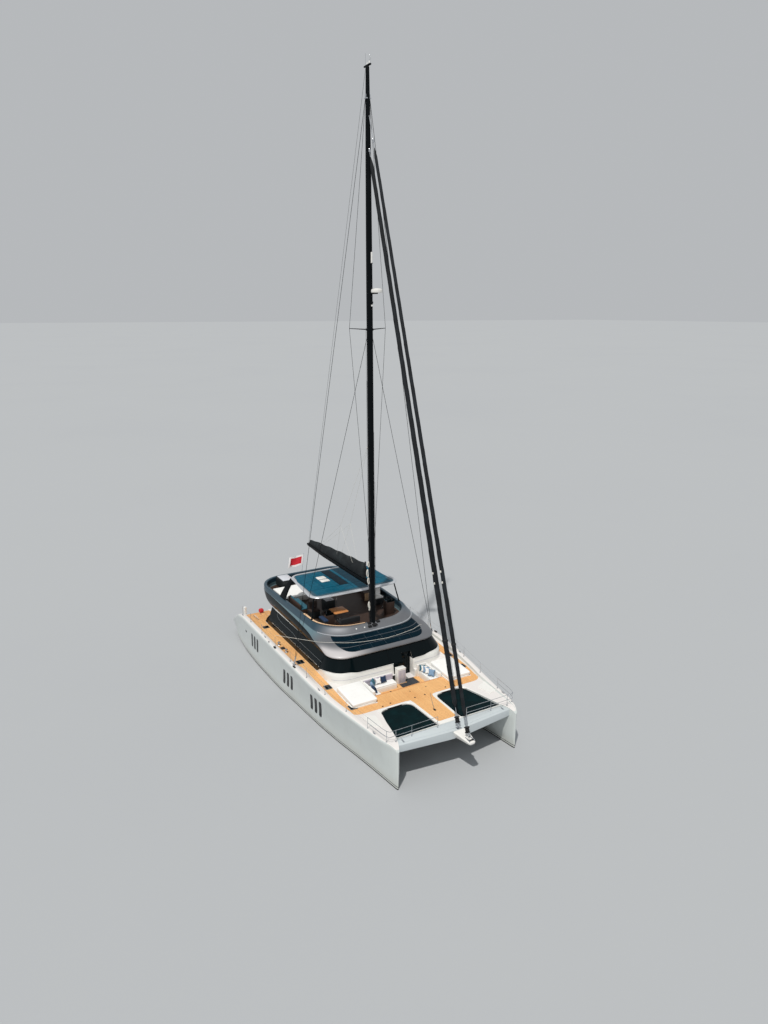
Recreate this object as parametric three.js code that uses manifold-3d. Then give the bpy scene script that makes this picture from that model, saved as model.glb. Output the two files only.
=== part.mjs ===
// Flybridge sailing catamaran, 23.3 m long, afloat at its moorings with the sails furled.
// Millimetres. +X points to the bows, +Y to port, +Z up. The origin is amidships, on the
// centreline, at the waterline.

import * as THREE from 'three';
import { mergeVertices } from 'three/addons/utils/BufferGeometryUtils.js';
import Module from 'manifold-3d';

const wasm = await Module();
wasm.setup();

// Driving dimensions
const GAP = 0.3;                     // left between pieces that touch
const HULL_Y = 3850;                 // centreline of a hull
const DECK_INNER_Y = 2860;           // inner wall of a hull where the bridgedeck meets it
const WET_DECK_Z = 1050;             // underside of the bridgedeck
const FLOOR_Z = 1800;                // saloon and cockpit floor
const FOREDECK_Z = 2400;             // foredeck between the hulls
const BRIDGE_AFT_X = -8900;
const BRIDGE_FRONT_X = 7900;
const ROOF_Z = 3840;                 // underside of the saloon roof
const FLY_FLOOR_Z = 4350;            // flybridge floor
const COAMING_Z = 4950;              // top of the flybridge coaming
const HARDTOP_Z = 6300;              // underside of the hardtop
const MAST_X = 2020;                 // mast centre at its foot
const MAST_FOOT_Z = 4500;
const MAST_TOP_X = 1632;
const MAST_TOP_Z = 36380;
const BOOM_Z = 7350;                 // boom centre at the gooseneck
const DRAFT = 1900;

const COLOURS = {
  gelcoat: ['#ecebe7', 0.28, 0.0],
  antifouling: ['#1c1f24', 0.7, 0.0],
  silver: ['#b4b6ba', 0.32, 0.55],
  teak: ['#cf9a62', 0.6, 0.0],
  glass: ['#0c1a22', 0.06, 0.0],
  carbon: ['#16181b', 0.3, 0.1],
  steel: ['#c9ccd0', 0.2, 1.0],
  bronze: ['#9a7642', 0.35, 0.9],
  net: ['#10262b', 0.85, 0.0],
  canvas: ['#23262b', 0.9, 0.0],
  cushion: ['#f0eee8', 0.85, 0.0],
  engine: ['#8d9297', 0.5, 0.3],
  ensign: ['#c8323a', 0.8, 0.0],
};

function material(name) {
  const [color, roughness, metalness] = COLOURS[name];
  return new THREE.MeshStandardMaterial({ color, roughness, metalness });
}

// Solids: a three.js geometry becomes a closed solid that can be cut and joined

function solid(geometry) {
  const bare = new THREE.BufferGeometry();
  bare.setAttribute('position', geometry.getAttribute('position').clone());
  if (geometry.index) {
    bare.setIndex(geometry.index.clone());
  }
  const merged = mergeVertices(bare, 1e-3);
  return new wasm.Manifold(new wasm.Mesh({
    numProp: 3,
    vertProperties: new Float32Array(merged.getAttribute('position').array),
    triVerts: new Uint32Array(merged.index.array),
  }));
}

function geometryOf(body) {
  const mesh = body.getMesh();
  const geometry = new THREE.BufferGeometry();
  geometry.setAttribute('position', new THREE.BufferAttribute(mesh.vertProperties, mesh.numProp));
  geometry.setIndex(new THREE.BufferAttribute(mesh.triVerts, 1));
  geometry.computeVertexNormals();
  return geometry;
}

function join(...bodies) {
  return bodies.reduce((whole, body) => whole.add(body));
}

function cut(body, ...tools) {
  return tools.reduce((left, tool) => left.subtract(tool), body);
}

// A block between two corners
function block(x0, x1, y0, y1, z0, z1) {
  const geometry = new THREE.BoxGeometry(x1 - x0, y1 - y0, z1 - z0);
  geometry.translate((x0 + x1) / 2, (y0 + y1) / 2, (z0 + z1) / 2);
  return solid(geometry);
}

// An outline of [x, y] points raised from z0 to z1
function prism(points, z0, z1) {
  const shape = new THREE.Shape(points.map(([x, y]) => new THREE.Vector2(x, y)));
  const geometry = new THREE.ExtrudeGeometry(shape, { depth: z1 - z0, bevelEnabled: false });
  geometry.translate(0, 0, z0);
  return solid(geometry);
}

// A side outline of [x, z] points, drawn from y0 to y1
function plate(points, y0, y1) {
  const shape = new THREE.Shape(points.map(([x, z]) => new THREE.Vector2(x, z)));
  const geometry = new THREE.ExtrudeGeometry(shape, { depth: y1 - y0, bevelEnabled: false });
  geometry.rotateX(Math.PI / 2);
  geometry.translate(0, y1, 0);
  return solid(geometry);
}

// A round bar from point a to point b, its radius going from ra to rb
function bar(a, b, ra, rb = ra, sides = 8) {
  const from = new THREE.Vector3(...a);
  const to = new THREE.Vector3(...b);
  const along = to.clone().sub(from);
  const geometry = new THREE.CylinderGeometry(rb, ra, along.length(), sides);
  const turn = new THREE.Quaternion().setFromUnitVectors(
    new THREE.Vector3(0, 1, 0), along.clone().normalize());
  geometry.applyQuaternion(turn);
  const middle = from.add(to).multiplyScalar(0.5);
  geometry.translate(middle.x, middle.y, middle.z);
  return solid(geometry);
}

// A closed body through rings of [x, y, z] points, each ring the same length
function loft(rings) {
  const count = rings[0].length;
  const points = rings.flat();
  const faces = [];
  rings.slice(1).forEach((ring, r) => {
    for (let i = 0; i < count; i += 1) {
      const a = r * count + i;
      const b = r * count + (i + 1) % count;
      faces.push(a, b, a + count, b, b + count, a + count);
    }
  });
  [0, rings.length - 1].forEach((r) => {
    const middle = new THREE.Vector3();
    rings[r].forEach((point) => middle.add(new THREE.Vector3(...point)));
    points.push(middle.divideScalar(count).toArray());
    for (let i = 0; i < count; i += 1) {
      const a = r * count + i;
      const b = r * count + (i + 1) % count;
      const cap = [points.length - 1, b, a];
      faces.push(...(r === 0 ? cap : cap.reverse()));
    }
  });
  const geometry = new THREE.BufferGeometry();
  geometry.setAttribute('position', new THREE.Float32BufferAttribute(points.flat(), 3));
  geometry.setIndex(signedVolume(points, faces) < 0 ? faces.reverse() : faces);
  return solid(geometry);
}

function signedVolume(points, faces) {
  let total = 0;
  for (let i = 0; i < faces.length; i += 3) {
    const [a, b, c] = [0, 1, 2].map((k) => new THREE.Vector3(...points[faces[i + k]]));
    total += a.dot(b.cross(c));
  }
  return total;
}

const mirrored = (body) => body.mirror([0, 1, 0]);

// The hulls. Each station: x, keel bottom, height of the turn of the bilge, half breadths there
// (outer, inner), half breadths of the deck (outer, inner), height of the gunwale and of the deck
const HULL_STATIONS = [
  // x, keel, bilge, bilgeOut, bilgeIn, deckOut, deckIn, gunwale, deck
  [11650, -250, 0, 30, 30, 60, 60, 2490, 2470],
  [11520, -560, 0, 55, 55, 125, 125, 2490, 2460],
  [11150, -720, 0, 95, 95, 270, 270, 2490, 2450],
  [10400, -800, 0, 170, 170, 490, 490, 2500, 2430],
  [9200, -840, 0, 300, 300, 660, 730, 2520, 2410],
  [7900, -870, 0, 460, 460, 860, 990, 2555, 2400],
  [6100, -900, 0, 700, 660, 1150, 990, 2630, 2460],
  [3800, -920, 0, 920, 850, 1370, 990, 2745, 2580],
  [1400, -920, 0, 1060, 940, 1470, 990, 2850, 2690],
  [-2000, -880, 0, 1250, 960, 1510, 990, 2880, 2720],
  [-5000, -740, 0, 1270, 960, 1510, 990, 2870, 2710],
  [-7400, -500, 40, 1200, 950, 1460, 990, 2800, 2620],
  [-8600, -330, 90, 1120, 930, 1400, 990, 2600, 2420],
  [-9700, -150, 200, 1040, 900, 1300, 990, 2050, 1900],
  [-10700, 60, 330, 900, 830, 1130, 940, 1400, 1270],
  [-11350, 220, 450, 700, 690, 870, 830, 1000, 900],
  [-11650, 340, 520, 420, 420, 480, 480, 800, 740],
];
const BILGE_ANGLES = [25, 50, 72];
const INNER_KNUCKLE_Z = 1000;

function hullSection([x, keel, bilge, bilgeOut, bilgeIn, deckOut, deckIn, gunwale, deck]) {
  const arc = (half) => BILGE_ANGLES.map((degrees) => {
    const angle = THREE.MathUtils.degToRad(degrees);
    return [half * Math.sin(angle), bilge + (keel - bilge) * Math.cos(angle)];
  });
  const flare = deckOut - bilgeOut;
  const side = gunwale - bilge;
  const margin = Math.min(460, deckOut * 0.5);
  const knuckle = Math.min(INNER_KNUCKLE_Z, bilge + (deck - bilge) * 0.5);
  const points = [
    [0, keel],
    ...arc(bilgeOut),
    [bilgeOut, bilge],
    [bilgeOut + flare * 0.2, bilge + side * 0.35],
    [bilgeOut + flare * 0.68, bilge + side * 0.74],
    [deckOut, gunwale - side * 0.05],
    [deckOut - margin * 0.2, gunwale],
    [deckOut - margin * 0.75, gunwale],
    [deckOut - margin, deck],
    [-deckIn, deck],
    [-deckIn, knuckle],
    [-bilgeIn - (deckIn - bilgeIn) * 0.2, bilge + (knuckle - bilge) * 0.4],
    [-bilgeIn, bilge],
    ...arc(-bilgeIn).reverse(),
  ];
  return points.map(([y, z]) => [x, HULL_Y + y, z]);
}

// Steps down the stern: each row is the front edge of a tread and its height
const STERN_STEPS = [
  [-8700, 2150],
  [-9150, 1830],
  [-9600, 1510],
  [-10050, 1190],
  [-10500, 870],
  [-10950, 560],
];
const STEP_INNER_Y = 3020;
const STEP_OUTER_Y = 4520;

// Engine bay under a hatch in the aft deck, rudder stock and propeller shaft of the port hull
const BAY = { x0: -8100, x1: -6500, y0: 3300, y1: 4400, floor: 260 };
const HATCH = { x0: -7900, x1: -6800, y0: 3400, y1: 4300, top: 2625, thick: 60, land: 50, play: 5 };
const ENGINE = { length: 1250, width: 760, height: 880 };
const RUDDER = { x: -10000, stock: 60, top: 1100, bladeTop: -190, bottom: -1500, chord: 860, thick: 130 };
const BORE_PLAY = 0.8;                // round a pin that turns in a bore
const SHAFT = { x0: -6900, z0: -330, x1: -9060, z1: -830, radius: 38 };
const PROP_RADIUS = 370;
const PROP_BLADES = 4;
const PROP_BLADE_THICK = 14;
const KNUCKLE = { radius: 4.4, half: 60, sides: 12 };     // of a door or hatch hinge

function hull() {
  const tools = STERN_STEPS.map(([x, z]) => block(-12500, x, STEP_INNER_Y, STEP_OUTER_Y, z, 4000));
  const landZ = HATCH.top - HATCH.thick - GAP;
  const { x0, x1, y0, y1, land, play } = HATCH;
  tools.push(
    block(BAY.x0, BAY.x1, BAY.y0, BAY.y1, BAY.floor, 2400),
    block(x0 + land, x1 - land, y0 + land, y1 - land, 2300, 4000),
    block(x0 - play, x1 + play, y0 - play, y1 + play, landZ, 4000),
    bar([RUDDER.x, HULL_Y, -400], [RUDDER.x, HULL_Y, RUDDER.top + 20],
      RUDDER.stock + BORE_PLAY, RUDDER.stock + BORE_PLAY, 24),
  );
  return cut(loft(HULL_STATIONS.map(hullSection)), ...tools);
}

// Fixed keel: outline along the keel at each level [z, front x, aft x, thickness]
const KEEL_LEVELS = [
  [-DRAFT, 1500, -1350, 150],
  [-DRAFT + 180, 1700, -1500, 260],
  [-600, 2200, -1900, 380],
];

function foil(front, aft, thickness, y, z) {
  const chord = front - aft;
  const upper = [[0, 0.06], [0.1, 0.42], [0.35, 0.5], [0.75, 0.26], [1, 0.04]];
  const side = (sign) => upper.map(([t, half]) => [front - chord * t, y + sign * half * thickness, z]);
  return [...side(1), ...side(-1).reverse()];
}

function keel(hullBody) {
  const rings = KEEL_LEVELS.map(([z, front, aft, thickness]) => foil(front, aft, thickness, HULL_Y, z));
  return cut(loft(rings), hullBody.translate([0, 0, -GAP]));
}

function rudder() {
  const front = RUDDER.x + RUDDER.chord * 0.3;
  const blade = loft([
    foil(front, front - RUDDER.chord, RUDDER.thick, HULL_Y, RUDDER.bladeTop),
    foil(front - 60, front - RUDDER.chord * 0.86, RUDDER.thick * 0.6, HULL_Y, RUDDER.bottom),
  ]);
  const stock = bar([RUDDER.x, HULL_Y, RUDDER.bladeTop - 300], [RUDDER.x, HULL_Y, RUDDER.top],
    RUDDER.stock, RUDDER.stock, 24);
  return join(blade, stock);
}

const shaftPoint = (t) => [
  SHAFT.x0 + (SHAFT.x1 - SHAFT.x0) * t,
  HULL_Y,
  SHAFT.z0 + (SHAFT.z1 - SHAFT.z0) * t,
];

function shaft(hullBody) {
  const [x, y, z] = shaftPoint(0.87);
  const strut = loft([
    foil(x + 95, x - 95, 50, y, z),
    foil(x + 190, x - 130, 70, y, z + 650),
  ]);
  return cut(
    join(bar(shaftPoint(0), shaftPoint(1.003), SHAFT.radius, SHAFT.radius, 24),
      bar(shaftPoint(0.85), shaftPoint(0.935), 75, 75, 16), strut),
    hullBody.translate([0, 0, -GAP]),
  );
}

// The propeller is made about the +X axis at the origin and then turned onto its shaft
function propeller() {
  const hub = cut(
    bar([-130, 0, 0], [130, 0, 0], 60, 95, 16),
    bar([-20, 0, 0], [200, 0, 0], SHAFT.radius + BORE_PLAY, SHAFT.radius + BORE_PLAY, 24),
  );
  const sections = [[70, 150, 62], [220, 250, 38], [PROP_RADIUS, 110, 24]];
  const blade = loft(sections.map(([radius, chord, pitch]) => {
    const angle = THREE.MathUtils.degToRad(90 - pitch);
    const [c, s] = [Math.cos(angle) * chord / 2, Math.sin(angle) * chord / 2];
    const [dx, dy] = [-PROP_BLADE_THICK * s / chord, PROP_BLADE_THICK * c / chord];
    return [[c, s], [dx, dy], [-c, -s], [-dx, -dy]].map(([x, y]) => [x, y, radius]);
  }));
  const blades = [];
  for (let i = 0; i < PROP_BLADES; i += 1) {
    blades.push(blade.rotate([360 * i / PROP_BLADES, 0, 0]));
  }
  return join(hub, ...blades);
}

function engine() {
  const x = BAY.x0 + 180;
  const y = HULL_Y - ENGINE.width / 2;
  const z = BAY.floor + GAP;
  return block(x, x + ENGINE.length, y, y + ENGINE.width, z, z + ENGINE.height);
}

function knuckle([x, y, z], [dx, dy, dz]) {
  const { radius, sides } = KNUCKLE;
  return bar([x - dx, y - dy, z - dz], [x + dx, y + dy, z + dz], radius, radius, sides);
}

function hatch() {
  const { x0, x1, y0, y1, top, thick } = HATCH;
  const knuckles = [y0 + 150, y1 - 150].map((y) => knuckle([x1, y, top], [0, KNUCKLE.half, 0]));
  return join(block(x0, x1, y0, y1, top - thick, top), ...knuckles);
}

// Bridgedeck: a side profile from hull to hull, with the wells cut in it
const BRIDGE_PROFILE = [
  [BRIDGE_AFT_X, 1250],
  [-8000, WET_DECK_Z],
  [6300, WET_DECK_Z],
  [BRIDGE_FRONT_X, 1850],
  [BRIDGE_FRONT_X, FOREDECK_Z],
  [BRIDGE_AFT_X, FOREDECK_Z],
];
const SALOON = { aft: -4600, front: 3900, half: 2660 };
const COCKPIT_AFT_X = -8700;
const LOUNGE = { aft: 4760, front: 6350, half: 2400, floor: 1800, deck: 1950 };
const DOOR = { x: 4150, y0: 800, y1: 1500, z0: 1950, z1: 3450, thick: 50, play: 5 };

function bridgedeck() {
  const half = DECK_INNER_Y - GAP;
  return cut(
    plate(BRIDGE_PROFILE, -half, half),
    block(COCKPIT_AFT_X, SALOON.front, -SALOON.half, SALOON.half, FLOOR_Z, 4000),
    block(LOUNGE.aft, LOUNGE.front, -LOUNGE.half, LOUNGE.half, LOUNGE.floor, 4000),
    block(SALOON.front - 10, LOUNGE.aft + 10, DOOR.y0, DOOR.y1, DOOR.z0, 4000),
    block(BRIDGE_AFT_X - 10, COCKPIT_AFT_X + 10, -2600, -1700, FLOOR_Z, 4000),
    block(BRIDGE_AFT_X - 10, COCKPIT_AFT_X + 10, 1700, 2600, FLOOR_Z, 4000),
  );
}

// Front crossbeam, central walkway, bowsprit and trampolines
const BEAM = { aft: 10700, tipX: 11300, frontX: 11620, tipY: 3720, noseY: 450, bottom: 1900, top: 2370 };
const WALKWAY = { aftHalf: 850, frontHalf: 750, bottom: 1850 };
const SPRIT_TIP_X = 12760;
const NET = { z0: 2300, z1: 2325 };

function crossbeam(portBody) {
  const outline = [
    [BEAM.aft, -3500], [BEAM.tipX, -BEAM.tipY], [BEAM.frontX, -BEAM.noseY],
    [BEAM.frontX, BEAM.noseY], [BEAM.tipX, BEAM.tipY], [BEAM.aft, 3500],
  ];
  return cut(prism(outline, BEAM.bottom, BEAM.top), ...hullCutters(portBody, [0, -GAP, 0]));
}

function hullCutters(portBody, [x, y, z]) {
  return [portBody.translate([x, y, z]), mirrored(portBody).translate([x, -y, z])];
}

function walkway() {
  const { aftHalf, frontHalf, bottom } = WALKWAY;
  const [x0, x1] = [BRIDGE_FRONT_X + GAP, BEAM.aft - GAP];
  const outline = [[x0, -aftHalf], [x1, -frontHalf], [x1, frontHalf], [x0, aftHalf]];
  return prism(outline, bottom, FOREDECK_Z);
}

function bowsprit() {
  const ring = (x, half, z0, z1) => [
    [x, -half, z0], [x, half, z0], [x, half, z1], [x, half * 0.6, z1 + 20],
    [x, -half * 0.6, z1 + 20], [x, -half, z1],
  ];
  const root = BEAM.frontX + GAP;
  return loft([ring(root, 440, 1950, 2330), ring(SPRIT_TIP_X - 80, 230, 2020, 2190),
    ring(SPRIT_TIP_X, 180, 2050, 2170)]);
}

function trampoline(portBody) {
  const [x0, x1] = [BRIDGE_FRONT_X + GAP, BEAM.aft - GAP];
  const { aftHalf, frontHalf } = WALKWAY;
  const outline = [[x0, aftHalf + GAP], [x0, 3500], [x1, 3500], [x1, frontHalf + GAP]];
  return cut(prism(outline, NET.z0, NET.z1), portBody.translate([0, -GAP, 0]));
}

// Rounded plan outline with the same number of points each time, so that outlines can be lofted
const CORNER_STEPS = 5;

function plan({ front, aft, half, aftHalf, round, aftRound, nose = 60 }) {
  const corners = [
    [front - round, half - round, round, 0],
    [aft + aftRound, aftHalf - aftRound, aftRound, 90],
    [aft + aftRound, -aftHalf + aftRound, aftRound, 180],
    [front - round, -half + round, round, 270],
  ];
  const points = [[front + nose, 0]];
  corners.forEach(([x, y, radius, start]) => {
    for (let i = 0; i <= CORNER_STEPS; i += 1) {
      const angle = THREE.MathUtils.degToRad(start + 90 * i / CORNER_STEPS);
      points.push([x + radius * Math.cos(angle), y + radius * Math.sin(angle)]);
    }
  });
  return points;
}

const planLoft = (levels) => loft(levels.map(({ z, ...sizes }) => plan(sizes).map(([x, y]) => [x, y, z])));

// Saloon walls: outer and inner face at the deck, at the sill and at the roof
const WALL = 100;
const SILL_Z = 3060;
const WALL_LEVELS = [
  { z: 1500, front: 4700, half: 4120 },
  { z: SILL_Z, front: 4420, half: 4050 },
  { z: ROOF_Z - GAP, front: 3900, half: 3680 },
];
const CABIN_AFT_X = -6300;

function wallShell(inset, aft, top = 0) {
  return planLoft(WALL_LEVELS.map(({ z, front, half }, level) => ({
    z: level === WALL_LEVELS.length - 1 ? z + top : z,
    front: front - inset,
    half: half - inset,
    aft,
    aftHalf: half - inset,
    round: 1150 - inset,
    aftRound: 1,
  })));
}

// Window openings: [x from, x to, z from, z to] on both sides, [y from, y to, z from, z to] in front
const SIDE_WINDOW = [-4250, 2650, 2980, 3740];
const FRONT_WINDOWS = {
  starboard: [-3000, 700, 3050, 3740],
  port: [1600, 3000, 3050, 3740],
};

function sideWindow(grow) {
  const [x0, x1, z0, z1] = SIDE_WINDOW;
  return block(x0 - grow, x1 + grow, 3300, 4400, z0 - grow, z1 + grow);
}

function frontWindow(side, grow) {
  const [y0, y1, z0, z1] = FRONT_WINDOWS[side];
  return block(3500, 5000, y0 - grow, y1 + grow, z0 - grow, z1 + grow);
}

function cabinWalls(supports) {
  const ring = cut(wallShell(0, CABIN_AFT_X), wallShell(WALL, CABIN_AFT_X - 500, 10));
  const openings = [
    sideWindow(0), mirrored(sideWindow(0)), frontWindow('starboard', 0), frontWindow('port', 0),
  ];
  const wing = plate([[-6400, 2000], [-6400, 4000], [-5200, 4000], [-6300, 2650]], -5000, 5000);
  const door = block(3500, 5000, DOOR.y0, DOOR.y1, 1500, DOOR.z1 + 20);
  return cut(ring, ...openings, wing, door, ...supports);
}

// A pane fills its opening, set back from the outer face of the wall
function pane(tool) {
  const sheet = cut(wallShell(25, CABIN_AFT_X + 100), wallShell(50, CABIN_AFT_X - 500, 10));
  return sheet.intersect(tool);
}

function frontDoor() {
  const { x, y0, y1, z0, z1, thick, play } = DOOR;
  const leaf = block(x - thick, x, y0 + play, y1 - play, z0 + play, z1);
  const knuckles = [z0 + 250, z1 - 250].map((z) => knuckle([x, y1 - play, z], [0, 0, KNUCKLE.half]));
  return join(leaf, ...knuckles);
}

// Aft bulkhead with its sliding door
const BULKHEAD = { x0: -4680, x1: -4600, half: 3790, doorHalf: 600, doorTop: 3600 };
const SLIDER = { x0: -4790, x1: -4740, half: 660, travel: 1320, top: 3640, bottom: FLOOR_Z + 8 };
const RAIL = { z0: 3650, z1: 3700, y0: -720, y1: 2080 };

function aftBulkhead(supports) {
  const { x0, x1, half, doorHalf, doorTop } = BULKHEAD;
  const body = block(x0, x1, -half, half, 1700, ROOF_Z - GAP);
  const openings = [
    block(x0 - 10, x1 + 10, -doorHalf, doorHalf, 1500, doorTop),
    block(x0 - 10, x1 + 10, -3350, -doorHalf - 120, 2820, doorTop),
    block(x0 - 10, x1 + 10, doorHalf + 120, 3350, 2820, doorTop),
  ];
  const rail = block(SLIDER.x0 - 10, x0 + 10, RAIL.y0, RAIL.y1, RAIL.z0, RAIL.z1);
  const shell = wallShell(WALL + GAP, CABIN_AFT_X - 500);
  return cut(join(cut(body, ...openings).intersect(shell), rail), ...supports);
}

function aftDoor() {
  const { x0, x1, half, top, bottom } = SLIDER;
  const hangers = [-half + 150, half - 150].map((y) => bar(
    [(x0 + x1) / 2, y, top - 20], [(x0 + x1) / 2, y, RAIL.z0 - GAP], 12, 12, 12));
  return join(block(x0, x1, -half, half, bottom, top), ...hangers);
}

// Roof with the sloped brow in front and the coaming round the flybridge
const ROOF_LEVELS = [
  { z: ROOF_Z, front: 3960, half: 3740, aft: -8150, aftHalf: 3600, round: 1150, aftRound: 1900 },
  { z: 3950, front: 4040, half: 3790, aft: -8350, aftHalf: 3640, round: 1200, aftRound: 1900 },
  { z: 4120, front: 3880, half: 3780, aft: -8600, aftHalf: 3660, round: 1400, aftRound: 1850 },
  { z: 4520, front: 2950, half: 3560, aft: -8850, aftHalf: 3660, round: 1900, aftRound: 1800 },
  { z: COAMING_Z, front: 2440, half: 3330, aft: -8850, aftHalf: 3650, round: 2500, aftRound: 1800 },
];
const FLY_WELL = { front: 2290, half: 3130, aft: -8650, aftHalf: 3450, round: 2350, aftRound: 1600 };

function roof() {
  return cut(planLoft(ROOF_LEVELS), planLoft([
    { z: FLY_FLOOR_Z, ...FLY_WELL },
    { z: COAMING_Z + 500, ...FLY_WELL },
  ]));
}

// Hardtop on two round posts in front and two wide raked legs aft, all standing on the coaming
const HARDTOP = [
  { z: HARDTOP_Z, front: 60, half: 3160, aft: -4560, aftHalf: 2860, round: 700, aftRound: 700 },
  { z: HARDTOP_Z + 60, front: 130, half: 3230, aft: -4640, aftHalf: 2930, round: 750, aftRound: 750 },
  { z: HARDTOP_Z + 130, front: 60, half: 3180, aft: -4600, aftHalf: 2880, round: 750, aftRound: 750 },
];
const POST = { foot: [-100, 3240], head: [-350, 2950], radius: 45 };
const LEG = { foot: [-4900, -4000, 3430], head: [-4350, -3850, 2820], thick: 70 };

function hardtop() {
  const [footZ, headZ] = [COAMING_Z + GAP, HARDTOP_Z + 30];
  const below = block(-9000, 4000, -4000, 4000, COAMING_Z - 300, footZ);
  const post = cut(
    bar([...POST.foot, footZ - 80], [...POST.head, headZ], POST.radius, POST.radius, 12), below);
  const half = LEG.thick / 2;
  const legRing = ([x0, x1, y], z) => [
    [x0, y - half, z], [x1, y - half, z], [x1, y + half, z], [x0, y + half, z],
  ];
  const leg = loft([legRing(LEG.foot, footZ), legRing(LEG.head, headZ)]);
  return join(planLoft(HARDTOP), post, mirrored(post), leg, mirrored(leg));
}

// Flybridge fittings stand on its floor
const FLY_TOP = FLY_FLOOR_Z + GAP;
const HELM = { x: 450, y: 2250, depth: 420, width: 620, height: 900 };
const WHEEL = { radius: 430, rim: 22, axle: 14, z: 660, aftOfConsole: 45 };

function helmConsole(side) {
  const y = side * HELM.y;
  const z = FLY_TOP;
  const { x, depth, width, height } = HELM;
  const outline = [
    [x, z], [x - depth * 0.8, z], [x - depth, z + height * 0.75],
    [x - depth * 0.55, z + height], [x, z + height],
  ];
  const bore = bar([x - depth - 50, y, z + WHEEL.z], [x - depth + 200, y, z + WHEEL.z],
    WHEEL.axle + BORE_PLAY, WHEEL.axle + BORE_PLAY, 24);
  return cut(plate(outline, y - width / 2, y + width / 2), bore);
}

function helmWheel(side) {
  const rim = new THREE.TorusGeometry(WHEEL.radius, WHEEL.rim, 6, 24);
  rim.rotateY(Math.PI / 2);
  const spokes = [90, 210, 330].map((degrees) => {
    const angle = THREE.MathUtils.degToRad(degrees);
    return bar([0, 0, 0], [0, WHEEL.radius * Math.cos(angle), WHEEL.radius * Math.sin(angle)], 12, 12, 6);
  });
  const axle = bar([-30, 0, 0], [190, 0, 0], WHEEL.axle, WHEEL.axle, 24);
  const hub = bar([-35, 0, 0], [25, 0, 0], 55, 55, 16);
  const centre = [HELM.x - HELM.depth - WHEEL.aftOfConsole, side * HELM.y, FLY_TOP + WHEEL.z];
  return join(solid(rim), ...spokes, axle, hub).translate(centre);
}

// Seat block with a back: x0, x1, y0, y1, base height, seat height, back height, side of the back
function seat(x0, x1, y0, y1, base, height, back, towards) {
  const seatBlock = block(x0, x1, y0, y1, base, base + height);
  const backs = {
    port: [x0, x1, y1 - 160, y1],
    starboard: [x0, x1, y0, y0 + 160],
    front: [x1 - 160, x1, y0, y1],
    aft: [x0, x0 + 160, y0, y1],
  };
  return join(seatBlock, block(...backs[towards], base, base + back));
}

function table(x0, x1, y0, y1, base, height) {
  const [cx, cy] = [(x0 + x1) / 2, (y0 + y1) / 2];
  return join(block(x0, x1, y0, y1, base + height - 45, base + height),
    block(cx - 110, cx + 110, cy - 110, cy + 110, base, base + height));
}

function frontLounge() {
  const base = LOUNGE.floor + GAP;
  const x0 = LOUNGE.aft + GAP;
  const x1 = LOUNGE.front - GAP;
  const half = LOUNGE.half - GAP;
  const deck = block(x0, x1, -half, half, base, LOUNGE.deck);
  return join(
    deck,
    seat(x0, x0 + 720, -half, -480, base, 560, 980, 'aft'),
    seat(x0, x1, -half, -half + 700, base, 560, 900, 'starboard'),
    seat(x0, x1, half - 720, half, base, 560, 900, 'port'),
    block(x0, x0 + 390, -100, 620, base, 2950),
  );
}

// Sunpads: x0, x1, y0, y1, height of the deck under them, height of their top
function sunpad(x0, x1, y0, y1, z0, z1) {
  return prism(plan({
    front: x1, aft: x0, half: (y1 - y0) / 2, aftHalf: (y1 - y0) / 2, round: 90, aftRound: 90, nose: 0,
  }).map(([x, y]) => [x, y + (y0 + y1) / 2]), z0, z1);
}

// Mast, boom and rigging
const MAST_LEVELS = [
  // share of the height, fore-and-aft half size, athwart half size
  [0, 230, 165],
  [0.6, 230, 165],
  [0.85, 190, 140],
  [1, 120, 90],
];
const MAST_SIDES = 16;
const SPREADER = { z: 22900, reach: 1150, sweep: 250, rise: 60, radius: 40 };
const PIVOT = { x: 1600, radius: 30, plate: 60, reach: 400 };
const GOOSENECK = [-170, 170];

function mastAt(z) {
  return MAST_X + (MAST_TOP_X - MAST_X) * (z - MAST_FOOT_Z) / (MAST_TOP_Z - MAST_FOOT_Z);
}

function mast() {
  const foot = FLY_TOP;
  const rings = MAST_LEVELS.map(([share, long, wide]) => {
    const z = foot + (MAST_TOP_Z - foot) * share;
    const ring = [];
    for (let i = 0; i < MAST_SIDES; i += 1) {
      const angle = 2 * Math.PI * (i + 0.5) / MAST_SIDES;
      ring.push([mastAt(z) + long * Math.cos(angle), wide * Math.sin(angle), z]);
    }
    return ring;
  });
  const x = mastAt(SPREADER.z);
  const spreaders = [1, -1].map((side) => bar(
    [x, 0, SPREADER.z], [x - SPREADER.sweep, side * SPREADER.reach, SPREADER.z + SPREADER.rise],
    SPREADER.radius, SPREADER.radius * 0.6, 8));
  const plates = GOOSENECK.map((z) => block(
    PIVOT.x - 55, mastAt(BOOM_Z), -55, 55, BOOM_Z + z - 20, BOOM_Z + z + 20));
  const bores = bar([PIVOT.x, 0, BOOM_Z - 300], [PIVOT.x, 0, BOOM_Z + 300],
    PIVOT.radius + BORE_PLAY, PIVOT.radius + BORE_PLAY, 24);
  return join(loft(rings), ...spreaders, ...plates.map((plateBody) => cut(plateBody, bores)));
}

const BOOM = { aft: -7650, front: 1480, half: 150, z0: 7200, z1: 7520 };

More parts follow.
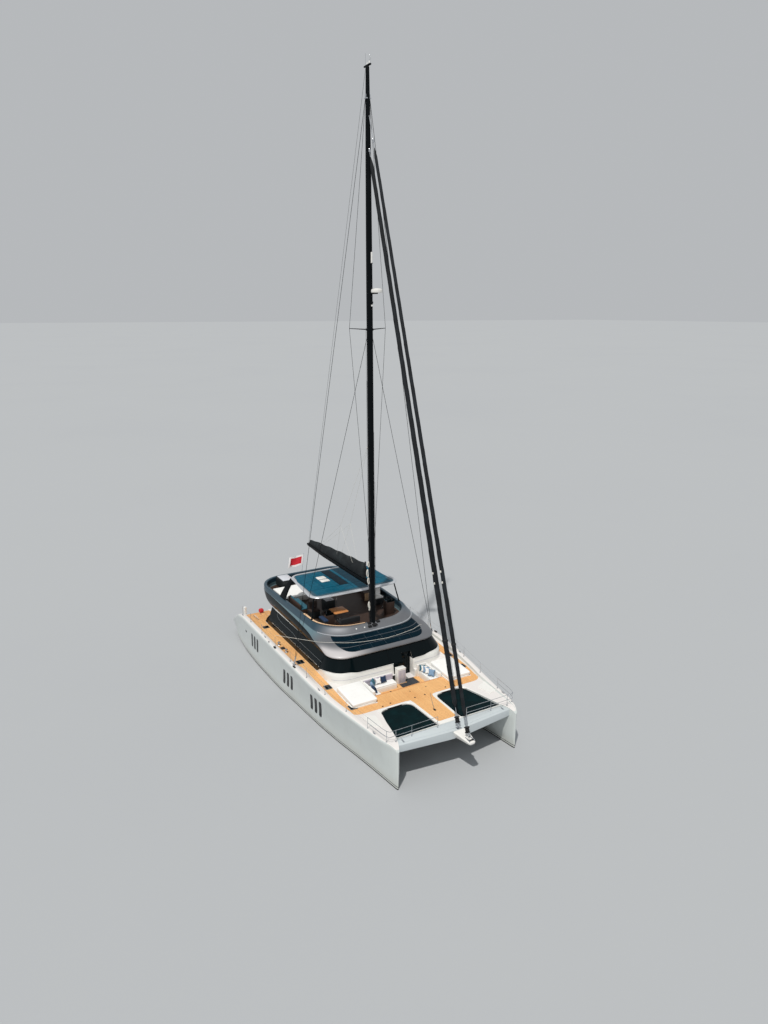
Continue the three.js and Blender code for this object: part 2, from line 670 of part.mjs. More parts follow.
function boom() {
  const pin = bar([PIVOT.x, 0, BOOM_Z - 200], [PIVOT.x, 0, BOOM_Z + 200], PIVOT.radius, PIVOT.radius, 24);
  const tongue = block(BOOM.front - 50, PIVOT.x, -50, 50, BOOM_Z - 140, BOOM_Z + 140);
  const ring = (x, half, z0, z1) => [
    [half * 0.6, z0], [half, z0 + 80], [half, z1], [-half, z1], [-half, z0 + 80], [-half * 0.6, z0],
  ].map(([y, z]) => [x, y, z]);
  const spar = loft([
    ring(BOOM.front, BOOM.half, BOOM.z0, BOOM.z1),
    ring(-5000, BOOM.half, BOOM.z0, BOOM.z1),
    ring(BOOM.aft, BOOM.half * 0.8, BOOM.z0 + 120, BOOM.z1),
  ]);
  return join(pin, tongue, spar);
}

// Sail bag: [x, half width, top] along the boom
const BAG_STATIONS = [[1050, 190, 8560], [-1000, 260, 8420], [-4500, 230, 8150], [-7300, 130, 7860]];

function sailBag() {
  const z0 = BOOM.z1 + GAP;
  return loft(BAG_STATIONS.map(([x, half, top]) => [
    [x, half * 0.7, z0], [x, half, z0 + 250], [x, half * 0.7, top - 130], [x, half * 0.2, top],
    [x, -half * 0.2, top], [x, -half * 0.7, top - 130], [x, -half, z0 + 250], [x, -half * 0.7, z0],
  ]));
}

// Furled headsails: foot, head of the stay, share of the stay where the sail begins and ends
const STAYS = {
  headsail_inner: { foot: [11500, 0, 2350], head: [1600, 0, 33000], from: 0.06, to: 0.965, radius: 150 },
  headsail_outer: { foot: [12420, 0, 2200], head: [1600, 0, 34600], from: 0.06, to: 0.93, radius: 120 },
};

function headsail({ foot, head, from, to, radius }, ...supports) {
  const at = (t) => foot.map((value, i) => value + (head[i] - value) * t);
  const drum = bar(at(0.018), at(0.03), 150, 150, 16);
  return cut(join(
    bar(at(-0.003), head, 22, 22, 8),
    bar(at(from), at(0.25), radius * 0.8, radius, 12),
    bar(at(0.25), at(to), radius, radius * 0.7, 12),
    drum,
  ), ...supports);
}

// On each side two shrouds go up from the chainplate, and a diamond wire runs from the head of the
// longer one over the tip of the spreader to the lower mast
const CHAINPLATE = [1200, 5070, 2850];
const SHROUD_HEADS = [[112, 35000], [172, 22500]];
const TANG = { long: 45, out: 150, low: 130, high: 50 };        // fitting on the mast at the upper head
const SHROUD_RADIUS = 16;
const CHAINPLATE_HALF = { x: 120, y: 25 };
const DIAMOND = { foot: [172, 9600], radius: 12, clear: 20 };

function shrouds(supports) {
  const headAt = ([y, z]) => [mastAt(z), y, z];
  const wires = SHROUD_HEADS.map((head) => bar(CHAINPLATE, headAt(head), SHROUD_RADIUS, SHROUD_RADIUS, 6));
  const tip = [
    mastAt(SPREADER.z) - SPREADER.sweep,
    SPREADER.reach + DIAMOND.radius + DIAMOND.clear,
    SPREADER.z + SPREADER.rise,
  ];
  const diamond = [SHROUD_HEADS[0], DIAMOND.foot].map(
    (end) => bar(headAt(end), tip, DIAMOND.radius, DIAMOND.radius, 6));
  const [x, y, z] = CHAINPLATE;
  const { x: long, y: wide } = CHAINPLATE_HALF;
  const foot = block(x - long, x + long, y - wide, y + wide, z - 60, z + 180);
  const headZ = SHROUD_HEADS[0][1];
  const tangX = mastAt(headZ);
  const tang = block(tangX - TANG.long, tangX + TANG.long, 0, TANG.out, headZ - TANG.low, headZ + TANG.high);
  return cut(join(foot, ...wires, ...diamond, tang), ...supports);
}

// Guard rail: stanchion places along the gunwale, from the bow to the cockpit
const STANCHIONS = [10900, 9300, 7300, 5200, 3000, 700, -1700, -4100, -6300, -8100];
const RAIL_HEIGHTS = [330, 640];
const PULPIT = [[11050, 3650], [10900, 2600], [10900, 950]];

function gunwaleAt(x) {
  const after = HULL_STATIONS.findIndex(([station]) => station <= x);
  const [a, b] = [HULL_STATIONS[after - 1], HULL_STATIONS[after]];
  const t = (a[0] - x) / (a[0] - b[0]);
  const [breadth, height] = [5, 7].map((column) => a[column] + (b[column] - a[column]) * t);
  return [HULL_Y + breadth - Math.min(460, breadth * 0.5) * 0.45, height];
}

function guardRail(supports) {
  const feet = STANCHIONS.map((x) => [x, ...gunwaleAt(x)]);
  const front = PULPIT.map(([x, y]) => [x, y, y > 3500 ? 2480 : BEAM.top]);
  const line = [...front.reverse(), ...feet];
  const posts = line.map(([x, y, z]) => bar([x, y, z - 120], [x, y, z + RAIL_HEIGHTS[1]], 15, 15, 6));
  const wires = RAIL_HEIGHTS.flatMap((height) => line.slice(1).map(([x, y, z], i) => {
    const [px, py, pz] = line[i];
    return bar([px, py, pz + height - 6], [x, y, z + height - 6], 9, 9, 6);
  }));
  return cut(join(...posts, ...wires), ...supports);
}

const RADOME = { x: 2620, z: 24900, radius: 320, height: 240 };

function radome(mastBody) {
  const { x, z, radius, height } = RADOME;
  const dome = bar([x, 0, z], [x, 0, z + height], radius, radius * 0.9, 20);
  const bracket = block(mastAt(z), x, -60, 60, z - 60, z + 20);
  return cut(join(dome, bracket), mastBody.translate([GAP, 0, 0]));
}

// Ensign staff on the aft coaming, its flag flying to starboard
const STAFF = { foot: [-8735, -100, COAMING_Z], head: [-8950, 180, COAMING_Z + 1300], radius: 16 };
const FLAG = { from: 0.42, to: 0.97, length: 1050, drop: 90, aft: 180, thick: 8 };

function ensign(roofBody) {
  const at = (t) => STAFF.foot.map((value, i) => value + (STAFF.head[i] - value) * t);
  const staff = cut(
    bar(at(-0.04), at(1), STAFF.radius, STAFF.radius * 0.75, 10), roofBody.translate([0, 0, GAP]));
  const corners = [[FLAG.from, -1], [FLAG.from, 1], [FLAG.to, 1], [FLAG.to, -1]];
  const edge = (dx, dy, dz) => corners.map(([t, side]) => {
    const [x, y, z] = at(t);
    return [x + dx + side * FLAG.thick / 2, y + dy, z + dz];
  });
  return join(staff, loft([edge(0, 0, 0), edge(-FLAG.aft, -FLAG.length, -FLAG.drop)]));
}

// The object

const group = new THREE.Group();

function add(name, body, colour) {
  const mesh = new THREE.Mesh(geometryOf(body), material(colour));
  mesh.name = name;
  group.add(mesh);
}

function addPair(name, body, colour) {
  add(`${name}_port`, body, colour);
  add(`${name}_starboard`, mirrored(body), colour);
}

const portHull = hull();
addPair('hull', portHull, 'gelcoat');
addPair('keel', keel(portHull), 'antifouling');
addPair('rudder', rudder(), 'antifouling');
addPair('shaft', shaft(portHull), 'steel');
addPair('engine', engine(), 'engine');
addPair('engine_hatch', hatch(), 'gelcoat');

const shaftTilt = THREE.MathUtils.radToDeg(Math.atan2(SHAFT.z0 - SHAFT.z1, SHAFT.x0 - SHAFT.x1));
addPair('propeller', propeller().rotate([0, -shaftTilt, 0]).translate(shaftPoint(1)), 'bronze');

const bridge = bridgedeck();
add('bridgedeck', bridge, 'gelcoat');
const beam = crossbeam(portHull);
add('front_crossbeam', beam, 'gelcoat');
add('walkway', walkway(), 'gelcoat');
const sprit = bowsprit();
add('bowsprit', sprit, 'gelcoat');
addPair('trampoline', trampoline(portHull), 'net');

const decks = [...hullCutters(portHull, [0, 0, GAP]), bridge.translate([0, 0, GAP])];
add('cabin_walls', cabinWalls(decks), 'gelcoat');
addPair('side_glass', pane(sideWindow(-GAP)), 'glass');
['port', 'starboard'].forEach((side) => add(`windscreen_${side}`, pane(frontWindow(side, -GAP)), 'glass'));
add('front_door', frontDoor(), 'glass');
add('aft_bulkhead', aftBulkhead(decks), 'glass');
add('aft_door', aftDoor(), 'glass');
add('front_lounge', frontLounge(), 'gelcoat');
addPair('front_sunpad', cut(sunpad(4950, 7080, 2460, 4060, 2300, 2860), ...decks), 'cushion');

const roofBody = roof();
add('roof', roofBody, 'silver');
add('hardtop', hardtop(), 'silver');
['port', 'starboard'].forEach((name, i) => {
  const side = i === 0 ? 1 : -1;
  add(`helm_console_${name}`, helmConsole(side), 'carbon');
  add(`helm_wheel_${name}`, helmWheel(side), 'steel');
});
addPair('helm_seat', seat(-1950, -1300, 2050, 2750, FLY_TOP, 620, 1080, 'aft'), 'cushion');
addPair('fly_seat', seat(-4400, -2400, 2300, 3040, FLY_TOP, 430, 760, 'port'), 'cushion');
add('fly_seat_front', seat(300, 1100, -1750, -350, FLY_TOP, 430, 700, 'front'), 'cushion');
add('fly_table', table(-1050, -50, -1600, -600, FLY_TOP, 650), 'teak');
add('fly_bar', block(-2450, -1750, -1450, -750, FLY_TOP, FLY_TOP + 900), 'gelcoat');
addPair('fly_sunpad', sunpad(-7300, -4700, 1300, 3150, FLY_TOP, FLY_TOP + 420), 'cushion');

add('cockpit_seat', seat(-8660, -7960, -1600, 1600, FLOOR_Z + GAP, 430, 850, 'aft'), 'cushion');
add('cockpit_table', table(-7500, -6500, -900, 900, FLOOR_Z + GAP, 720), 'teak');

const mastBody = mast();
add('mast', mastBody, 'carbon');
add('boom', boom(), 'carbon');
add('sail_bag', sailBag(), 'canvas');
const mastTool = mastBody.translate([GAP, 0, 0]);
add('headsail_inner', headsail(STAYS.headsail_inner, mastTool, beam.translate([0, 0, GAP])), 'canvas');
add('headsail_outer', headsail(STAYS.headsail_outer, mastTool, sprit.translate([0, 0, GAP])), 'canvas');
addPair('shrouds', shrouds([mastBody.translate([0, GAP, 0]), portHull.translate([0, 0, GAP])]), 'steel');
addPair('guard_rail', guardRail([portHull.translate([0, 0, GAP]), beam.translate([0, 0, GAP])]), 'steel');
add('radome', radome(mastBody), 'gelcoat');
add('ensign', ensign(roofBody), 'ensign');

export default group;
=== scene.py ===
# %% [markdown]
# # Flybridge sailing catamaran
# A 23.3 m cruising catamaran lies afloat with her sails furled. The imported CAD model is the
# fixed frame: +X points to the bows, +Y to port, +Z up, and z = 0 is the waterline. Most of the
# boat is fair, smooth moulding, so the coarse solids are replaced here by finer skins that are
# drawn from the same tables of numbers.

import bisect
import math

import bmesh
import bpy
from mathutils import Matrix, Vector


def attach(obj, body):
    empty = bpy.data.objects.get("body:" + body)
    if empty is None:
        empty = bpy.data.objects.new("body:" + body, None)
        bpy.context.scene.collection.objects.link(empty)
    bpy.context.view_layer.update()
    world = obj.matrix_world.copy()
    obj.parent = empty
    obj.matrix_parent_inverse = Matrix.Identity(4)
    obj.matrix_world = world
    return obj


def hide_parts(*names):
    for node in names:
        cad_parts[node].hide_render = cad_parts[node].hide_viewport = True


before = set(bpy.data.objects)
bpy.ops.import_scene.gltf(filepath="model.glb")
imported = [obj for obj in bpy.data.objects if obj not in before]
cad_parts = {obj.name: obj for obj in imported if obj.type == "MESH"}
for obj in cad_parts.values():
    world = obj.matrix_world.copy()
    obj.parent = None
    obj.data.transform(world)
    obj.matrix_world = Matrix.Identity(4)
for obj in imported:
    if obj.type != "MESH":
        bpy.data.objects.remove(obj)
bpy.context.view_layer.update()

# %% [markdown]
# The camera is placed first. It hangs ahead of the starboard bow, about 24 m above the
# waterline, and looks down on the decks. It could be aimed with a Track To constraint, but the
# place and the angles were solved from known points of the boat, so they are plain numbers.

# %% Camera
CAMERA_PLACE = (39.989, -21.096, 23.931)
CAMERA_AZIMUTH = math.radians(149.99)
CAMERA_PITCH = math.radians(15.21)
CAMERA_ROLL = math.radians(0.10)

camera = bpy.data.objects.new("camera", bpy.data.cameras.new("camera"))
camera.data.lens = 26.01
camera.data.sensor_width = 36.0
camera.data.clip_end = 4000.0
look = Vector((math.cos(CAMERA_AZIMUTH) * math.cos(CAMERA_PITCH),
               math.sin(CAMERA_AZIMUTH) * math.cos(CAMERA_PITCH),
               -math.sin(CAMERA_PITCH)))
camera.matrix_world = (Matrix.Translation(CAMERA_PLACE)
                       @ look.to_track_quat("-Z", "Y").to_matrix().to_4x4()
                       @ Matrix.Rotation(CAMERA_ROLL, 4, "Z"))
bpy.context.scene.collection.objects.link(camera)
bpy.context.scene.camera = camera
print("camera at", CAMERA_PLACE, "lens", round(camera.data.lens, 2))

# %% [markdown]
# ## Making meshes
# A form is a list of points and faces with the number of its material. Forms are gathered into
# one mesh for each piece of the boat. Blender's primitives and edit operators could do this by
# hand, but plain lists give the same result on every run and can be mirrored from port to
# starboard. Faces are smooth, and edges sharper than a given angle are marked sharp.

# %% Pieces from forms
def add_object(name, mesh, body="root", replaces=()):
    """Link a mesh as a piece that rides on a body."""
    thing = bpy.data.objects.new(name, mesh)
    bpy.context.scene.collection.objects.link(thing)
    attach(thing, body)
    if replaces:
        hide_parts(*replaces)
    return thing


def mesh_from(name, forms, materials, sharp=35.0):
    """One mesh from several forms (points, faces, material number)."""
    bm = bmesh.new()
    for points, faces, index in forms:
        made = [bm.verts.new(point) for point in points]
        for face in faces:
            new = bm.faces.new([made[i] for i in face])
            new.material_index = index
            new.smooth = True
    bmesh.ops.recalc_face_normals(bm, faces=bm.faces)
    mesh = bpy.data.meshes.new(name)
    bm.to_mesh(mesh)
    bm.free()
    mesh.set_sharp_from_angle(angle=math.radians(sharp))
    for material in materials:
        mesh.materials.append(material)
    return mesh


def piece(name, forms, materials, body="root", slot=None, replaces=(), sharp=35.0, bevel=0.0):
    """A finished piece, with its edges rounded by a Bevel modifier where bevel is set."""
    mesh = mesh_from(name, forms, materials, sharp)
    thing = add_object(name, mesh, body, replaces)
    if bevel:
        round_edges(thing, bevel)
    return thing


def round_edges(thing, width, angle=38.0):
    modifier = thing.modifiers.new("rounded edges", "BEVEL")
    modifier.width = width
    modifier.segments = 2
    modifier.limit_method = "ANGLE"
    modifier.angle_limit = math.radians(angle)
    modifier.harden_normals = True


def settle(thing):
    """Turn the result of all modifiers into the mesh itself."""
    graph = bpy.context.evaluated_depsgraph_get()
    mesh = bpy.data.meshes.new_from_object(thing.evaluated_get(graph))
    thing.modifiers.clear()
    thing.data = mesh


def mirror(form):
    """The same form on the other side of the centreline."""
    points, faces, index = form
    return [(x, -y, z) for x, y, z in points], [face[::-1] for face in faces], index


def both(*forms):
    return list(forms) + [mirror(form) for form in forms]


def on_side(side, *forms):
    return list(forms) if side > 0 else [mirror(form) for form in forms]


SIDES = (("port", 1), ("starboard", -1))


def pair(name, forms, materials, body=None, replaces=None, **more):
    """The same piece on both sides, from forms that are drawn to port."""
    for side_name, side in SIDES:
        piece(f"{name}_{side_name}", on_side(side, *forms), materials,
              body=f"{body}_{side_name}" if body else "root",
              replaces=[f"{replaces}_{side_name}"] if replaces else (), **more)


def recoloured(index, *forms):
    """The same forms with another material number."""
    return [(points, faces, index) for points, faces, _ in forms]


# %% [markdown]
# Boxes, prisms, tubes, turned parts and lofts are the shapes that a boatyard's fittings come
# down to. Each helper below returns a form. The box and the prism round their own edges with
# bmesh's bevel, because nothing on a moulded boat has a knife edge.

# %% Form helpers
def form_of(bm, index):
    bm.verts.index_update()
    points = [tuple(v.co) for v in bm.verts]
    faces = [[v.index for v in f.verts] for f in bm.faces]
    bm.free()
    return points, faces, index


def soften(bm, edges, soft, steps):
    if soft:
        bmesh.ops.bevel(bm, geom=list(edges), offset=soft, segments=steps, affect="EDGES",
                        profile=0.5, clamp_overlap=True)


def full_turn(count):
    """Evenly spaced angles once round a circle."""
    return [2 * math.pi * k / count for k in range(count)]


def grid_faces(columns, rows):
    """Square faces over a grid of points that is listed column by column."""
    wide = rows + 1
    corners = [i * wide + j for i in range(columns) for j in range(rows)]
    return [(a, a + 1, a + wide + 1, a + wide) for a in corners]


def rectangle(x0, x1, y0, y1):
    return [(x0, y0), (x1, y0), (x1, y1), (x0, y1)]


def box(lo, hi, soft=0.01, steps=2, index=0):
    bm = bmesh.new()
    bmesh.ops.create_cube(bm, size=1.0)
    for v in bm.verts:
        v.co = Vector([(a + b) / 2 + (b - a) * c for a, b, c in zip(lo, hi, v.co)])
    soften(bm, bm.edges, soft, steps)
    return form_of(bm, index)


def prism(outline, z0, z1, soft=0.01, steps=2, index=0, axis="z"):
    """An outline raised along an axis: [x, y] along z, or [x, z] along y."""
    bm = bmesh.new()
    place = (lambda a, b, c: (a, b, c)) if axis == "z" else (lambda a, b, c: (a, c, b))
    low = [bm.verts.new(place(a, b, z0)) for a, b in outline]
    high = [bm.verts.new(place(a, b, z1)) for a, b in outline]
    ends = [bm.faces.new(low[::-1]), bm.faces.new(high)]
    for i in range(len(outline)):
        j = (i + 1) % len(outline)
        bm.faces.new((low[i], low[j], high[j], high[i]))
    soften(bm, {edge for face in ends for edge in face.edges}, soft, steps)
    return form_of(bm, index)


def rounded(corners, radius, steps=6):
    """A closed outline with its corners rounded; radius is one number or one for each corner."""
    count = len(corners)
    radii = radius if isinstance(radius, (list, tuple)) else [radius] * count
    outline = []
    for i, corner in enumerate(corners):
        here = Vector(corner)
        before = Vector(corners[i - 1]) - here
        after = Vector(corners[(i + 1) % count]) - here
        if radii[i] <= 0:
            outline.append(tuple(here))
            continue
        reach = min(radii[i], before.length * 0.49, after.length * 0.49)
        start = here + before.normalized() * reach
        end = here + after.normalized() * reach
        for k in range(steps + 1):
            t = k / steps
            outline.append(tuple(start * (1 - t) ** 2 + here * 2 * t * (1 - t) + end * t * t))
    return outline


def path_through(points, steps=6):
    """More points on a smooth line through the given ones."""
    line = [Vector(p) for p in points]
    line = [2 * line[0] - line[1]] + line + [2 * line[-1] - line[-2]]
    out = []
    for a, b, c, d in zip(line, line[1:], line[2:], line[3:]):
        for k in range(steps):
            t = k / steps
            out.append(0.5 * (2 * b + (c - a) * t + (2 * a - 5 * b + 4 * c - d) * t * t
                              + (3 * b - a - 3 * c + d) * t ** 3))
    out.append(line[-2])
    return out


def tube(points, radius, sides=10, index=0, closed=False):
    """A round tube along a line; radius is one number or one for each point."""
    line = [Vector(p) for p in points]
    count = len(line)
    radii = radius if isinstance(radius, (list, tuple)) else [radius] * count
    tangents = []
    for i in range(count):
        ahead = line[(i + 1) % count] if closed or i < count - 1 else line[i]
        behind = line[i - 1] if closed or i else line[i]
        tangents.append((ahead - behind).normalized())
    normal = tangents[0].orthogonal().normalized()
    rings = []
    for i in range(count):
        normal = (normal - tangents[i] * normal.dot(tangents[i])).normalized()
        across = tangents[i].cross(normal)
        rings.append([line[i] + (normal * math.cos(a) + across * math.sin(a)) * radii[i]
                      for a in full_turn(sides)])
    if closed:
        rings.append(rings[0])
        return loft(rings, index, caps=False, weld=True)
    return loft(rings, index)


def loft(rings, index=0, caps=True, weld=False, closed=True):
    """A skin through rings of the same number of points."""
    count = len(rings[0])
    used = rings[:-1] if weld else rings
    points = [tuple(p) for ring in used for p in ring]
    faces = []
    rows = len(used)
    for r in range(len(rings) - 1):
        s = (r + 1) % rows
        for i in range(count if closed else count - 1):
            j = (i + 1) % count
            faces.append((r * count + i, r * count + j, s * count + j, s * count + i))
    if caps:
        faces.append(tuple(range(count))[::-1])
        faces.append(tuple(range((rows - 1) * count, rows * count)))
    return points, faces, index


def plate(place, columns, rows, index=0):
    """A thin curved plate: place(u, v, layer) gives its points, layer 1 outside and 0 inside."""
    wide = columns + 1
    size = wide * (rows + 1)
    points = [tuple(place(c / columns, r / rows, layer))
              for layer in (1, 0) for r in range(rows + 1) for c in range(wide)]
    faces = []
    for r in range(rows):
        for c in range(columns):
            a = r * wide + c
            faces.append((a, a + 1, a + wide + 1, a + wide))
            faces.append((size + a, size + a + wide, size + a + wide + 1, size + a + 1))
    edge = list(range(wide)) + [r * wide + columns for r in range(1, rows + 1)]
    edge += [rows * wide + c for c in range(columns - 1, -1, -1)]
    edge += [r * wide for r in range(rows - 1, 0, -1)]
    for a, b in zip(edge, edge[1:] + edge[:1]):
        faces.append((b, a, size + a, size + b))
    return points, faces, index


def lathe(profile, centre, axis=(0, 0, 1), sides=24, index=0):
    """A turned part: the profile is [radius, height] pairs along the axis."""
    turn = Vector((0, 0, 1)).rotation_difference(Vector(axis))
    rings = []
    for radius, height in profile:
        r = max(radius, 1e-4)
        rings.append([Vector(centre) + turn @ Vector((r * math.cos(a), r * math.sin(a), height))
                      for a in full_turn(sides)])
    return loft(rings, index)


def rod(a, b, radius, sides=10, index=0):
    return tube([a, b], radius, sides, index)


def fair(knots, values, at):
    """A monotone cubic through the knots, so that a fair line never bulges past them."""
    steps = [b - a for a, b in zip(knots, knots[1:])]
    slopes = [(b - a) / h for a, b, h in zip(values, values[1:], steps)]
    tangents = [slopes[0]]
    for a, b in zip(slopes, slopes[1:]):
        tangents.append(0.0 if a * b <= 0 else 2 * a * b / (a + b))
    tangents.append(slopes[-1])
    i = max(0, min(len(steps) - 1, bisect.bisect_right(knots, at) - 1))
    t = (at - knots[i]) / steps[i]
    return ((2 * t ** 3 - 3 * t ** 2 + 1) * values[i] + (3 * t ** 2 - 2 * t ** 3) * values[i + 1]
            + (t ** 3 - 2 * t ** 2 + t) * steps[i] * tangents[i]
            + (t ** 3 - t ** 2) * steps[i] * tangents[i + 1])


def column(rows, k, at):
    """Column k of a table at a place in its first column, along a fair curve."""
    return fair([row[0] for row in rows], [row[k] for row in rows], at)


def spread(start, end, count):
    return [start + (end - start) * i / (count - 1) for i in range(count)]


def mix(a, b, t):
    return a + (b - a) * t


def smoothstep(a, b, t):
    t = max(0.0, min(1.0, (t - a) / (b - a)))
    return t * t * (3 - 2 * t)


# %% [markdown]
# ## Finishes
# Every finish is a procedural material. Effects that several of them share are node groups with
# named sockets, built once: weathering, planking, weave and solar cells. Image textures would be
# quicker for wood and cloth, but they tie the boat to files and to UV maps. All patterns here
# read the object's own coordinates in metres, so a 60 mm plank is 60 mm wide everywhere.

# %% Node group helpers
def shade(red, green, blue):
    """A colour given in 0 to 255, as linear values for a socket."""
    def linear(c):
        c = c / 255
        return c / 12.92 if c <= 0.04045 else ((c + 0.055) / 1.055) ** 2.4
    return (linear(red), linear(green), linear(blue), 1.0)


def feed(tree, socket, value):
    """Link a socket, or set a plain value."""
    if isinstance(value, bpy.types.NodeSocket):
        tree.links.new(value, socket)
    else:
        socket.default_value = value


def node(tree, kind, **values):
    """A node with its properties and its inputs set; a socket as value makes a link."""
    made = tree.nodes.new("ShaderNode" + kind)
    links = {}
    for key, value in values.items():
        if key.startswith("in_"):
            links[key[3:]] = value
        else:
            setattr(made, key, value)
    for key, value in links.items():
        feed(tree, made.inputs[int(key) if key.isdigit() else key.replace("_", " ")], value)
    return made


def new_group(name, *inputs):
    """A node group with named inputs, the outputs that all finishes share and the object's place."""
    tree = bpy.data.node_groups.new(name, "ShaderNodeTree")
    for label, value in inputs:
        kind = "NodeSocketColor" if isinstance(value, tuple) else "NodeSocketFloat"
        tree.interface.new_socket(label, in_out="INPUT", socket_type=kind).default_value = value
    for label in ("Color", "Roughness", "Height"):
        kind = "NodeSocketColor" if label == "Color" else "NodeSocketFloat"
        tree.interface.new_socket(label, in_out="OUTPUT", socket_type=kind)
    source, sink = tree.nodes.new("NodeGroupInput"), tree.nodes.new("NodeGroupOutput")
    value = {socket.name: socket for socket in source.outputs}
    return tree, value, sink, node(tree, "TexCoord").outputs["Object"]


def put_out(tree, sink, *results):
    """Link the results to the group's outputs, and give the group back."""
    for i, result in enumerate(results):
        tree.links.new(result, sink.inputs[i])
    return tree


def noise(tree, place, scale, detail, **more):
    return node(tree, "TexNoise", in_Vector=place, in_Scale=scale, in_Detail=detail, **more).outputs[0]


def number(tree, operation, *values):
    made = node(tree, "Math", operation=operation)
    for socket, value in zip(made.inputs, values):
        feed(tree, socket, value)
    return made.outputs[0]


def blend_colour(tree, factor, first, second):
    made = node(tree, "Mix", data_type="RGBA")
    for i, value in ((0, factor), (6, first), (7, second)):
        feed(tree, made.inputs[i], value)
    return made.outputs[2]


def ramp(tree, source, low, high):
    """0 below low and 1 above high, smooth between."""
    made = node(tree, "MapRange", interpolation_type="SMOOTHSTEP", in_0=source)
    made.inputs[1].default_value = low
    made.inputs[2].default_value = high
    return made.outputs[0]


# %% [markdown]
# Weathering is what salt, rain and hands leave on any painted or moulded surface: a soft mottle,
# faint runs that go straight down, a fine orange-peel or grain, and edges that are rubbed a
# little. Curvature for the edges comes from the Geometry node's pointiness.

# %% Weathering group
def make_weathering():
    tree, value, sink, place = new_group(
        "weathering",
        ("Base Color", (0.8, 0.8, 0.8, 1.0)), ("Worn Color", (0.5, 0.5, 0.5, 1.0)),
        ("Mottle", 0.3), ("Runs", 0.1), ("Edge Wear", 0.2), ("Scale", 0.8), ("Grain Size", 60.0),
        ("Roughness", 0.4), ("Roughness Spread", 0.1))
    cloud = noise(tree, place, value["Scale"], 5.0, in_Roughness=0.6)
    tall = node(tree, "Mapping", in_Vector=place, in_Scale=(9.0, 9.0, 0.35)).outputs[0]
    streak = noise(tree, tall, 1.0, 3.0)
    grain = noise(tree, place, value["Grain Size"], 2.0)
    edge = ramp(tree, node(tree, "NewGeometry").outputs["Pointiness"], 0.515, 0.56)
    mottle = number(tree, "MULTIPLY", ramp(tree, cloud, 0.42, 0.72), value["Mottle"])
    runs = number(tree, "MULTIPLY", ramp(tree, streak, 0.5, 0.72), value["Runs"])
    worn = number(tree, "MULTIPLY", edge, value["Edge Wear"])
    total = number(tree, "ADD", number(tree, "ADD", mottle, runs), worn)
    total = number(tree, "MINIMUM", total, 1.0)
    colour = blend_colour(tree, total, value["Base Color"], value["Worn Color"])
    rough = number(tree, "ADD", value["Roughness"],
                   number(tree, "MULTIPLY", number(tree, "SUBTRACT", cloud, 0.45),
                          value["Roughness Spread"]))
    return put_out(tree, sink, colour, rough, grain)


WEATHERING = make_weathering()
print("group:", WEATHERING.name)

# %% [markdown]
# The decks are laid teak: long planks with dark caulked seams. The planks run fore and aft, so a
# saw-tooth of the y coordinate gives each plank its number and its seam, and the number picks a
# tone. Grain is noise drawn out along the plank.

# %% Planking group
def make_planking():
    tree, value, sink, place = new_group(
        "planking",
        ("Wood Color", (0.6, 0.36, 0.18, 1.0)), ("Pale Color", (0.72, 0.5, 0.28, 1.0)),
        ("Caulk Color", (0.05, 0.045, 0.04, 1.0)), ("Plank Width", 0.06), ("Seam Share", 0.08),
        ("Roughness", 0.6))
    axes = node(tree, "SeparateXYZ", in_Vector=place)
    across = number(tree, "DIVIDE", axes.outputs["Y"], value["Plank Width"])
    plank = number(tree, "FLOOR", across)
    part = number(tree, "SUBTRACT", across, plank)
    seam = number(tree, "LESS_THAN", part, value["Seam Share"])
    joint = node(tree, "CombineXYZ", in_0=number(tree, "MULTIPLY", axes.outputs["X"], 0.45), in_1=plank)
    tone = node(tree, "TexWhiteNoise", noise_dimensions="2D",
                in_Vector=node(tree, "VectorMath", operation="FLOOR",
                               in_0=joint.outputs[0]).outputs[0]).outputs[0]
    long = node(tree, "Mapping", in_Vector=place, in_Scale=(3.0, 60.0, 60.0)).outputs[0]
    figure = noise(tree, long, 1.0, 4.0)
    cloud = noise(tree, place, 0.35, 4.0)
    light = number(tree, "ADD", number(tree, "MULTIPLY", tone, 0.35),
                   number(tree, "ADD", number(tree, "MULTIPLY", figure, 0.35),
                          number(tree, "MULTIPLY", ramp(tree, cloud, 0.35, 0.65), 0.4)))
    wood = blend_colour(tree, light, value["Wood Color"], value["Pale Color"])
    colour = blend_colour(tree, number(tree, "MULTIPLY", seam, 0.75), wood, value["Caulk Color"])
    rough = number(tree, "ADD", value["Roughness"], number(tree, "MULTIPLY", figure, 0.15))
    height = number(tree, "SUBTRACT", number(tree, "MULTIPLY", figure, 0.3), seam)
    return put_out(tree, sink, colour, rough, height)


PLANKING = make_planking()
print("group:", PLANKING.name)

# %% [markdown]
# Cloth on board is outdoor canvas or vinyl with a visible weave. Two sets of threads cross at
# right angles: where one is up, the other is down. The product of two wave textures gives that
# height, and soft noise fades the colour as the sun does.

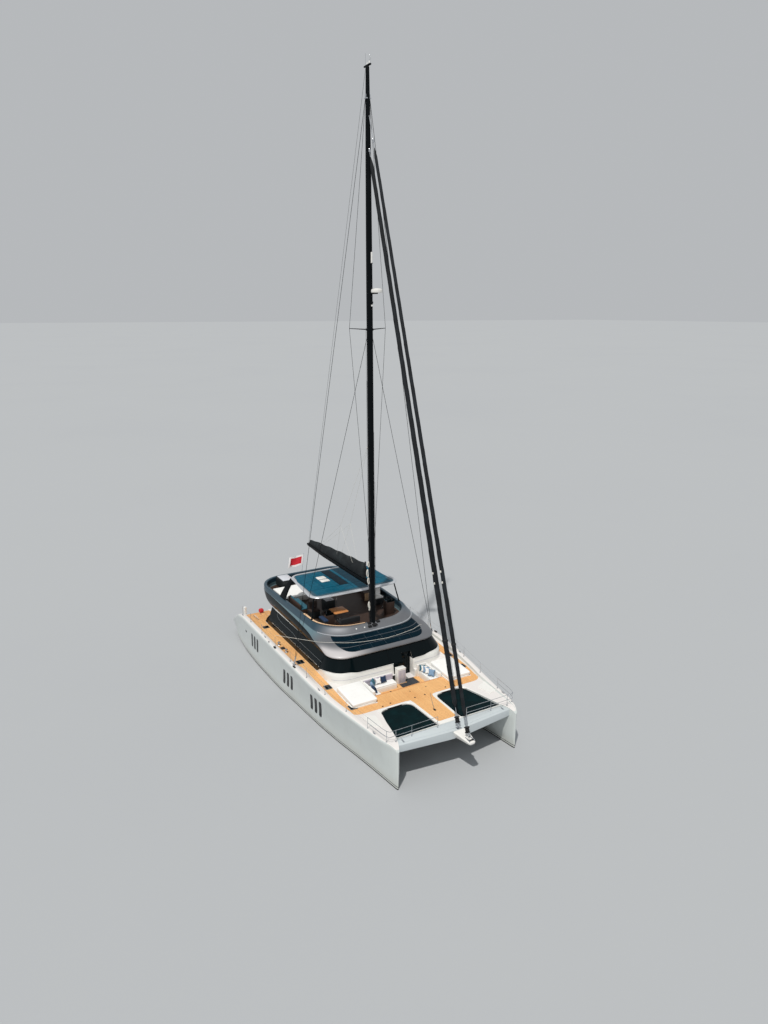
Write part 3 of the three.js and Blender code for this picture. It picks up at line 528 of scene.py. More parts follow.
# %% Weave group
def make_weave():
    tree, value, sink, place = new_group(
        "weave",
        ("Cloth Color", (0.8, 0.8, 0.8, 1.0)), ("Thread Color", (0.6, 0.6, 0.6, 1.0)),
        ("Threads", 400.0), ("Fading", 0.2), ("Roughness", 0.85))
    axes = node(tree, "SeparateXYZ", in_Vector=place)
    sway = number(tree, "ADD", axes.outputs["Y"], axes.outputs["Z"])
    warp = number(tree, "SINE", number(tree, "MULTIPLY", axes.outputs["X"], value["Threads"]))
    weft = number(tree, "SINE", number(tree, "MULTIPLY", sway, value["Threads"]))
    height = number(tree, "MULTIPLY", warp, weft)
    cloud = noise(tree, place, 1.7, 4.0)
    faded = number(tree, "MULTIPLY", ramp(tree, cloud, 0.4, 0.7), value["Fading"])
    thread = number(tree, "ADD", faded, number(tree, "MULTIPLY", ramp(tree, height, 0.0, 1.0), 0.25))
    colour = blend_colour(tree, thread, value["Cloth Color"], value["Thread Color"])
    rough = number(tree, "ADD", value["Roughness"],
                   number(tree, "MULTIPLY", number(tree, "SUBTRACT", cloud, 0.5), 0.1))
    return put_out(tree, sink, colour, rough, height)


WEAVE = make_weave()
print("group:", WEAVE.name)

# %% [markdown]
# The brow and the hardtop carry flexible solar panels: dark blue square cells with thin pale
# lines between them. A brick texture would offset its rows, so plain saw-teeth of x and y are
# used, and each cell gets its own slight tone.

# %% Solar cell group
def make_cells():
    tree, value, sink, place = new_group(
        "solar cells",
        ("Cell Color", (0.01, 0.02, 0.05, 1.0)), ("Other Color", (0.02, 0.04, 0.09, 1.0)),
        ("Line Color", (0.25, 0.28, 0.32, 1.0)), ("Cell Size", 0.16), ("Panel Size", 1.0),
        ("Roughness", 0.15))
    axes = node(tree, "SeparateXYZ", in_Vector=place)
    lines = []
    numbers = []
    for size, width in (("Cell Size", 0.035), ("Panel Size", 0.012)):
        for axis in ("X", "Y"):
            along = number(tree, "DIVIDE", axes.outputs[axis], value[size])
            whole = number(tree, "FLOOR", along)
            numbers.append(whole)
            lines.append(number(tree, "LESS_THAN", number(tree, "SUBTRACT", along, whole), width))
    cell = node(tree, "CombineXYZ", in_0=numbers[0], in_1=numbers[1]).outputs[0]
    tone = node(tree, "TexWhiteNoise", noise_dimensions="2D", in_Vector=cell).outputs[0]
    cloud = noise(tree, place, 0.8, 3.0)
    shift = number(tree, "ADD", number(tree, "MULTIPLY", tone, 0.45),
                   number(tree, "MULTIPLY", cloud, 0.55))
    cells = blend_colour(tree, shift, value["Cell Color"], value["Other Color"])
    thin = number(tree, "MULTIPLY", number(tree, "MAXIMUM", lines[0], lines[1]), 0.35)
    wide = number(tree, "MAXIMUM", lines[2], lines[3])
    line = number(tree, "MAXIMUM", thin, wide)
    colour = blend_colour(tree, line, cells, value["Line Color"])
    rough = number(tree, "ADD", value["Roughness"], number(tree, "MULTIPLY", cloud, 0.12))
    return put_out(tree, sink, colour, rough, line)


CELLS = make_cells()
print("group:", CELLS.name)

# %% [markdown]
# A finish puts one of these groups into a material with its own values. What is the same all
# over the surface, such as metal or coat, is set on the shader itself, and only colours,
# roughness and height that vary come from the group.

# %% Finish helpers
def new_material(name, group, values, metallic=0.0, coat=0.0, bump=0.1, reach=0.001, **uniform):
    material = bpy.data.materials.new(name)
    material.use_nodes = True
    tree = material.node_tree
    shader = tree.nodes["Principled BSDF"]
    source = node(tree, "Group", node_tree=group)
    for label, value in values.items():
        source.inputs[label].default_value = value
    tree.links.new(source.outputs["Color"], shader.inputs["Base Color"])
    tree.links.new(source.outputs["Roughness"], shader.inputs["Roughness"])
    raised = node(tree, "Bump", in_Strength=bump, in_Distance=reach, in_Height=source.outputs["Height"])
    tree.links.new(raised.outputs[0], shader.inputs["Normal"])
    shader.inputs["Metallic"].default_value = metallic
    shader.inputs["Coat Weight"].default_value = coat
    for label, value in uniform.items():
        shader.inputs[label.replace("_", " ")].default_value = value
    return material


def inside(material):
    """Node tree, shader and group node of a finish."""
    tree = material.node_tree
    return tree, tree.nodes["Principled BSDF"], tree.nodes["Group"]


def painted(name, colour, worn, rough=0.4, spread_by=0.1, mottle=0.3, runs=0.0, wear=0.2, scale=0.8,
            grain=60.0, **more):
    return new_material(name, WEATHERING, {
        "Base Color": colour, "Worn Color": worn, "Mottle": mottle, "Runs": runs,
        "Edge Wear": wear, "Scale": scale, "Grain Size": grain, "Roughness": rough,
        "Roughness Spread": spread_by}, **more)


def woven(name, colour, thread, threads=400.0, fading=0.2, rough=0.85, **more):
    return new_material(name, WEAVE, {
        "Cloth Color": colour, "Thread Color": thread, "Threads": threads, "Fading": fading,
        "Roughness": rough}, **more)


# %% Gelcoat, paint, wood, glass and metal
gelcoat = painted("white gelcoat", shade(233, 232, 228), shade(216, 212, 205), rough=0.22,
                  mottle=0.22, runs=0.1, wear=0.0, scale=0.5, coat=0.3, bump=0.02)
nonskid = painted("non-skid deck", shade(222, 218, 218), shade(202, 197, 194), rough=0.6,
                  mottle=0.3, wear=0.15, grain=260.0, bump=0.35, reach=0.002)
dark_silver = painted("dark blue silver", shade(58, 92, 106), shade(44, 72, 86), rough=0.4,
                      mottle=0.3, wear=0.15, scale=1.0, grain=900.0, metallic=0.3, bump=0.03)
dark_cover = painted("dark seat shell", shade(26, 30, 32), shade(48, 52, 54), rough=0.5, mottle=0.4,
                     wear=0.2, scale=2.5, grain=300.0, bump=0.1, Specular_IOR_Level=0.3)
# A lighter copy of the silver for the brow crease and the hardtop rim: a painted highlight.
silver_with_painted_highlight = painted("bright silver", shade(198, 201, 206), shade(176, 180, 186),
                        rough=0.3, mottle=0.3, wear=0.1, grain=900.0, metallic=0.4, coat=0.4, bump=0.03)
lilac_grey = painted("lilac grey", shade(186, 183, 194), shade(168, 165, 177), rough=0.35, mottle=0.3,
                     wear=0.05, scale=1.5, bump=0.02, coat=0.2)
# The crossbeam's face and top are greyer copies of the white gelcoat and the non-skid: painted shade.
beam_paint_painted_shade = painted("beam paint", shade(196, 204, 207), shade(176, 184, 186), rough=0.25, mottle=0.25,
                     runs=0.1, wear=0.0, scale=0.5, coat=0.3, bump=0.02)
beam_deck_painted_shade = painted("beam deck", shade(190, 187, 186), shade(168, 165, 164), rough=0.6, mottle=0.3,
                    wear=0.15, grain=260.0, bump=0.35, reach=0.002)
grey_trim = painted("grey trim", shade(112, 118, 122), shade(84, 90, 94), rough=0.4, metallic=0.3)
antifouling = painted("antifouling", shade(24, 27, 31), shade(52, 57, 58), rough=0.75, mottle=0.6,
                      wear=0.4, scale=1.6, grain=180.0, bump=0.3)
black_glass = painted("tinted glass", shade(5, 14, 17), shade(12, 24, 27), rough=0.06,
                      spread_by=0.03, mottle=0.35, wear=0.0, scale=0.35, bump=0.0,
                      Specular_IOR_Level=0.14)
carbon = painted("carbon spar", shade(7, 11, 14), shade(18, 23, 27), rough=0.48, mottle=0.3,
                 wear=0.3, scale=0.5, grain=300.0, bump=0.04, Specular_IOR_Level=0.08)
steel = painted("polished steel", shade(214, 217, 221), shade(160, 163, 168), rough=0.2, mottle=0.3,
                metallic=1.0, grain=200.0, bump=0.05)
bronze = painted("cast bronze", shade(160, 122, 70), shade(92, 84, 56), rough=0.35, mottle=0.6,
                 metallic=0.9, scale=6.0, bump=0.1)
dark_floor = painted("flybridge floor", shade(58, 44, 38), shade(78, 62, 54), rough=0.55, mottle=0.5,
                     wear=0.1, scale=1.2, grain=220.0, bump=0.25, Specular_IOR_Level=0.3)
black_rubber = painted("black rubber", shade(16, 17, 19), shade(42, 43, 45), rough=0.6, mottle=0.4,
                       wear=0.3, scale=3.0, Specular_IOR_Level=0.3)
engine_paint = painted("engine enamel", shade(136, 142, 148), shade(78, 76, 70), rough=0.45,
                       mottle=0.5, wear=0.7, scale=4.0, metallic=0.2, bump=0.15)
rope_white = painted("white rope", shade(222, 220, 212), shade(150, 150, 148), rough=0.85, mottle=0.5,
                     wear=0.0, scale=9.0, grain=420.0, bump=0.6, reach=0.002)
rope_dark = painted("dark rope", shade(36, 38, 42), shade(80, 82, 84), rough=0.85, mottle=0.5,
                    wear=0.0, scale=9.0, grain=420.0, bump=0.6, reach=0.002)
screen = painted("display", shade(30, 88, 132), shade(12, 32, 56), rough=0.12, mottle=0.8,
                 wear=0.0, scale=5.0, bump=0.0, coat=0.4)
bar_white = painted("pale worktop", shade(206, 209, 216), shade(186, 190, 200), rough=0.25, mottle=0.5,
                    wear=0.0, scale=3.0, bump=0.02, coat=0.3)
lamp_white = painted("lamp lens", shade(240, 240, 236), shade(214, 214, 206), rough=0.15, mottle=0.3,
                     wear=0.0, scale=8.0, bump=0.0, coat=0.4)
teak = new_material("laid teak", PLANKING, {
    "Wood Color": shade(212, 153, 94), "Pale Color": shade(238, 188, 128),
    "Caulk Color": shade(112, 82, 58), "Plank Width": 0.062, "Seam Share": 0.09,
    "Roughness": 0.62}, bump=0.3, reach=0.002, Specular_IOR_Level=0.3)
table_wood = new_material("table teak", PLANKING, {
    "Wood Color": shade(186, 118, 64), "Pale Color": shade(214, 150, 92),
    "Caulk Color": shade(84, 54, 32), "Plank Width": 0.11, "Seam Share": 0.04,
    "Roughness": 0.4}, bump=0.15, coat=0.15)
pale_teak = new_material("bleached teak", PLANKING, {
    "Wood Color": shade(222, 178, 134), "Pale Color": shade(238, 204, 168),
    "Caulk Color": shade(160, 120, 84), "Plank Width": 0.14, "Seam Share": 0.03,
    "Roughness": 0.5}, bump=0.2)
# The hardtop's cells are a lighter teal than the brow's: partly their own blue, partly painted reflection
# of a teal sea.
cells = new_material("solar panel", CELLS, {
    "Cell Color": shade(0, 62, 84), "Other Color": shade(2, 94, 118),
    "Line Color": shade(48, 108, 126), "Cell Size": 0.165, "Panel Size": 0.98,
    "Roughness": 0.3}, bump=0.1, Specular_IOR_Level=0.06)
dark_cells = new_material("dark solar panel", CELLS, {
    "Cell Color": shade(1, 17, 26), "Other Color": shade(5, 30, 42),
    "Line Color": shade(28, 54, 66), "Cell Size": 0.165, "Panel Size": 0.98,
    "Roughness": 0.32}, bump=0.1, Specular_IOR_Level=0.05)
hull_glass = painted("hull window glass", shade(3, 7, 9), shade(7, 13, 15), rough=0.08, mottle=0.35,
                     wear=0.0, scale=0.35, bump=0.0, Specular_IOR_Level=0.1)
print("materials:", len(bpy.data.materials))

# %% Cloth, canvas and cushion covers
vinyl = woven("white vinyl", shade(238, 238, 236), shade(219, 217, 213), 520.0, bump=0.12)
brown_cloth = woven("brown upholstery", shade(46, 34, 30), shade(68, 54, 48), 460.0, bump=0.2)
navy_cloth = woven("navy cloth", shade(20, 44, 74), shade(40, 68, 98), 460.0, bump=0.2)
teal_cloth = woven("teal cloth", shade(42, 94, 112), shade(74, 124, 140), 460.0, bump=0.2)
blue_cloth = woven("blue cloth", shade(118, 148, 178), shade(156, 180, 202), 460.0, bump=0.2)
# A mauve-grey cloth for the lounge's aft backrest: painted shade on a white back.
mauve_cloth_painted_shade = woven("mauve cloth", shade(176, 168, 180), shade(192, 185, 195), 460.0, bump=0.2)
black_cloth = woven("black vinyl", shade(24, 26, 29), shade(42, 45, 48), 460.0, bump=0.2)
red_cover = woven("red cover", shade(200, 44, 50), shade(150, 30, 34), 460.0, bump=0.2)
canvas = woven("dark canvas", shade(22, 26, 29), shade(52, 60, 62), 300.0, fading=0.5, bump=0.2,
               Specular_IOR_Level=0.3)
sun_strip = woven("sail cover cloth", shade(17, 20, 24), shade(38, 44, 50), 260.0, fading=0.5,
                  rough=0.75, bump=0.25, Specular_IOR_Level=0.3)
netting = woven("deck net", shade(2, 22, 25), shade(10, 46, 50), 110.0, fading=0.3, rough=0.85,
                bump=0.7, reach=0.004, Specular_IOR_Level=0.1)
mat_cloth = woven("deck mat", shade(46, 50, 56), shade(76, 80, 84), 380.0, fading=0.3, bump=0.5)
ensign_red = woven("ensign red", shade(206, 36, 50), shade(178, 26, 42), 620.0, fading=0.4, bump=0.2)
ensign_white = woven("ensign white", shade(238, 234, 234), shade(214, 210, 212), 620.0, bump=0.2)
print("materials:", len(bpy.data.materials))

# %% [markdown]
# The topsides are white, with a thin dark line over the waterline and black bottom paint below.
# Two materials with an edge between their faces would need the mesh to follow the line. Reading
# the height in the material keeps the line level on any mesh.

# %% Hull paint
BOTTOM_PAINT_TOP = 0.07
STRIPE = (0.15, 0.19)


def make_hull_paint():
    # The base colour is a cool grey-green rather than white: painted shade, with a tint of light bounced
    # from the sea, on the sides of the hulls.
    material = painted("hull paint", shade(206, 212, 210), shade(186, 188, 184), rough=0.2,
                       mottle=0.25, runs=0.16, wear=0.0, scale=0.4, coat=0.35, bump=0.02)
    tree, shader, source = inside(material)
    height = node(tree, "SeparateXYZ", in_Vector=node(tree, "TexCoord").outputs["Object"]).outputs["Z"]
    below = number(tree, "LESS_THAN", height, BOTTOM_PAINT_TOP)
    line = number(tree, "MULTIPLY", number(tree, "GREATER_THAN", height, STRIPE[0]),
                  number(tree, "LESS_THAN", height, STRIPE[1]))
    dark = number(tree, "MAXIMUM", below, line)
    # Up-facing faces, the decks among them, are blended toward a lighter white: painted light on the
    # tops, against the painted shade on the sides.
    up_facing_for_painted_light = node(tree, "SeparateXYZ", in_Vector=node(tree, "NewGeometry").outputs["Normal"]).outputs["Z"]
    deck = blend_colour(tree, ramp(tree, up_facing_for_painted_light, 0.72, 0.9), source.outputs["Color"],
                        shade(228, 224, 221))
    stain = number(tree, "SUBTRACT", 1.0, ramp(tree, height, 0.1, 0.75))
    tinted = blend_colour(tree, number(tree, "MULTIPLY", stain, 0.3), deck, shade(172, 170, 154))
    colour = blend_colour(tree, dark, tinted, shade(22, 24, 28))
    tree.links.new(colour, shader.inputs["Base Color"])
    rough = number(tree, "ADD", source.outputs["Roughness"], number(tree, "MULTIPLY", below, 0.45))
    tree.links.new(rough, shader.inputs["Roughness"])
    return material


hull_paint = make_hull_paint()


def make_roof_paint():
    """Silver in front, a painted highlight on the starboard front corner, and on the sides a dark painted
    reflection over a painted highlight band.
    """
    material = painted("roof silver", shade(124, 126, 130), shade(98, 100, 106), rough=0.4,
                       mottle=0.3, wear=0.1, scale=0.9, grain=900.0, metallic=0.6, coat=0.35, bump=0.03)
    tree, shader, source = inside(material)
    place = node(tree, "SeparateXYZ", in_Vector=node(tree, "TexCoord").outputs["Object"]).outputs
    ahead = ramp(tree, place["X"], 0.4, 2.0)
    upper = ramp(tree, place["Z"], 4.595, 4.625)
    # Painted light on the flanks: a light band low on the side is a painted highlight along the shoulder,
    # and the dark blue above it is painted reflection of a dark sea.
    flank_reflection_and_highlight = blend_colour(tree, upper, shade(122, 152, 162), shade(54, 82, 98))
    colour = blend_colour(tree, ahead, flank_reflection_and_highlight, source.outputs["Color"])
    # A lighter, less metallic patch on the lower starboard front corner only is a painted highlight where
    # the sun glints.
    below = number(tree, "SUBTRACT", 1.0, ramp(tree, place["Z"], 4.16, 4.36))
    across = number(tree, "MULTIPLY", place["Y"], -1.0)
    light = number(tree, "MULTIPLY", number(tree, "MULTIPLY", ramp(tree, place["X"], 1.7, 2.7),
                                            ramp(tree, across, 0.6, 2.9)), below)
    colour = blend_colour(tree, light, colour, shade(190, 186, 187))
    tree.links.new(colour, shader.inputs["Base Color"])
    metal = number(tree, "MULTIPLY", number(tree, "SUBTRACT", 1.0, light), 0.6)
    tree.links.new(metal, shader.inputs["Metallic"])
    return material


roof_silver = make_roof_paint()
print("hull and roof paint ready")

# %% [markdown]
# ## Floor and light
# A pale floor lies at the waterline. The light is a studio copy of a high sun on the starboard
# bow: one sun lamp, three times as wide as the real sun, so that shadows have a soft edge, and
# an even pale world. The lamp alone would leave black holes under the roof.

# %% Floor, world and sun
REACH = 1600.0
floor_paint = painted("pale floor", shade(174, 177, 180), shade(170, 173, 177), rough=0.95,
                      mottle=0.3, wear=0.0, scale=0.02, bump=0.0, Specular_IOR_Level=0.0)
floor_corners = [(x, y, 0) for x, y in rectangle(-REACH, REACH, -REACH, REACH)]
floor_mesh = mesh_from("floor", [(floor_corners, [(0, 1, 2, 3)], 0)], [floor_paint])
floor = bpy.data.objects.new("floor", floor_mesh)
bpy.context.scene.collection.objects.link(floor)

world = bpy.data.worlds.new("studio")
bpy.context.scene.world = world
world.use_nodes = True
sky = world.node_tree.nodes["Background"].inputs
sky["Color"].default_value = (0.94, 0.97, 1.0, 1.0)
sky["Strength"].default_value = 0.5
bpy.context.scene.view_settings.view_transform = "Standard"

sun = bpy.data.objects.new("sun", bpy.data.lights.new("sun", "SUN"))
sun.data.energy = 2.7
sun.data.angle = math.radians(1.5)
sun.data.color = (1.0, 0.97, 0.92)
sun_from = Vector((0.40, -0.44, 1.0))
sun.matrix_world = (-sun_from).to_track_quat("-Z", "Y").to_matrix().to_4x4()
bpy.context.scene.collection.objects.link(sun)
print("sun height:", round(math.degrees(math.atan2(sun_from.z, sun_from.xy.length))), "degrees")

# %% [markdown]
# ## Hulls
# Each hull is drawn the way a designer lofts one: a table of stations gives the keel, the turn
# of the bilge, the half breadths and the heights of gunwale and deck. A monotone cubic runs
# through each column, so that there can be as many sections as the eye needs. Subdividing the
# CAD solid would round off the plumb bow and the stern steps, so the skin is lofted again.

# %% Hull lines
HULL_Y = 3.85
HULL_STATIONS = [
    # x, keel, bilge, bilge outer, bilge inner, deck outer, deck inner, gunwale, deck
    (-11.65, 0.34, 0.52, 0.42, 0.42, 0.48, 0.48, 0.8, 0.74),
    (-11.35, 0.22, 0.45, 0.7, 0.69, 0.87, 0.83, 1.0, 0.9),
    (-10.7, 0.06, 0.33, 0.9, 0.83, 1.13, 0.94, 1.4, 1.27),
    (-9.7, -0.15, 0.2, 1.04, 0.9, 1.3, 0.99, 2.05, 1.9),
    (-8.6, -0.33, 0.09, 1.12, 0.93, 1.4, 0.99, 2.6, 2.42),
    (-7.4, -0.5, 0.04, 1.2, 0.95, 1.46, 0.99, 2.8, 2.62),
    (-5.0, -0.74, 0, 1.27, 0.96, 1.51, 0.99, 2.87, 2.71),
    (-2.0, -0.88, 0, 1.25, 0.96, 1.51, 0.99, 2.88, 2.72),
    (1.4, -0.92, 0, 1.06, 0.94, 1.47, 0.99, 2.85, 2.69),
    (3.8, -0.92, 0, 0.92, 0.85, 1.37, 0.99, 2.745, 2.58),
    (6.1, -0.9, 0, 0.7, 0.66, 1.15, 0.99, 2.63, 2.46),
    (7.9, -0.87, 0, 0.46, 0.46, 0.86, 0.99, 2.555, 2.4),
    (9.2, -0.84, 0, 0.3, 0.3, 0.66, 0.73, 2.52, 2.41),
    (10.4, -0.8, 0, 0.17, 0.17, 0.49, 0.49, 2.5, 2.43),
    (11.15, -0.72, 0, 0.095, 0.095, 0.27, 0.27, 2.47, 2.43),
    (11.52, -0.56, 0, 0.055, 0.055, 0.125, 0.125, 2.34, 2.31),
    (11.65, -0.25, 0, 0.03, 0.03, 0.06, 0.06, 2.19, 2.17),
]
STEM = (11.60, 11.65)


def lines_at(x):
    """All columns of the table at x, in metres."""
    return [column(HULL_STATIONS, k, x) for k in range(1, 9)]


def deck_z(x):
    return lines_at(x)[7]


def hull_inner_y(x):
    """Inner edge of the port hull's deck."""
    return HULL_Y - lines_at(x)[5]


def gunwale_at(x):
    """Outer edge and height of the gunwale of the port hull."""
    columns = lines_at(x)
    return HULL_Y + columns[4], columns[6]


def hull_section(x):
    keel, bilge, bilge_out, bilge_in, deck_out, deck_in, gunwale, deck = lines_at(x)
    pinch = 1.0
    if x > STEM[0]:
        pinch = 0.12 + 0.88 * math.sqrt(max(0.0, 1 - ((x - STEM[0]) / (STEM[1] - STEM[0])) ** 2))
    flare = deck_out - bilge_out
    side = gunwale - bilge
    margin = min(0.46, deck_out * 0.5)
    knuckle = min(1.0, bilge + (deck - bilge) * 0.5)
    angles = [math.radians(a) for a in range(0, 91, 10)]
    section = [(bilge_out * math.sin(a), bilge + (keel - bilge) * math.cos(a)) for a in angles]
    wall = path_through([
        (bilge_out, bilge, 0), (bilge_out + flare * 0.2, bilge + side * 0.35, 0),
        (bilge_out + flare * 0.68, bilge + side * 0.74, 0),
        (deck_out, gunwale - side * 0.05, 0)], 4)
    section += [(p[0], p[1]) for p in wall[1:]]
    shoulder = (deck_out, gunwale - side * 0.05)
    top = (deck_out - margin * 0.32, gunwale)
    for t in (0.25, 0.5, 0.75, 1.0):
        a, b = (1 - t) ** 2, 2 * t * (1 - t)
        section.append((a * shoulder[0] + b * deck_out + t * t * top[0],
                        a * shoulder[1] + b * gunwale + t * t * gunwale))
    section += [(deck_out - margin * 0.7, gunwale), (deck_out - margin * 0.82, gunwale - 0.012),
                (deck_out - margin * 0.93, deck + 0.02), (deck_out - margin, deck)]
    section += [(-deck_in, deck), (-deck_in, knuckle),
                (-bilge_in - (deck_in - bilge_in) * 0.2, bilge + (knuckle - bilge) * 0.4)]
    section += [(-bilge_in * math.sin(a), bilge + (keel - bilge) * math.cos(a))
                for a in reversed(angles[1:])]
    return [(x, HULL_Y + y * pinch, z) for y, z in section]


hull_x = spread(-11.65, -8.0, 26) + spread(-7.8, 7.8, 40) + spread(7.95, 11.5, 24)
hull_x += [11.54, 11.57, 11.60, 11.62, 11.635, 11.645, 11.65]
print("hull sections:", len(hull_x), "points in each:", len(hull_section(0.0)))

# %% [markdown]
# Steps lead down each stern toward the waterline, and a hatch in the aft deck opens on the
# engine bay. Both are cut out of the lofted skin with Boolean modifiers, which is how a boatyard
# thinks of them too: a fair hull first, and then the openings.

# %% Cut the stern steps and the engine bay
STERN_STEPS = [(-8.7, 2.15), (-9.15, 1.83), (-9.6, 1.51), (-10.05, 1.19), (-10.5, 0.87), (-10.95, 0.56)]
STEP_Y = (3.02, 4.52)
BAY = ((-8.1, 3.3, 0.26), (-6.5, 4.4, 2.4))
HATCH = {"x0": -7.9, "x1": -6.8, "y0": 3.4, "y1": 4.3, "top": 2.625, "thick": 0.06, "land": 0.05,
         "play": 0.005}


def cutter(name, form):
    thing = bpy.data.objects.new(name, mesh_from(name, [form], []))
    bpy.context.scene.collection.objects.link(thing)
    return thing


def carve(thing, tools):
    """Subtract each tool from a mesh and keep the result as its mesh."""
    for tool in tools:
        modifier = thing.modifiers.new("cut", "BOOLEAN")
        modifier.operation = "DIFFERENCE"
        modifier.solver = "EXACT"
        modifier.object = tool
    settle(thing)
    for tool in tools:
        bpy.data.objects.remove(tool)


def stair_outline():
    outline = [(-12.6, 4.0), (STERN_STEPS[0][0], 4.0)]
    for i, (x, z) in enumerate(STERN_STEPS):
        outline.append((x, z))
        after = STERN_STEPS[i + 1][0] if i + 1 < len(STERN_STEPS) else -12.6
        outline.append((after, z))
    return outline


def hull_cutters(side):
    land = HATCH["top"] - HATCH["thick"]
    x0, x1, y0, y1 = HATCH["x0"], HATCH["x1"], HATCH["y0"], HATCH["y1"]
    inset, play = HATCH["land"], HATCH["play"]
    forms = [
        prism(stair_outline(), STEP_Y[0], STEP_Y[1], soft=0, axis="y"),
        box(BAY[0], BAY[1], soft=0),
        box((x0 + inset, y0 + inset, 2.3), (x1 - inset, y1 - inset, 4.0), soft=0),
        box((x0 - play, y0 - play, land), (x1 + play, y1 + play, 4.0), soft=0),
    ]
    return [cutter(f"cut_{i}", form) for i, form in enumerate(on_side(side, *forms))]


for name, side in SIDES:
    skin = loft([hull_section(x) for x in hull_x])
    hull = piece(f"hull_skin_{name}", on_side(side, skin), [hull_paint], slot="gelcoat",
                 replaces=[f"hull_{name}"])
    carve(hull, hull_cutters(side))
    hull.data.set_sharp_from_angle(angle=math.radians(32))
    round_edges(hull, 0.012, angle=48)
    print(hull.name, "faces:", len(hull.data.polygons))

# %% [markdown]
# Three groups of three raked windows light each hull. They are flush dark panes, bonded in from
# outside, so each is a thin slab that stands 4 mm proud of the topsides and follows their curve.

# %% Hull windows and portholes
WINDOW_GROUPS = [
    # top x of the first pane, top z, bottom z
    (-5.74, 2.21, 1.06), (-0.13, 1.95, 0.78), (3.64, 1.96, 0.75),
]
PANE_WIDTH = 0.30
PANE_PITCH = 0.53
PANE_RAKE = 0.42


def topside_y(x, z):
    """Outside of the port hull at x and height z."""
    section = [(y, h) for _, y, h in hull_section(x)]
    best = HULL_Y
    for (y0, z0), (y1, z1) in zip(section, section[1:]):
        if min(z0, z1) <= z <= max(z0, z1) and abs(z1 - z0) > 1e-6:
            best = max(best, y0 + (y1 - y0) * (z - z0) / (z1 - z0))
    return best


def topside_pane(x_top, z_top, z_bottom):
    def place(u, v, layer):
        z = mix(z_bottom, z_top, v)
        pull = 0.05 * (max(0.0, abs(2 * v - 1) - 0.86) / 0.14) ** 2
        x = x_top - PANE_RAKE * (1 - v) + (u - 0.5) * (PANE_WIDTH - 2 * pull)
        return x, topside_y(x, z) + (0.004 if layer else -0.03), z
    return plate(place, 6, 12)


panes = [topside_pane(x_top + k * PANE_PITCH, z_top, z_bottom)
         for x_top, z_top, z_bottom in WINDOW_GROUPS for k in range(3)]
porthole = lathe([(0.11, -0.02), (0.11, 0.006), (0.095, 0.01), (0.001, 0.01)],
                 (-7.2, topside_y(-7.2, 1.85), 1.85), axis=(0, 1, 0.05), sides=28)
pair("hull_windows", panes + [porthole], [hull_glass], slot="glass")
print("hull windows:", 2 * 3 * len(WINDOW_GROUPS))

# %% [markdown]
# ## Below the waterline
# Keels, rudders, shafts and propellers are hidden by the floor but stay in the model. Their CAD
# shapes are right, so they keep their solids and only get their finish. Bottom paint covers the
# keels and rudders, and the propellers are cast bronze.

# %% Finishes for the CAD solids that stay
def dress(node_name, material):
    """Give a CAD node its finish."""
    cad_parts[node_name].material_slots[0].material = material


for name, _ in SIDES:
    dress(f"keel_{name}", antifouling)
    dress(f"rudder_{name}", antifouling)
    dress(f"shaft_{name}", steel)
    dress(f"propeller_{name}", bronze)
    dress(f"engine_{name}", engine_paint)
dress("bridgedeck", nonskid)
print("dressed:", len(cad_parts), "nodes in the frame")

# %% [markdown]
# ## Decks
# The teak is laid in panels that follow the crown and sheer of the deck and stop short of the
# edges. Each panel is a thin strip between an inner and an outer edge, built section by section,
# because a flat slab would sink into the deck where the sheer rises.

# %% Deck strip helper
def strip(xs, inner, outer, height, thick=0.012, columns=6, index=0):
    """A thin slab between two edges y = inner(x) and y = outer(x), on z = height(x, y)."""
    rings = []
    for x in xs:
        ys = spread(inner(x), outer(x), columns + 1)
        top = [(x, y, height(x, y)) for y in ys]
        low = [(x, y, height(x, y) - thick - 0.03) for y in reversed(ys)]
        rings.append(top + low)
    return loft(rings, index)


# %% Side decks
CABIN_FOOT = 4.09
FOREDECK_Z = 2.40
TEAK_UP = 0.010


def deck_surface(x, y):
    """Height of the deck at x and y (port), from the hull decks to the foredeck between them."""
    hull_part = smoothstep(2.72, 2.95, abs(y))
    return mix(FOREDECK_Z, deck_z(min(x, 11.4)), hull_part) + TEAK_UP


def side_teak_outer(x):
    wide = gunwale_at(x)[0] - min(0.46, lines_at(x)[4] * 0.5) - 0.015
    narrow = 4.66 - 0.03 * (x - 2.0)
    t = smoothstep(0.7, 1.7, x)
    return min(wide, mix(wide, narrow, t))


def side_teak_inner(x):
    aft = smoothstep(-6.5, -6.15, x)
    return mix(2.93, CABIN_FOOT, aft)


side_x = spread(-8.62, -6.5, 9) + spread(-6.4, -6.1, 5) + spread(-5.8, 0.6, 16) + spread(0.8, 1.8, 8)
side_x += spread(2.1, 7.1, 14)
hatch_hole = box((HATCH["x0"] - 0.02, HATCH["y0"] - 0.02, 2.0),
                 (HATCH["x1"] + 0.02, HATCH["y1"] + 0.02, 4.0), soft=0)
side_strip = strip(side_x, side_teak_inner, side_teak_outer, deck_surface)
for name, side in SIDES:
    panel = piece(f"side_deck_teak_{name}", on_side(side, side_strip), [teak], slot="teak")
    carve(panel, [cutter("cut", on_side(side, hatch_hole)[0])])
print("side deck teak from", round(side_x[0], 2), "to", round(side_x[-1], 2))

# %% [markdown]
# The foredeck teak reaches from hull to hull ahead of the lounge and runs on down the central
# walkway. Its front edge stays back from the net openings, where a white moulded rim shows.

# %% Foredeck, walkway and stern treads
NET_X = (7.9, 10.7)
LOUNGE_FRONT = 6.35
TEAK_FRONT = 7.73
CORNER = 0.34


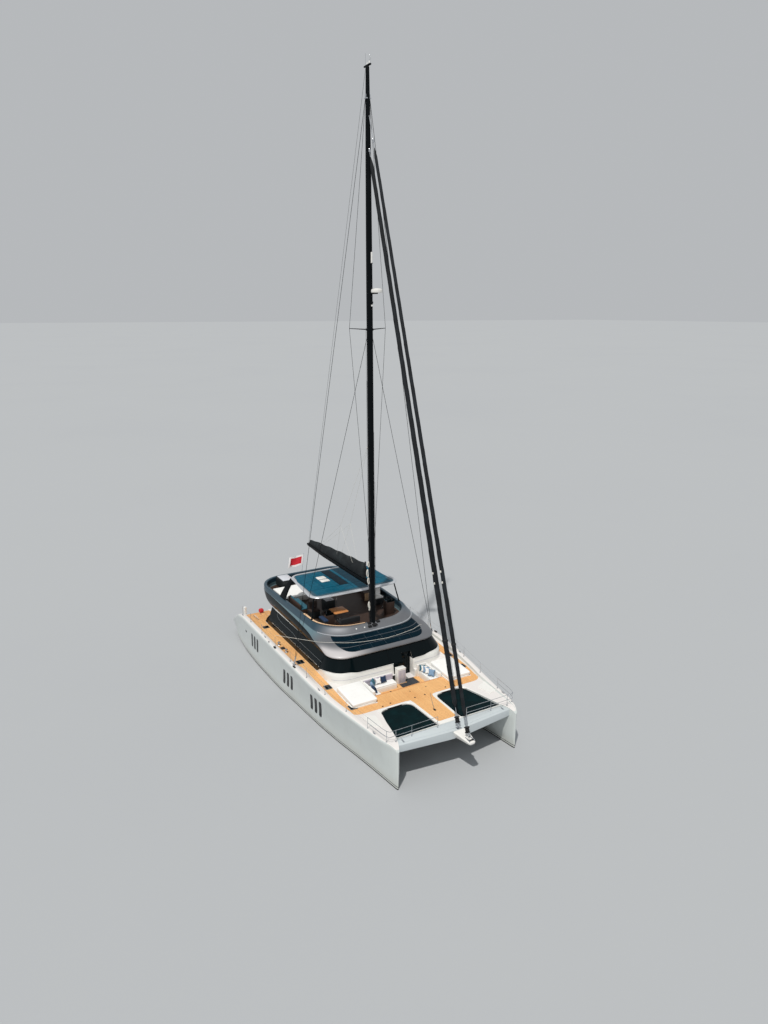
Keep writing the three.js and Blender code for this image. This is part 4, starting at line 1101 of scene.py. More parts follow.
def foredeck_outer(x):
    """Outboard edge of the teak, rounded off toward the net."""
    t = max(0.0, min(1.0, (x - 7.15) / (TEAK_FRONT - 7.15)))
    return 4.44 - 0.62 * (1 - math.sqrt(1 - t * t))


def walkway_edge(x):
    """The teak flares where the walkway meets the foredeck, and is round at its front end."""
    d = max(0.0, min(CORNER, x - TEAK_FRONT))
    flare = CORNER - math.sqrt(CORNER ** 2 - (CORNER - d) ** 2)
    tip = max(0.0, (x - 10.33) / 0.12)
    return 0.68 - 0.036 * (x - 7.9) + flare - 0.1 * (1 - math.sqrt(max(0.0, 1 - tip * tip)))


foredeck_x = spread(7.1, 7.5, 4) + spread(7.55, TEAK_FRONT, 7)
fore_strip = strip(foredeck_x, lambda x: 0.0, foredeck_outer, deck_surface, columns=16)
lounge_strip = strip(spread(LOUNGE_FRONT + 0.03, 7.1, 5), lambda x: 0.0,
                     lambda x: 2.46, deck_surface, columns=8)
walk_x = spread(TEAK_FRONT, TEAK_FRONT + CORNER, 10) + spread(8.3, 10.3, 6) + spread(10.34, 10.45, 5)
walk_strip = strip(walk_x, lambda x: 0.0, walkway_edge, lambda x, y: FOREDECK_Z + TEAK_UP, columns=4)
piece("foredeck_teak", both(fore_strip, lounge_strip, walk_strip), [teak], slot="teak")

treads = []
for i, (x, z) in enumerate(STERN_STEPS):
    back = STERN_STEPS[i + 1][0] if i + 1 < len(STERN_STEPS) else -11.3
    outer = min(STEP_Y[1] - 0.05, topside_y(back, max(z - 0.1, 0.4)) - 0.12)
    treads.append(prism(rounded(rectangle(back + 0.05, x - 0.03, 3.08, outer), 0.05, 4),
                        z - 0.01, z + 0.012, soft=0.003))
pair("stern_step_teak", treads, [teak], slot="teak")
cockpit_sole = prism(rounded(rectangle(-8.66, -4.72, -2.62, 2.62), 0.12), 1.79, 1.812, soft=0.003)
aft_shelf = prism(rounded(rectangle(-8.86, -8.72, -1.62, 1.62), 0.03), 2.39, 2.412, soft=0.003)
saloon_sole = prism(rectangle(-4.58, 3.86, -2.62, 2.62), 1.79, 1.808, soft=0.002)
piece("cockpit_sole", [cockpit_sole, aft_shelf], [teak], slot="teak")
piece("saloon_sole", [saloon_sole], [table_wood], slot="teak")
print("stern treads:", 2 * len(treads))

# %% [markdown]
# The wet deck meets the hulls in long fillets on a real boat, and the front of the foredeck
# carries a rounded lip. These two mouldings hide the sharp corner between the CAD solids.

# %% Fillets under the bridgedeck
def fillet_strip():
    rings = []
    for x in spread(-8.0, 6.25, 24):
        inner = hull_inner_y(x)
        ring = [(x, inner + 0.06, 1.0)]
        for k in range(7):
            angle = math.radians(15 * k)
            ring.append((x, inner - 0.28 + 0.28 * math.sin(angle),
                         0.78 + 0.28 * (1 - math.cos(math.pi / 2 - angle))))
        ring.append((x, inner - 0.28, 1.1))
        ring.append((x, inner + 0.06, 1.1))
        rings.append(ring)
    return loft(rings)


piece("wet_deck_fillets", both(fillet_strip()), [hull_paint], slot="gelcoat")

# %% [markdown]
# ## Crossbeam, bowsprit and nets
# The front crossbeam ties the bows together and carries the foot of the headsails. It is a white
# box section with well rounded edges. The prism is rounded with more steps than usual, since its
# long highlight is easy to see from the front.

# %% Crossbeam and walkway
BEAM_OUTLINE = [(10.7, -3.46), (11.3, -3.68), (11.62, -0.45), (11.62, 0.45), (11.3, 3.68), (10.7, 3.46)]
beam = prism(rounded(BEAM_OUTLINE, [0.0, 0.0, 0.3, 0.3, 0.0, 0.0]), 1.9, 2.37, soft=0.075, steps=5)
beam_cap = prism(rounded([(10.78, -3.4), (11.16, -3.5), (11.42, -0.5), (11.42, 0.5), (11.16, 3.5),
                          (10.78, 3.4)],
                         0.05), 2.36, 2.385, soft=0.01)
piece("crossbeam_moulding", [beam, beam_cap], [beam_paint_painted_shade, beam_deck_painted_shade],
      slot="gelcoat", replaces=["front_crossbeam"])

walk_outline = [(7.9, -0.85), (10.72, -0.75), (10.72, 0.75), (7.9, 0.85)]
piece("walkway_moulding", [prism(walk_outline, 1.85, 2.4, soft=0.04, steps=4)], [gelcoat],
      slot="gelcoat", replaces=["walkway"])


def sprit_ring(x, half, low, high):
    corners = [(-half, high), (-half * 0.72, low), (half * 0.72, low), (half, high),
               (half * 0.6, high + 0.02), (-half * 0.6, high + 0.02)]
    return [(x, y, z) for y, z in rounded(corners, 0.05, 4)]


sprit = loft([sprit_ring(11.55, 0.44, 1.95, 2.33), sprit_ring(12.1, 0.34, 1.99, 2.26),
              sprit_ring(12.68, 0.23, 2.02, 2.19), sprit_ring(12.74, 0.2, 2.04, 2.175),
              sprit_ring(12.76, 0.17, 2.06, 2.16)])
piece("bowsprit_moulding", [sprit], [gelcoat], slot="gelcoat", replaces=["bowsprit"], sharp=50)
print("crossbeam from x", BEAM_OUTLINE[0][0], "to", BEAM_OUTLINE[2][0])

# %% [markdown]
# Two nets fill the gaps between the hulls and the walkway. Each is laced tight in a white rim
# with rounded corners. The net is one cloth sheet, stretched and a little slack in the middle,
# and the rim is a flat ring made as a strip between the opening and the rounded line.

# %% Trampoline nets and their rims
NET_ROUND = [0.5, 0.16, 0.14, 0.8, 0.55]


def net_corners(inset):
    x0, x1 = NET_X[0] + inset, NET_X[1] - inset
    return [(x0, 0.85 + inset), (x1, 0.76 + inset), (x1, hull_inner_y(x1) - inset),
            (9.2, hull_inner_y(9.2) - inset), (x0, hull_inner_y(x0) - inset)]


def net_form(sag=0.03, cells=26):
    """A grid over the opening, drawn in from the rounded corners and hanging a little."""
    points = []
    for i in range(cells + 1):
        u = i / cells
        x = mix(NET_X[0], NET_X[1], u)
        lo, hi = mix(0.85, 0.75, u), hull_inner_y(x)
        for j in range(cells + 1):
            v = j / cells
            drop = sag * math.sin(math.pi * u) * math.sin(math.pi * v)
            points.append((x, mix(lo, hi, v), 2.318 - drop))
    return points, grid_faces(cells, cells), 0


def rim_form():
    """The opening's edge, and a rounded line inside it, joined by a raised rim."""
    line = rounded(net_corners(0.0), NET_ROUND, 10)
    middle = Vector((sum(p[0] for p in line) / len(line), sum(p[1] for p in line) / len(line)))
    rings = []
    for point in line:
        here = Vector(point)
        out = (here - middle).normalized()
        edge_x = NET_X[0] - 0.1 if out.x < 0 else NET_X[1] + 0.06
        reach = []
        if abs(out.x) > 1e-6:
            reach.append((edge_x - here.x) / out.x)
        if out.y < 0:
            reach.append((0.72 - here.y) / out.y)
        else:
            reach.append((hull_inner_y(min(11.0, max(7.8, here.x))) + 0.07 - here.y) / out.y)
        far = here + out * max(0.02, min(r for r in reach if r > 0))
        rings.append([(here.x, here.y, 2.30), (here.x, here.y, 2.385),
                      (here.x + out.x * 0.03, here.y + out.y * 0.03, 2.412),
                      (far.x, far.y, 2.414), (far.x, far.y, 2.30)])
    rings.append(rings[0])
    return loft(rings, caps=False, weld=True)


def lacing_form():
    """A light line that goes to and fro between the net and the rim."""
    line = rounded(net_corners(-0.01), NET_ROUND, 10)
    inner = rounded(net_corners(0.08), NET_ROUND, 10)
    points = []
    for (a, b), (c, d) in zip(zip(line, line[1:] + line[:1]), zip(inner, inner[1:] + inner[:1])):
        length = (Vector(b) - Vector(a)).length
        count = max(1, int(length / 0.13))
        for k in range(count):
            t = k / count
            points.append((mix(a[0], b[0], t), mix(a[1], b[1], t), 2.332))
            t = (k + 0.5) / count
            points.append((mix(c[0], d[0], t), mix(c[1], d[1], t), 2.328))
    return tube(points, 0.005, 5, closed=True)


for name, side in SIDES:
    net = piece(f"net_{name}", on_side(side, net_form()), [netting], slot="net",
                replaces=[f"trampoline_{name}"])
    flat_width = hull_inner_y(9.2) - 0.8
    piece(f"net_rim_{name}", on_side(side, rim_form()), [gelcoat], slot="gelcoat", sharp=40)
    piece(f"net_lacing_{name}", on_side(side, lacing_form()), [rope_dark], slot="gelcoat")
print("net flat size:", round(flat_width, 2), "by", NET_X[1] - NET_X[0])

# %% [markdown]
# ## Saloon walls and glass
# From the deck up the saloon is nearly all dark glass. It wraps from the aft wings round both
# front corners, and white coaming rises under it in a sweep from the side decks to the front
# sill. One outline with rounded corners, given at each height, describes wall, glass and trim.

# %% Rounded plan outlines
CORNER_STEPS = 14


def plan(front, half, aft, aft_half, round_front, round_aft, nose=0.06, grow=0.0):
    """A rounded outline from the middle of the front, over port, aft and starboard."""
    front, half, aft, aft_half = front + grow, half + grow, aft - grow, aft_half + grow
    round_front, round_aft = round_front + grow, max(0.004, round_aft + grow)
    flat = half - round_front
    outline = []
    for k in range(9):
        y = flat * k / 8
        outline.append((front + nose * (1 - (y / flat) ** 2), y))
    for k in range(1, CORNER_STEPS + 1):
        angle = math.pi / 2 * k / CORNER_STEPS
        outline.append((front - round_front + round_front * math.cos(angle),
                        half - round_front + round_front * math.sin(angle)))
    start = (front - round_front, half)
    end = (aft + round_aft, aft_half)
    for k in range(1, 20):
        outline.append((mix(start[0], end[0], k / 20), mix(start[1], end[1], k / 20)))
    for k in range(CORNER_STEPS + 1):
        angle = math.pi / 2 * (1 + k / CORNER_STEPS)
        outline.append((aft + round_aft + round_aft * math.cos(angle),
                        aft_half - round_aft + round_aft * math.sin(angle)))
    port = outline[1:]
    return outline + [(x, -y) for x, y in reversed(port)]


WALL_LEVELS = [(1.5, 4.70, 4.12), (3.06, 4.42, 4.05), (3.84, 3.90, 3.68)]
CABIN_AFT = -6.3


def wall_plan(z, grow=0.0):
    front = mix_levels(WALL_LEVELS, z, 1)
    half = mix_levels(WALL_LEVELS, z, 2)
    return plan(front, half, CABIN_AFT, half, 1.15, 0.01, grow=grow)


def mix_levels(levels, z, column):
    """Straight between the levels, as the flat glass is."""
    zs = [row[0] for row in levels]
    i = max(0, min(len(zs) - 2, bisect.bisect_right(zs, z) - 1))
    t = (z - zs[i]) / (zs[i + 1] - zs[i])
    return mix(levels[i][column], levels[i + 1][column], t)


print("points in a wall outline:", len(wall_plan(3.0)))

# %% [markdown]
# The wall itself is a shell 100 mm thick, cut for the front door, the windows and the raked aft
# wings. The black band is bonded on its outside as separate panes with narrow joints, so every
# pane follows the same outline, a centimetre further out.

# %% Cabin wall shell
DOOR = {"y0": 0.8, "y1": 1.5, "z1": 3.45}
WALL_ROWS = [1.75, 2.1, 2.4, 2.7, 2.9, 3.06, 3.25, 3.45, 3.65, 3.838]


def wing_cutter():
    outline = [(-6.9, 1.5), (-6.9, 4.2), (-5.2, 4.2), (-5.2, 4.0), (-6.3, 2.66), (-6.32, 2.0),
               (-6.32, 1.5)]
    return prism(outline, -5.2, 5.2, soft=0, axis="y")


outer_skin = loft([[(x, y, z) for x, y in wall_plan(z)] for z in WALL_ROWS])
inner_rows = [WALL_ROWS[0] - 0.1] + WALL_ROWS[1:-1] + [WALL_ROWS[-1] + 0.1]
inner_skin = loft([[(x, y, z) for x, y in wall_plan(min(z, 3.84), -0.1)] for z in inner_rows])
walls = piece("cabin_wall_shell", [outer_skin], [gelcoat, carbon],
              slot="gelcoat", replaces=["cabin_walls"])
carve(walls, [cutter("cut", inner_skin),
              cutter("cut", box((-7.5, -3.4, 1.0), (-6.0, 3.4, 4.5), soft=0)),
              cutter("cut", wing_cutter()),
              cutter("cut", box((3.3, DOOR["y0"], 1.5), (5.0, DOOR["y1"], DOOR["z1"] + 0.02), soft=0))])
walls.data.set_sharp_from_angle(angle=math.radians(30))
for face in walls.data.polygons:
    if face.center.x < -5.3 and face.center.z > 2.66:
        face.material_index = 1
print("wall faces:", len(walls.data.polygons))

# %% Glazing band
BAND_TOP = 3.832


def sill_height(x, y):
    """Lower edge of the black band: at the deck along the sides, sweeping up to the front sill."""
    if abs(y) < 3.0 and x > 3.0:
        return 3.06 + 0.10 * smoothstep(2.2, 3.0, abs(y))
    rise = [(-6.4, 2.70), (1.75, 2.70), (2.05, 2.80), (2.35, 2.98), (2.9, 3.11), (3.5, 3.17), (4.6, 3.16)]
    return column(rise, 1, x)


def outline_length(outline):
    lengths = [0.0]
    for a, b in zip(outline, outline[1:]):
        lengths.append(lengths[-1] + math.dist(a, b))
    return lengths


def on_outline(z, share, grow):
    """A point a given distance along the port half of the wall outline."""
    outline = wall_plan(z, grow)
    outline = outline[:len(outline) // 2 + 1]
    lengths = outline_length(outline)
    i = max(0, min(len(lengths) - 2, bisect.bisect_right(lengths, share) - 1))
    t = (share - lengths[i]) / (lengths[i + 1] - lengths[i])
    return mix(outline[i][0], outline[i + 1][0], t), mix(outline[i][1], outline[i + 1][1], t)


def band_panel(s0, s1, bottom, top, grow, columns=10):
    """A curved pane between two distances along the wall and two height functions."""
    def pane(u, v, layer):
        s = mix(s0, s1, u)
        x, y = on_outline(3.4, s, 0.0)
        z = mix(bottom(x, y), top(x, y), v)
        return (*on_outline(z, s, grow if layer else grow - 0.03), z)
    return plate(pane, columns, 8)


def share_at(test):
    """Distance along the outline, at z 3.4, of the first point that passes the test."""
    outline = wall_plan(3.4)
    outline = outline[:len(outline) // 2 + 1]
    lengths = outline_length(outline)
    for a, b, start, end in zip(outline, outline[1:], lengths, lengths[1:]):
        for k in range(20):
            t = k / 20
            if test(mix(a[0], b[0], t), mix(a[1], b[1], t)):
                return mix(start, end, t)
    return lengths[-1]


corner_share = share_at(lambda x, y: y > 2.95)
joints = [share_at(lambda x, y, e=edge: y > 3.0 and x < e) for edge in
          (2.75, 0.7, -1.5, -3.6, -5.2, -6.25)]
door_shares = [share_at(lambda x, y: y > DOOR["y0"]), share_at(lambda x, y: y > DOOR["y1"])]
BAND_GAP = 0.008


def band_forms(side):
    """Panes from the middle of the front to the aft wing, with the door left out on port."""
    shares = [0.0, corner_share] + joints
    if side > 0:
        shares = [0.0, door_shares[0] + 0.003, door_shares[1] - 0.003, corner_share] + joints
    forms = []
    for k, (a, b) in enumerate(zip(shares, shares[1:])):
        top = lambda x, y: BAND_TOP
        if k == len(shares) - 2:
            top = lambda x, y: min(BAND_TOP, 2.72 + max(0.0, x + 6.3) * 1.21)
        low = lambda x, y: min(sill_height(x, y), top(x, y) - 0.02)
        if side > 0 and k == 1:
            low = lambda x, y: DOOR["z1"] + 0.025
        columns = 16 if b - a > 2 else 10
        forms.append(band_panel(a + BAND_GAP, b - BAND_GAP, low, top, 0.014, columns))
        forms += recoloured(1, band_panel(a - 0.004, b + 0.004, low, top, 0.004, columns))
    beside_door = share_at(lambda x, y: y > 0.07)
    if side > 0:
        forms.append(band_panel(beside_door, door_shares[0] - 0.002, lambda x, y: 1.97,
                                lambda x, y: 3.062, 0.012))
    else:
        forms += recoloured(1, band_panel(0.10, 0.16, sill_height, lambda x, y: BAND_TOP, 0.0155))
    return on_side(side, *forms)


for name, side in SIDES:
    piece(f"glazing_band_{name}", band_forms(side), [black_glass, carbon], slot="glass",
          replaces=[f"side_glass_{name}", f"windscreen_{name}"], sharp=30)
print("joints of the glazing along the side:", [round(s, 2) for s in joints])

# %% [markdown]
# A thin grey line divides the side glass: it follows a transom in the structure behind. The
# front coaming has a rounded white lip under the glass, which catches the light and draws the
# sweep from the deck to the sill.

# %% Glass trim and coaming lip
TRIM_LINE = [(2.7, 3.38), (0.9, 3.38), (-0.9, 3.38), (-1.25, 3.42), (-1.55, 3.48), (-1.8, 3.5),
             (-3.6, 3.5), (-4.2, 3.54), (-4.6, 3.63), (-4.75, 3.73), (-4.62, 3.8)]


def side_point(x, z, grow):
    """Point of the port wall at x and z."""
    return x, mix_levels(WALL_LEVELS, z, 2) + grow, z


def coaming_lip():
    points = []
    lower = share_at(lambda x, y: y > 3.0 and x < 1.9)
    for s in spread(0.0, lower, 60):
        x, y = on_outline(3.4, s, 0.0)
        z = sill_height(x, y) - 0.012
        points.append((*on_outline(z, s, 0.012), z))
    return points


lip_line = coaming_lip()
for name, side in SIDES:
    trim = tube([side_point(x, z, 0.02) for x, z in TRIM_LINE], 0.012, 6)
    piece(f"glass_trim_{name}", on_side(side, trim), [grey_trim], slot="silver")
    cut = [i for i, p in enumerate(lip_line) if p[1] < DOOR["y1"] + 0.06]
    line = lip_line if side < 0 else lip_line[cut[-1] + 1:]
    lips = [tube(line, 0.02, 8)] + ([tube(lip_line[:2], 0.02, 8)] if side > 0 else [])
    piece(f"coaming_lip_{name}", on_side(side, *lips), [gelcoat], slot="gelcoat")
    # A thin lilac-grey line along the foot of the white front coaming is painted shade where the coaming
    # meets the benches.
    shade_line_start = 0.1 if side < 0 else door_shares[1] + 0.1
    seam = [on_outline(2.77, s, 0.003) for s in spread(shade_line_start, corner_share + 1.1, 40)]
    shade_line_tube = tube([(x, y, 2.77) for x, y in seam], 0.010, 6)
    piece(f"coaming_shade_line_{name}", on_side(side, shade_line_tube), [lilac_grey], slot="gelcoat")
print("coaming lip points:", len(lip_line))

# %% [markdown]
# ## Roof, brow and flybridge coaming
# One moulding in silver makes the lip over the glass, the sloping brow, the coaming round the
# flybridge and the well inside it. Its rings all have the same points, so a single loft can run
# up the outside, over the rounded coaming and down into the well. That gives clean highlights,
# where a cut solid would leave a hard rim.

# %% Roof moulding
ROOF_LEVELS = [
    # z, front, half, aft, aft half, front round, aft round
    (3.84, 3.96, 3.74, -8.15, 3.60, 1.15, 1.9),
    (3.95, 4.04, 3.79, -8.35, 3.64, 1.20, 1.9),
    (4.12, 3.88, 3.78, -8.60, 3.66, 1.40, 1.85),
    (4.60, 2.50, 3.53, -8.85, 3.66, 2.05, 1.8),
    (4.95, 2.12, 3.37, -8.85, 3.65, 2.30, 1.8),
]
FLY_WELL = (1.92, 3.16, -8.65, 3.45, 2.15, 1.6)
FLY_BASE = 4.3503      # where furniture stands, a hair above the floor of the well


def roof_sizes(z):
    return [column(ROOF_LEVELS, k, z) for k in range(1, 7)]


def roof_ring(z, grow=0.0, sizes=None):
    front, half, aft, aft_half, round_front, round_aft = sizes or roof_sizes(z)
    return [(x, y, z) for x, y in plan(front, half, aft, aft_half, round_front, round_aft, grow=grow)]


def well_ring(z, grow):
    return roof_ring(z, grow, sizes=FLY_WELL)


outside = [3.842, 3.86, 3.89, 3.92, 3.95, 3.98, 4.02, 4.07]
outside += spread(4.12, 4.60, 17) + [4.66, 4.74, 4.82, 4.88, 4.92]
rings = [roof_ring(3.84, -0.12)] + [roof_ring(z) for z in outside]
rings += [roof_ring(4.94, -0.012), roof_ring(4.948, -0.03), roof_ring(4.95, -0.05)]
rings += [well_ring(4.95, 0.05), well_ring(4.946, 0.025), well_ring(4.93, 0.006), well_ring(4.90, 0.0)]
rings += [well_ring(z, 0.0) for z in (4.75, 4.6, 4.45)]
rings += [well_ring(4.38, -0.01), well_ring(4.352, -0.04)]
roof = piece("roof_moulding", [loft(rings)], [roof_silver, carbon], slot="silver", replaces=["roof"],
             sharp=50)
for face in roof.data.polygons:
    face.use_smooth = True
    if face.center.z < 3.852:
        face.material_index = 1
fly_floor = prism([(p[0], p[1]) for p in well_ring(0.0, -0.045)], 4.345, 4.362, soft=0)
piece("flybridge_sole", [fly_floor], [dark_floor], slot="teak")
print("roof rings:", len(rings), "points in each:", len(rings[0]))

# %% [markdown]
# Along the sides a thin black skin covers the moulding from the glass up to a silver coaming, and
# the black ends in a slanting sweep at the front corner. A mask in the material could paint this, but
# the edge has to be crisp and curved, so the black is a skin laid over the silver.

# %% Black sides of the roof
SILVER_EDGE = [(-8.9, 4.62), (-6.4, 4.60), (-3.25, 4.50), (-1.07, 4.43), (0.1, 4.36), (0.6, 4.31),
               (1.21, 4.2), (2.23, 4.08), (2.81, 3.98), (3.3, 3.90), (3.45, 3.87)]
SIDE_LOW = 3.850
AFT_CORNER = 42


def roof_side(z, x, grow):
    """Point of the port side of the roof at height z and a place x."""
    ring = roof_ring(z, grow)[8:AFT_CORNER + 1]
    for a, b in zip(ring, ring[1:]):
        if b[0] <= x:
            t = max(0.0, (a[0] - x) / (a[0] - b[0]))
            return tuple(mix(p, q, t) for p, q in zip(a, b))
    return ring[-1]


def silver_edge(x):
    return column(SILVER_EDGE, 1, x)


def black_side(u, v, layer):
    x = mix(3.4, -6.2, u)
    z = mix(SIDE_LOW, silver_edge(x), v)
    return roof_side(z, x, 0.005 if layer else -0.02)


def black_quarter(u, v, layer):
    """From the side round the aft corner to the middle of the stern."""
    z = mix(SIDE_LOW, silver_edge(-6.2), v)
    ring = roof_ring(z, 0.005 if layer else -0.02)
    share = mix(AFT_CORNER, len(ring) // 2, max(0.0, u * 1.1 - 0.1))
    i = min(len(ring) // 2 - 1, int(share))
    end = tuple(mix(a, b, share - i) for a, b in zip(ring[i], ring[i + 1]))
    start = roof_side(z, mix(-6.2, ring[AFT_CORNER][0], min(1.0, u * 11)), 0.005 if layer else -0.02)
    return start if u < 1 / 11 else end


def black_stern(u, v, layer):
    """Across the flat middle of the stern."""
    ring = roof_ring(mix(SIDE_LOW, silver_edge(-6.2), v), 0.005 if layer else -0.02)
    middle = len(ring) // 2
    return tuple(mix(a, b, u) for a, b in zip(ring[middle], ring[middle + 1]))


piece("roof_black_sides", both(plate(black_side, 60, 12), plate(black_quarter, 44, 12))
      + [plate(black_stern, 12, 12)], [black_glass],
      slot="glass", sharp=50)
print("black sides end at x", SILVER_EDGE[-2][0])

# %% [markdown]
# Flexible solar panels are bonded on the sloping brow between a sharp crease and the lip over
# the glass. A teak cap runs along the inner edge of the coaming at the starboard front corner.
# All follow the rings of the moulding, a few millimetres proud.

# %% Brow panels, crease and coaming cap
def brow_at(z, y, grow):
    """Point of the front of the roof at height z and a place y, port."""
    ring = roof_ring(z, grow)
    for a, b in zip(ring, ring[1:]):
        if b[1] >= y:
            t = (y - a[1]) / (b[1] - a[1])
            return tuple(mix(p, q, t) for p, q in zip(a, b))


def brow_panel(start, end, low, high, index=0):
    """A panel between two places across the brow; the outermost ones follow a rounded edge."""
    def place(u, v, layer):
        z = mix(low, high, v)
        y = mix(start, end or column(PANEL_EDGE, 1, z), u)
        return brow_at(z, y, 0.006 if layer else -0.006)
    return plate(place, 12, 8, index)


PANEL_Z = (4.145, 4.288, 4.295, 4.430, 4.437, 4.572)
PANEL_EDGE = ((4.14, 2.15), (4.17, 2.48), (4.21, 2.70), (4.28, 2.88), (4.37, 2.99), (4.45, 3.0),
              (4.58, 2.92))
panels = []
for low, high in zip(PANEL_Z[::2], PANEL_Z[1::2]):
    panels.append(brow_panel(0.004, 0.992, low, high))
    panels.append(brow_panel(0.998, 1.795, low, high))
    panels.append(brow_panel(1.80, None, low, high))
piece("brow_panels", both(*panels), [dark_cells], slot="glass", sharp=60)
# The crease bead is in the lighter silver, a painted highlight along the crease.
crease = [brow_at(4.605, y, 0.0) for y in spread(0.0, 3.42, 60)]
crease_line = [(x, -y, z) for x, y, z in reversed(crease[1:])] + crease
piece("brow_crease", [tube(crease_line, 0.026, 8)], [silver_with_painted_highlight], slot="silver")
BROW_LINE = [(-3.5, -4.4, 2.79), (1.9, -3.72, 4.33), (2.28, -3.46, 4.40), (2.57, -3.13, 4.43),
             (2.80, -2.80, 4.44),
             (3.01, -2.39, 4.42), (3.17, -1.93, 4.40), (3.30, -1.31, 4.37), (3.39, -0.65, 4.35),
             (3.46, 0.16, 4.33), (3.44, 0.83, 4.34), (3.36, 1.48, 4.35), (3.23, 2.28, 4.37),
             (2.90, 3.0, 4.37), (2.60, 3.62, 4.22), (2.2, 3.95, 3.6), (1.7, 4.4, 2.82)]
piece("brow_line", [tube(BROW_LINE, 0.012, 6)], [rope_white], slot="silver")


def cap_form(points_from, points_to):
    """A flat teak cap over the coaming between two points of its outline."""
    outer = roof_ring(4.955, 0.115, sizes=FLY_WELL)
    inner = roof_ring(4.955, -0.02, sizes=FLY_WELL)
    rings = []
    for i in range(points_from, points_to + 1):
        a, b = outer[i], inner[i]
        wide = smoothstep(14, 20, i)
        a = tuple(mix(p, q, mix(0.35, 1.0, wide)) for p, q in zip(b, a))
        rings.append([(a[0], a[1], 4.935), (a[0], a[1], 4.968), (b[0], b[1], 4.968), (b[0], b[1], 4.935)])
    return loft(rings)


piece("coaming_cap", [mirror(cap_form(4, 25))], [pale_teak], slot="teak", bevel=0.006)
deck_lights = [lathe([(0.045, -0.03), (0.045, 0.012), (0.035, 0.02), (0.001, 0.02)],
                     brow_at(4.80, y, 0.0), axis=(0.7, 0, 0.7), sides=18) for y in (0.72, 1.28)]
foot_blocks = [box((2.06, y0, 4.88), (2.26, y1, 4.99), 0.02, 3, index=1) for y0, y1 in
               ((-0.42, -0.20), (0.20, 0.44))]
foot_blocks += [box((2.22, -0.17, 4.80), (2.46, 0.15, 4.90), 0.03, 3, index=1),
                box((2.26, -0.48, 4.78), (2.44, -0.24, 4.86), 0.02, 3, index=1)]
piece("coaming_fittings", [mirror(light) for light in deck_lights] + foot_blocks,
      [lamp_white, black_rubber], slot="steel")
print("brow panels:", 2 * len(panels))

# %% [markdown]
# ## Hardtop
# A second roof stands over the helms and seats on two round posts in front and two raked legs
# aft. Its top is one field of solar panels inside a silver rim, with two white skylights.

# %% Hardtop shell, posts and legs
HARDTOP = [(6.30, 0.06, 3.16, -4.56, 2.86, 0.70, 0.70), (6.36, 0.13, 3.23, -4.64, 2.93, 0.75, 0.75),
           (6.43, 0.06, 3.18, -4.60, 2.88, 0.75, 0.75)]


def hardtop_ring(z, grow=0.0):
    sizes = [column(HARDTOP, k, z) for k in range(1, 7)]
    return [(x, y, z) for x, y in plan(*sizes, nose=0.10, grow=grow)]


shell = [hardtop_ring(6.30, -0.10), hardtop_ring(6.30, -0.02), hardtop_ring(6.312), hardtop_ring(6.335),
         hardtop_ring(6.36), hardtop_ring(6.385), hardtop_ring(6.41), hardtop_ring(6.425, -0.015),
         hardtop_ring(6.43, -0.04), hardtop_ring(6.43, -0.16), hardtop_ring(6.422, -0.18)]
post = tube([(-0.10, 3.24, 4.951), (-0.22, 3.10, 5.6), (-0.35, 2.95, 6.33)], [0.045, 0.042, 0.042], 16)
post_foot = lathe([(0.09, 0.0), (0.09, 0.012), (0.06, 0.03), (0.048, 0.06)], (-0.10, 3.24, 4.951),
                  sides=20)
LEG_FOOT, LEG_HEAD = (-4.90, -4.00, 3.43), (-4.35, -3.85, 2.82)


def leg_form():
    rings = []
    for k in range(13):
        t = k / 12
        z = mix(4.951, 6.33, t)
        aft, fore, y = (mix(a, b, t) for a, b in zip(LEG_FOOT, LEG_HEAD))
        y += 0.06 * math.sin(math.pi * t)
        rings.append([(px, py, z)
                      for px, py in rounded(rectangle(aft, fore, y - 0.035, y + 0.035), 0.03, 3)])
    return loft(rings)


legs = recoloured(1, *both(leg_form(), post, post_foot))
piece("hardtop_shell", [loft(shell)] + legs, [silver_with_painted_highlight, carbon], slot="silver", replaces=["hardtop"],
      sharp=50)

# %% Hardtop panels and skylights
def field(x0, x1, y0, y1, z=6.432):
    """A thin crowned sheet for the top of the hardtop, between x0, x1 and y0, y1."""
    def place(u, v, layer):
        x = mix(x0, x1, v)
        outer = 1.0 - 0.10 * (1 - smoothstep(-4.3, -3.0, x))
        y = mix(y0, y1, u)
        if abs(y) > 2.0:
            y *= outer
        lift = 0.02 * max(0.0, 1 - (y / 3.2) ** 2) * max(0.0, 1 - ((x + 2.25) / 2.5) ** 2)
        return x, y, z + lift + (0.008 if layer else -0.01)
    return plate(place, 14, 10, 1)


top_plate = prism(rounded([(-4.40, -2.68), (-0.10, -3.00), (-0.10, 3.00), (-4.40, 2.68)], 0.5, 8),
                  6.415, 6.436, soft=0.004)
hardtop_fields = [field(-1.16, -0.30, -2.72, -0.012), field(-1.16, -0.30, 0.012, 2.72)]
for y0, y1 in ((-2.86, -1.765), (-1.745, -0.66), (0.02, 1.745), (1.765, 2.86)):
    hardtop_fields += [field(-2.72, -1.19, y0, y1), field(-4.22, -2.74, y0, y1)]
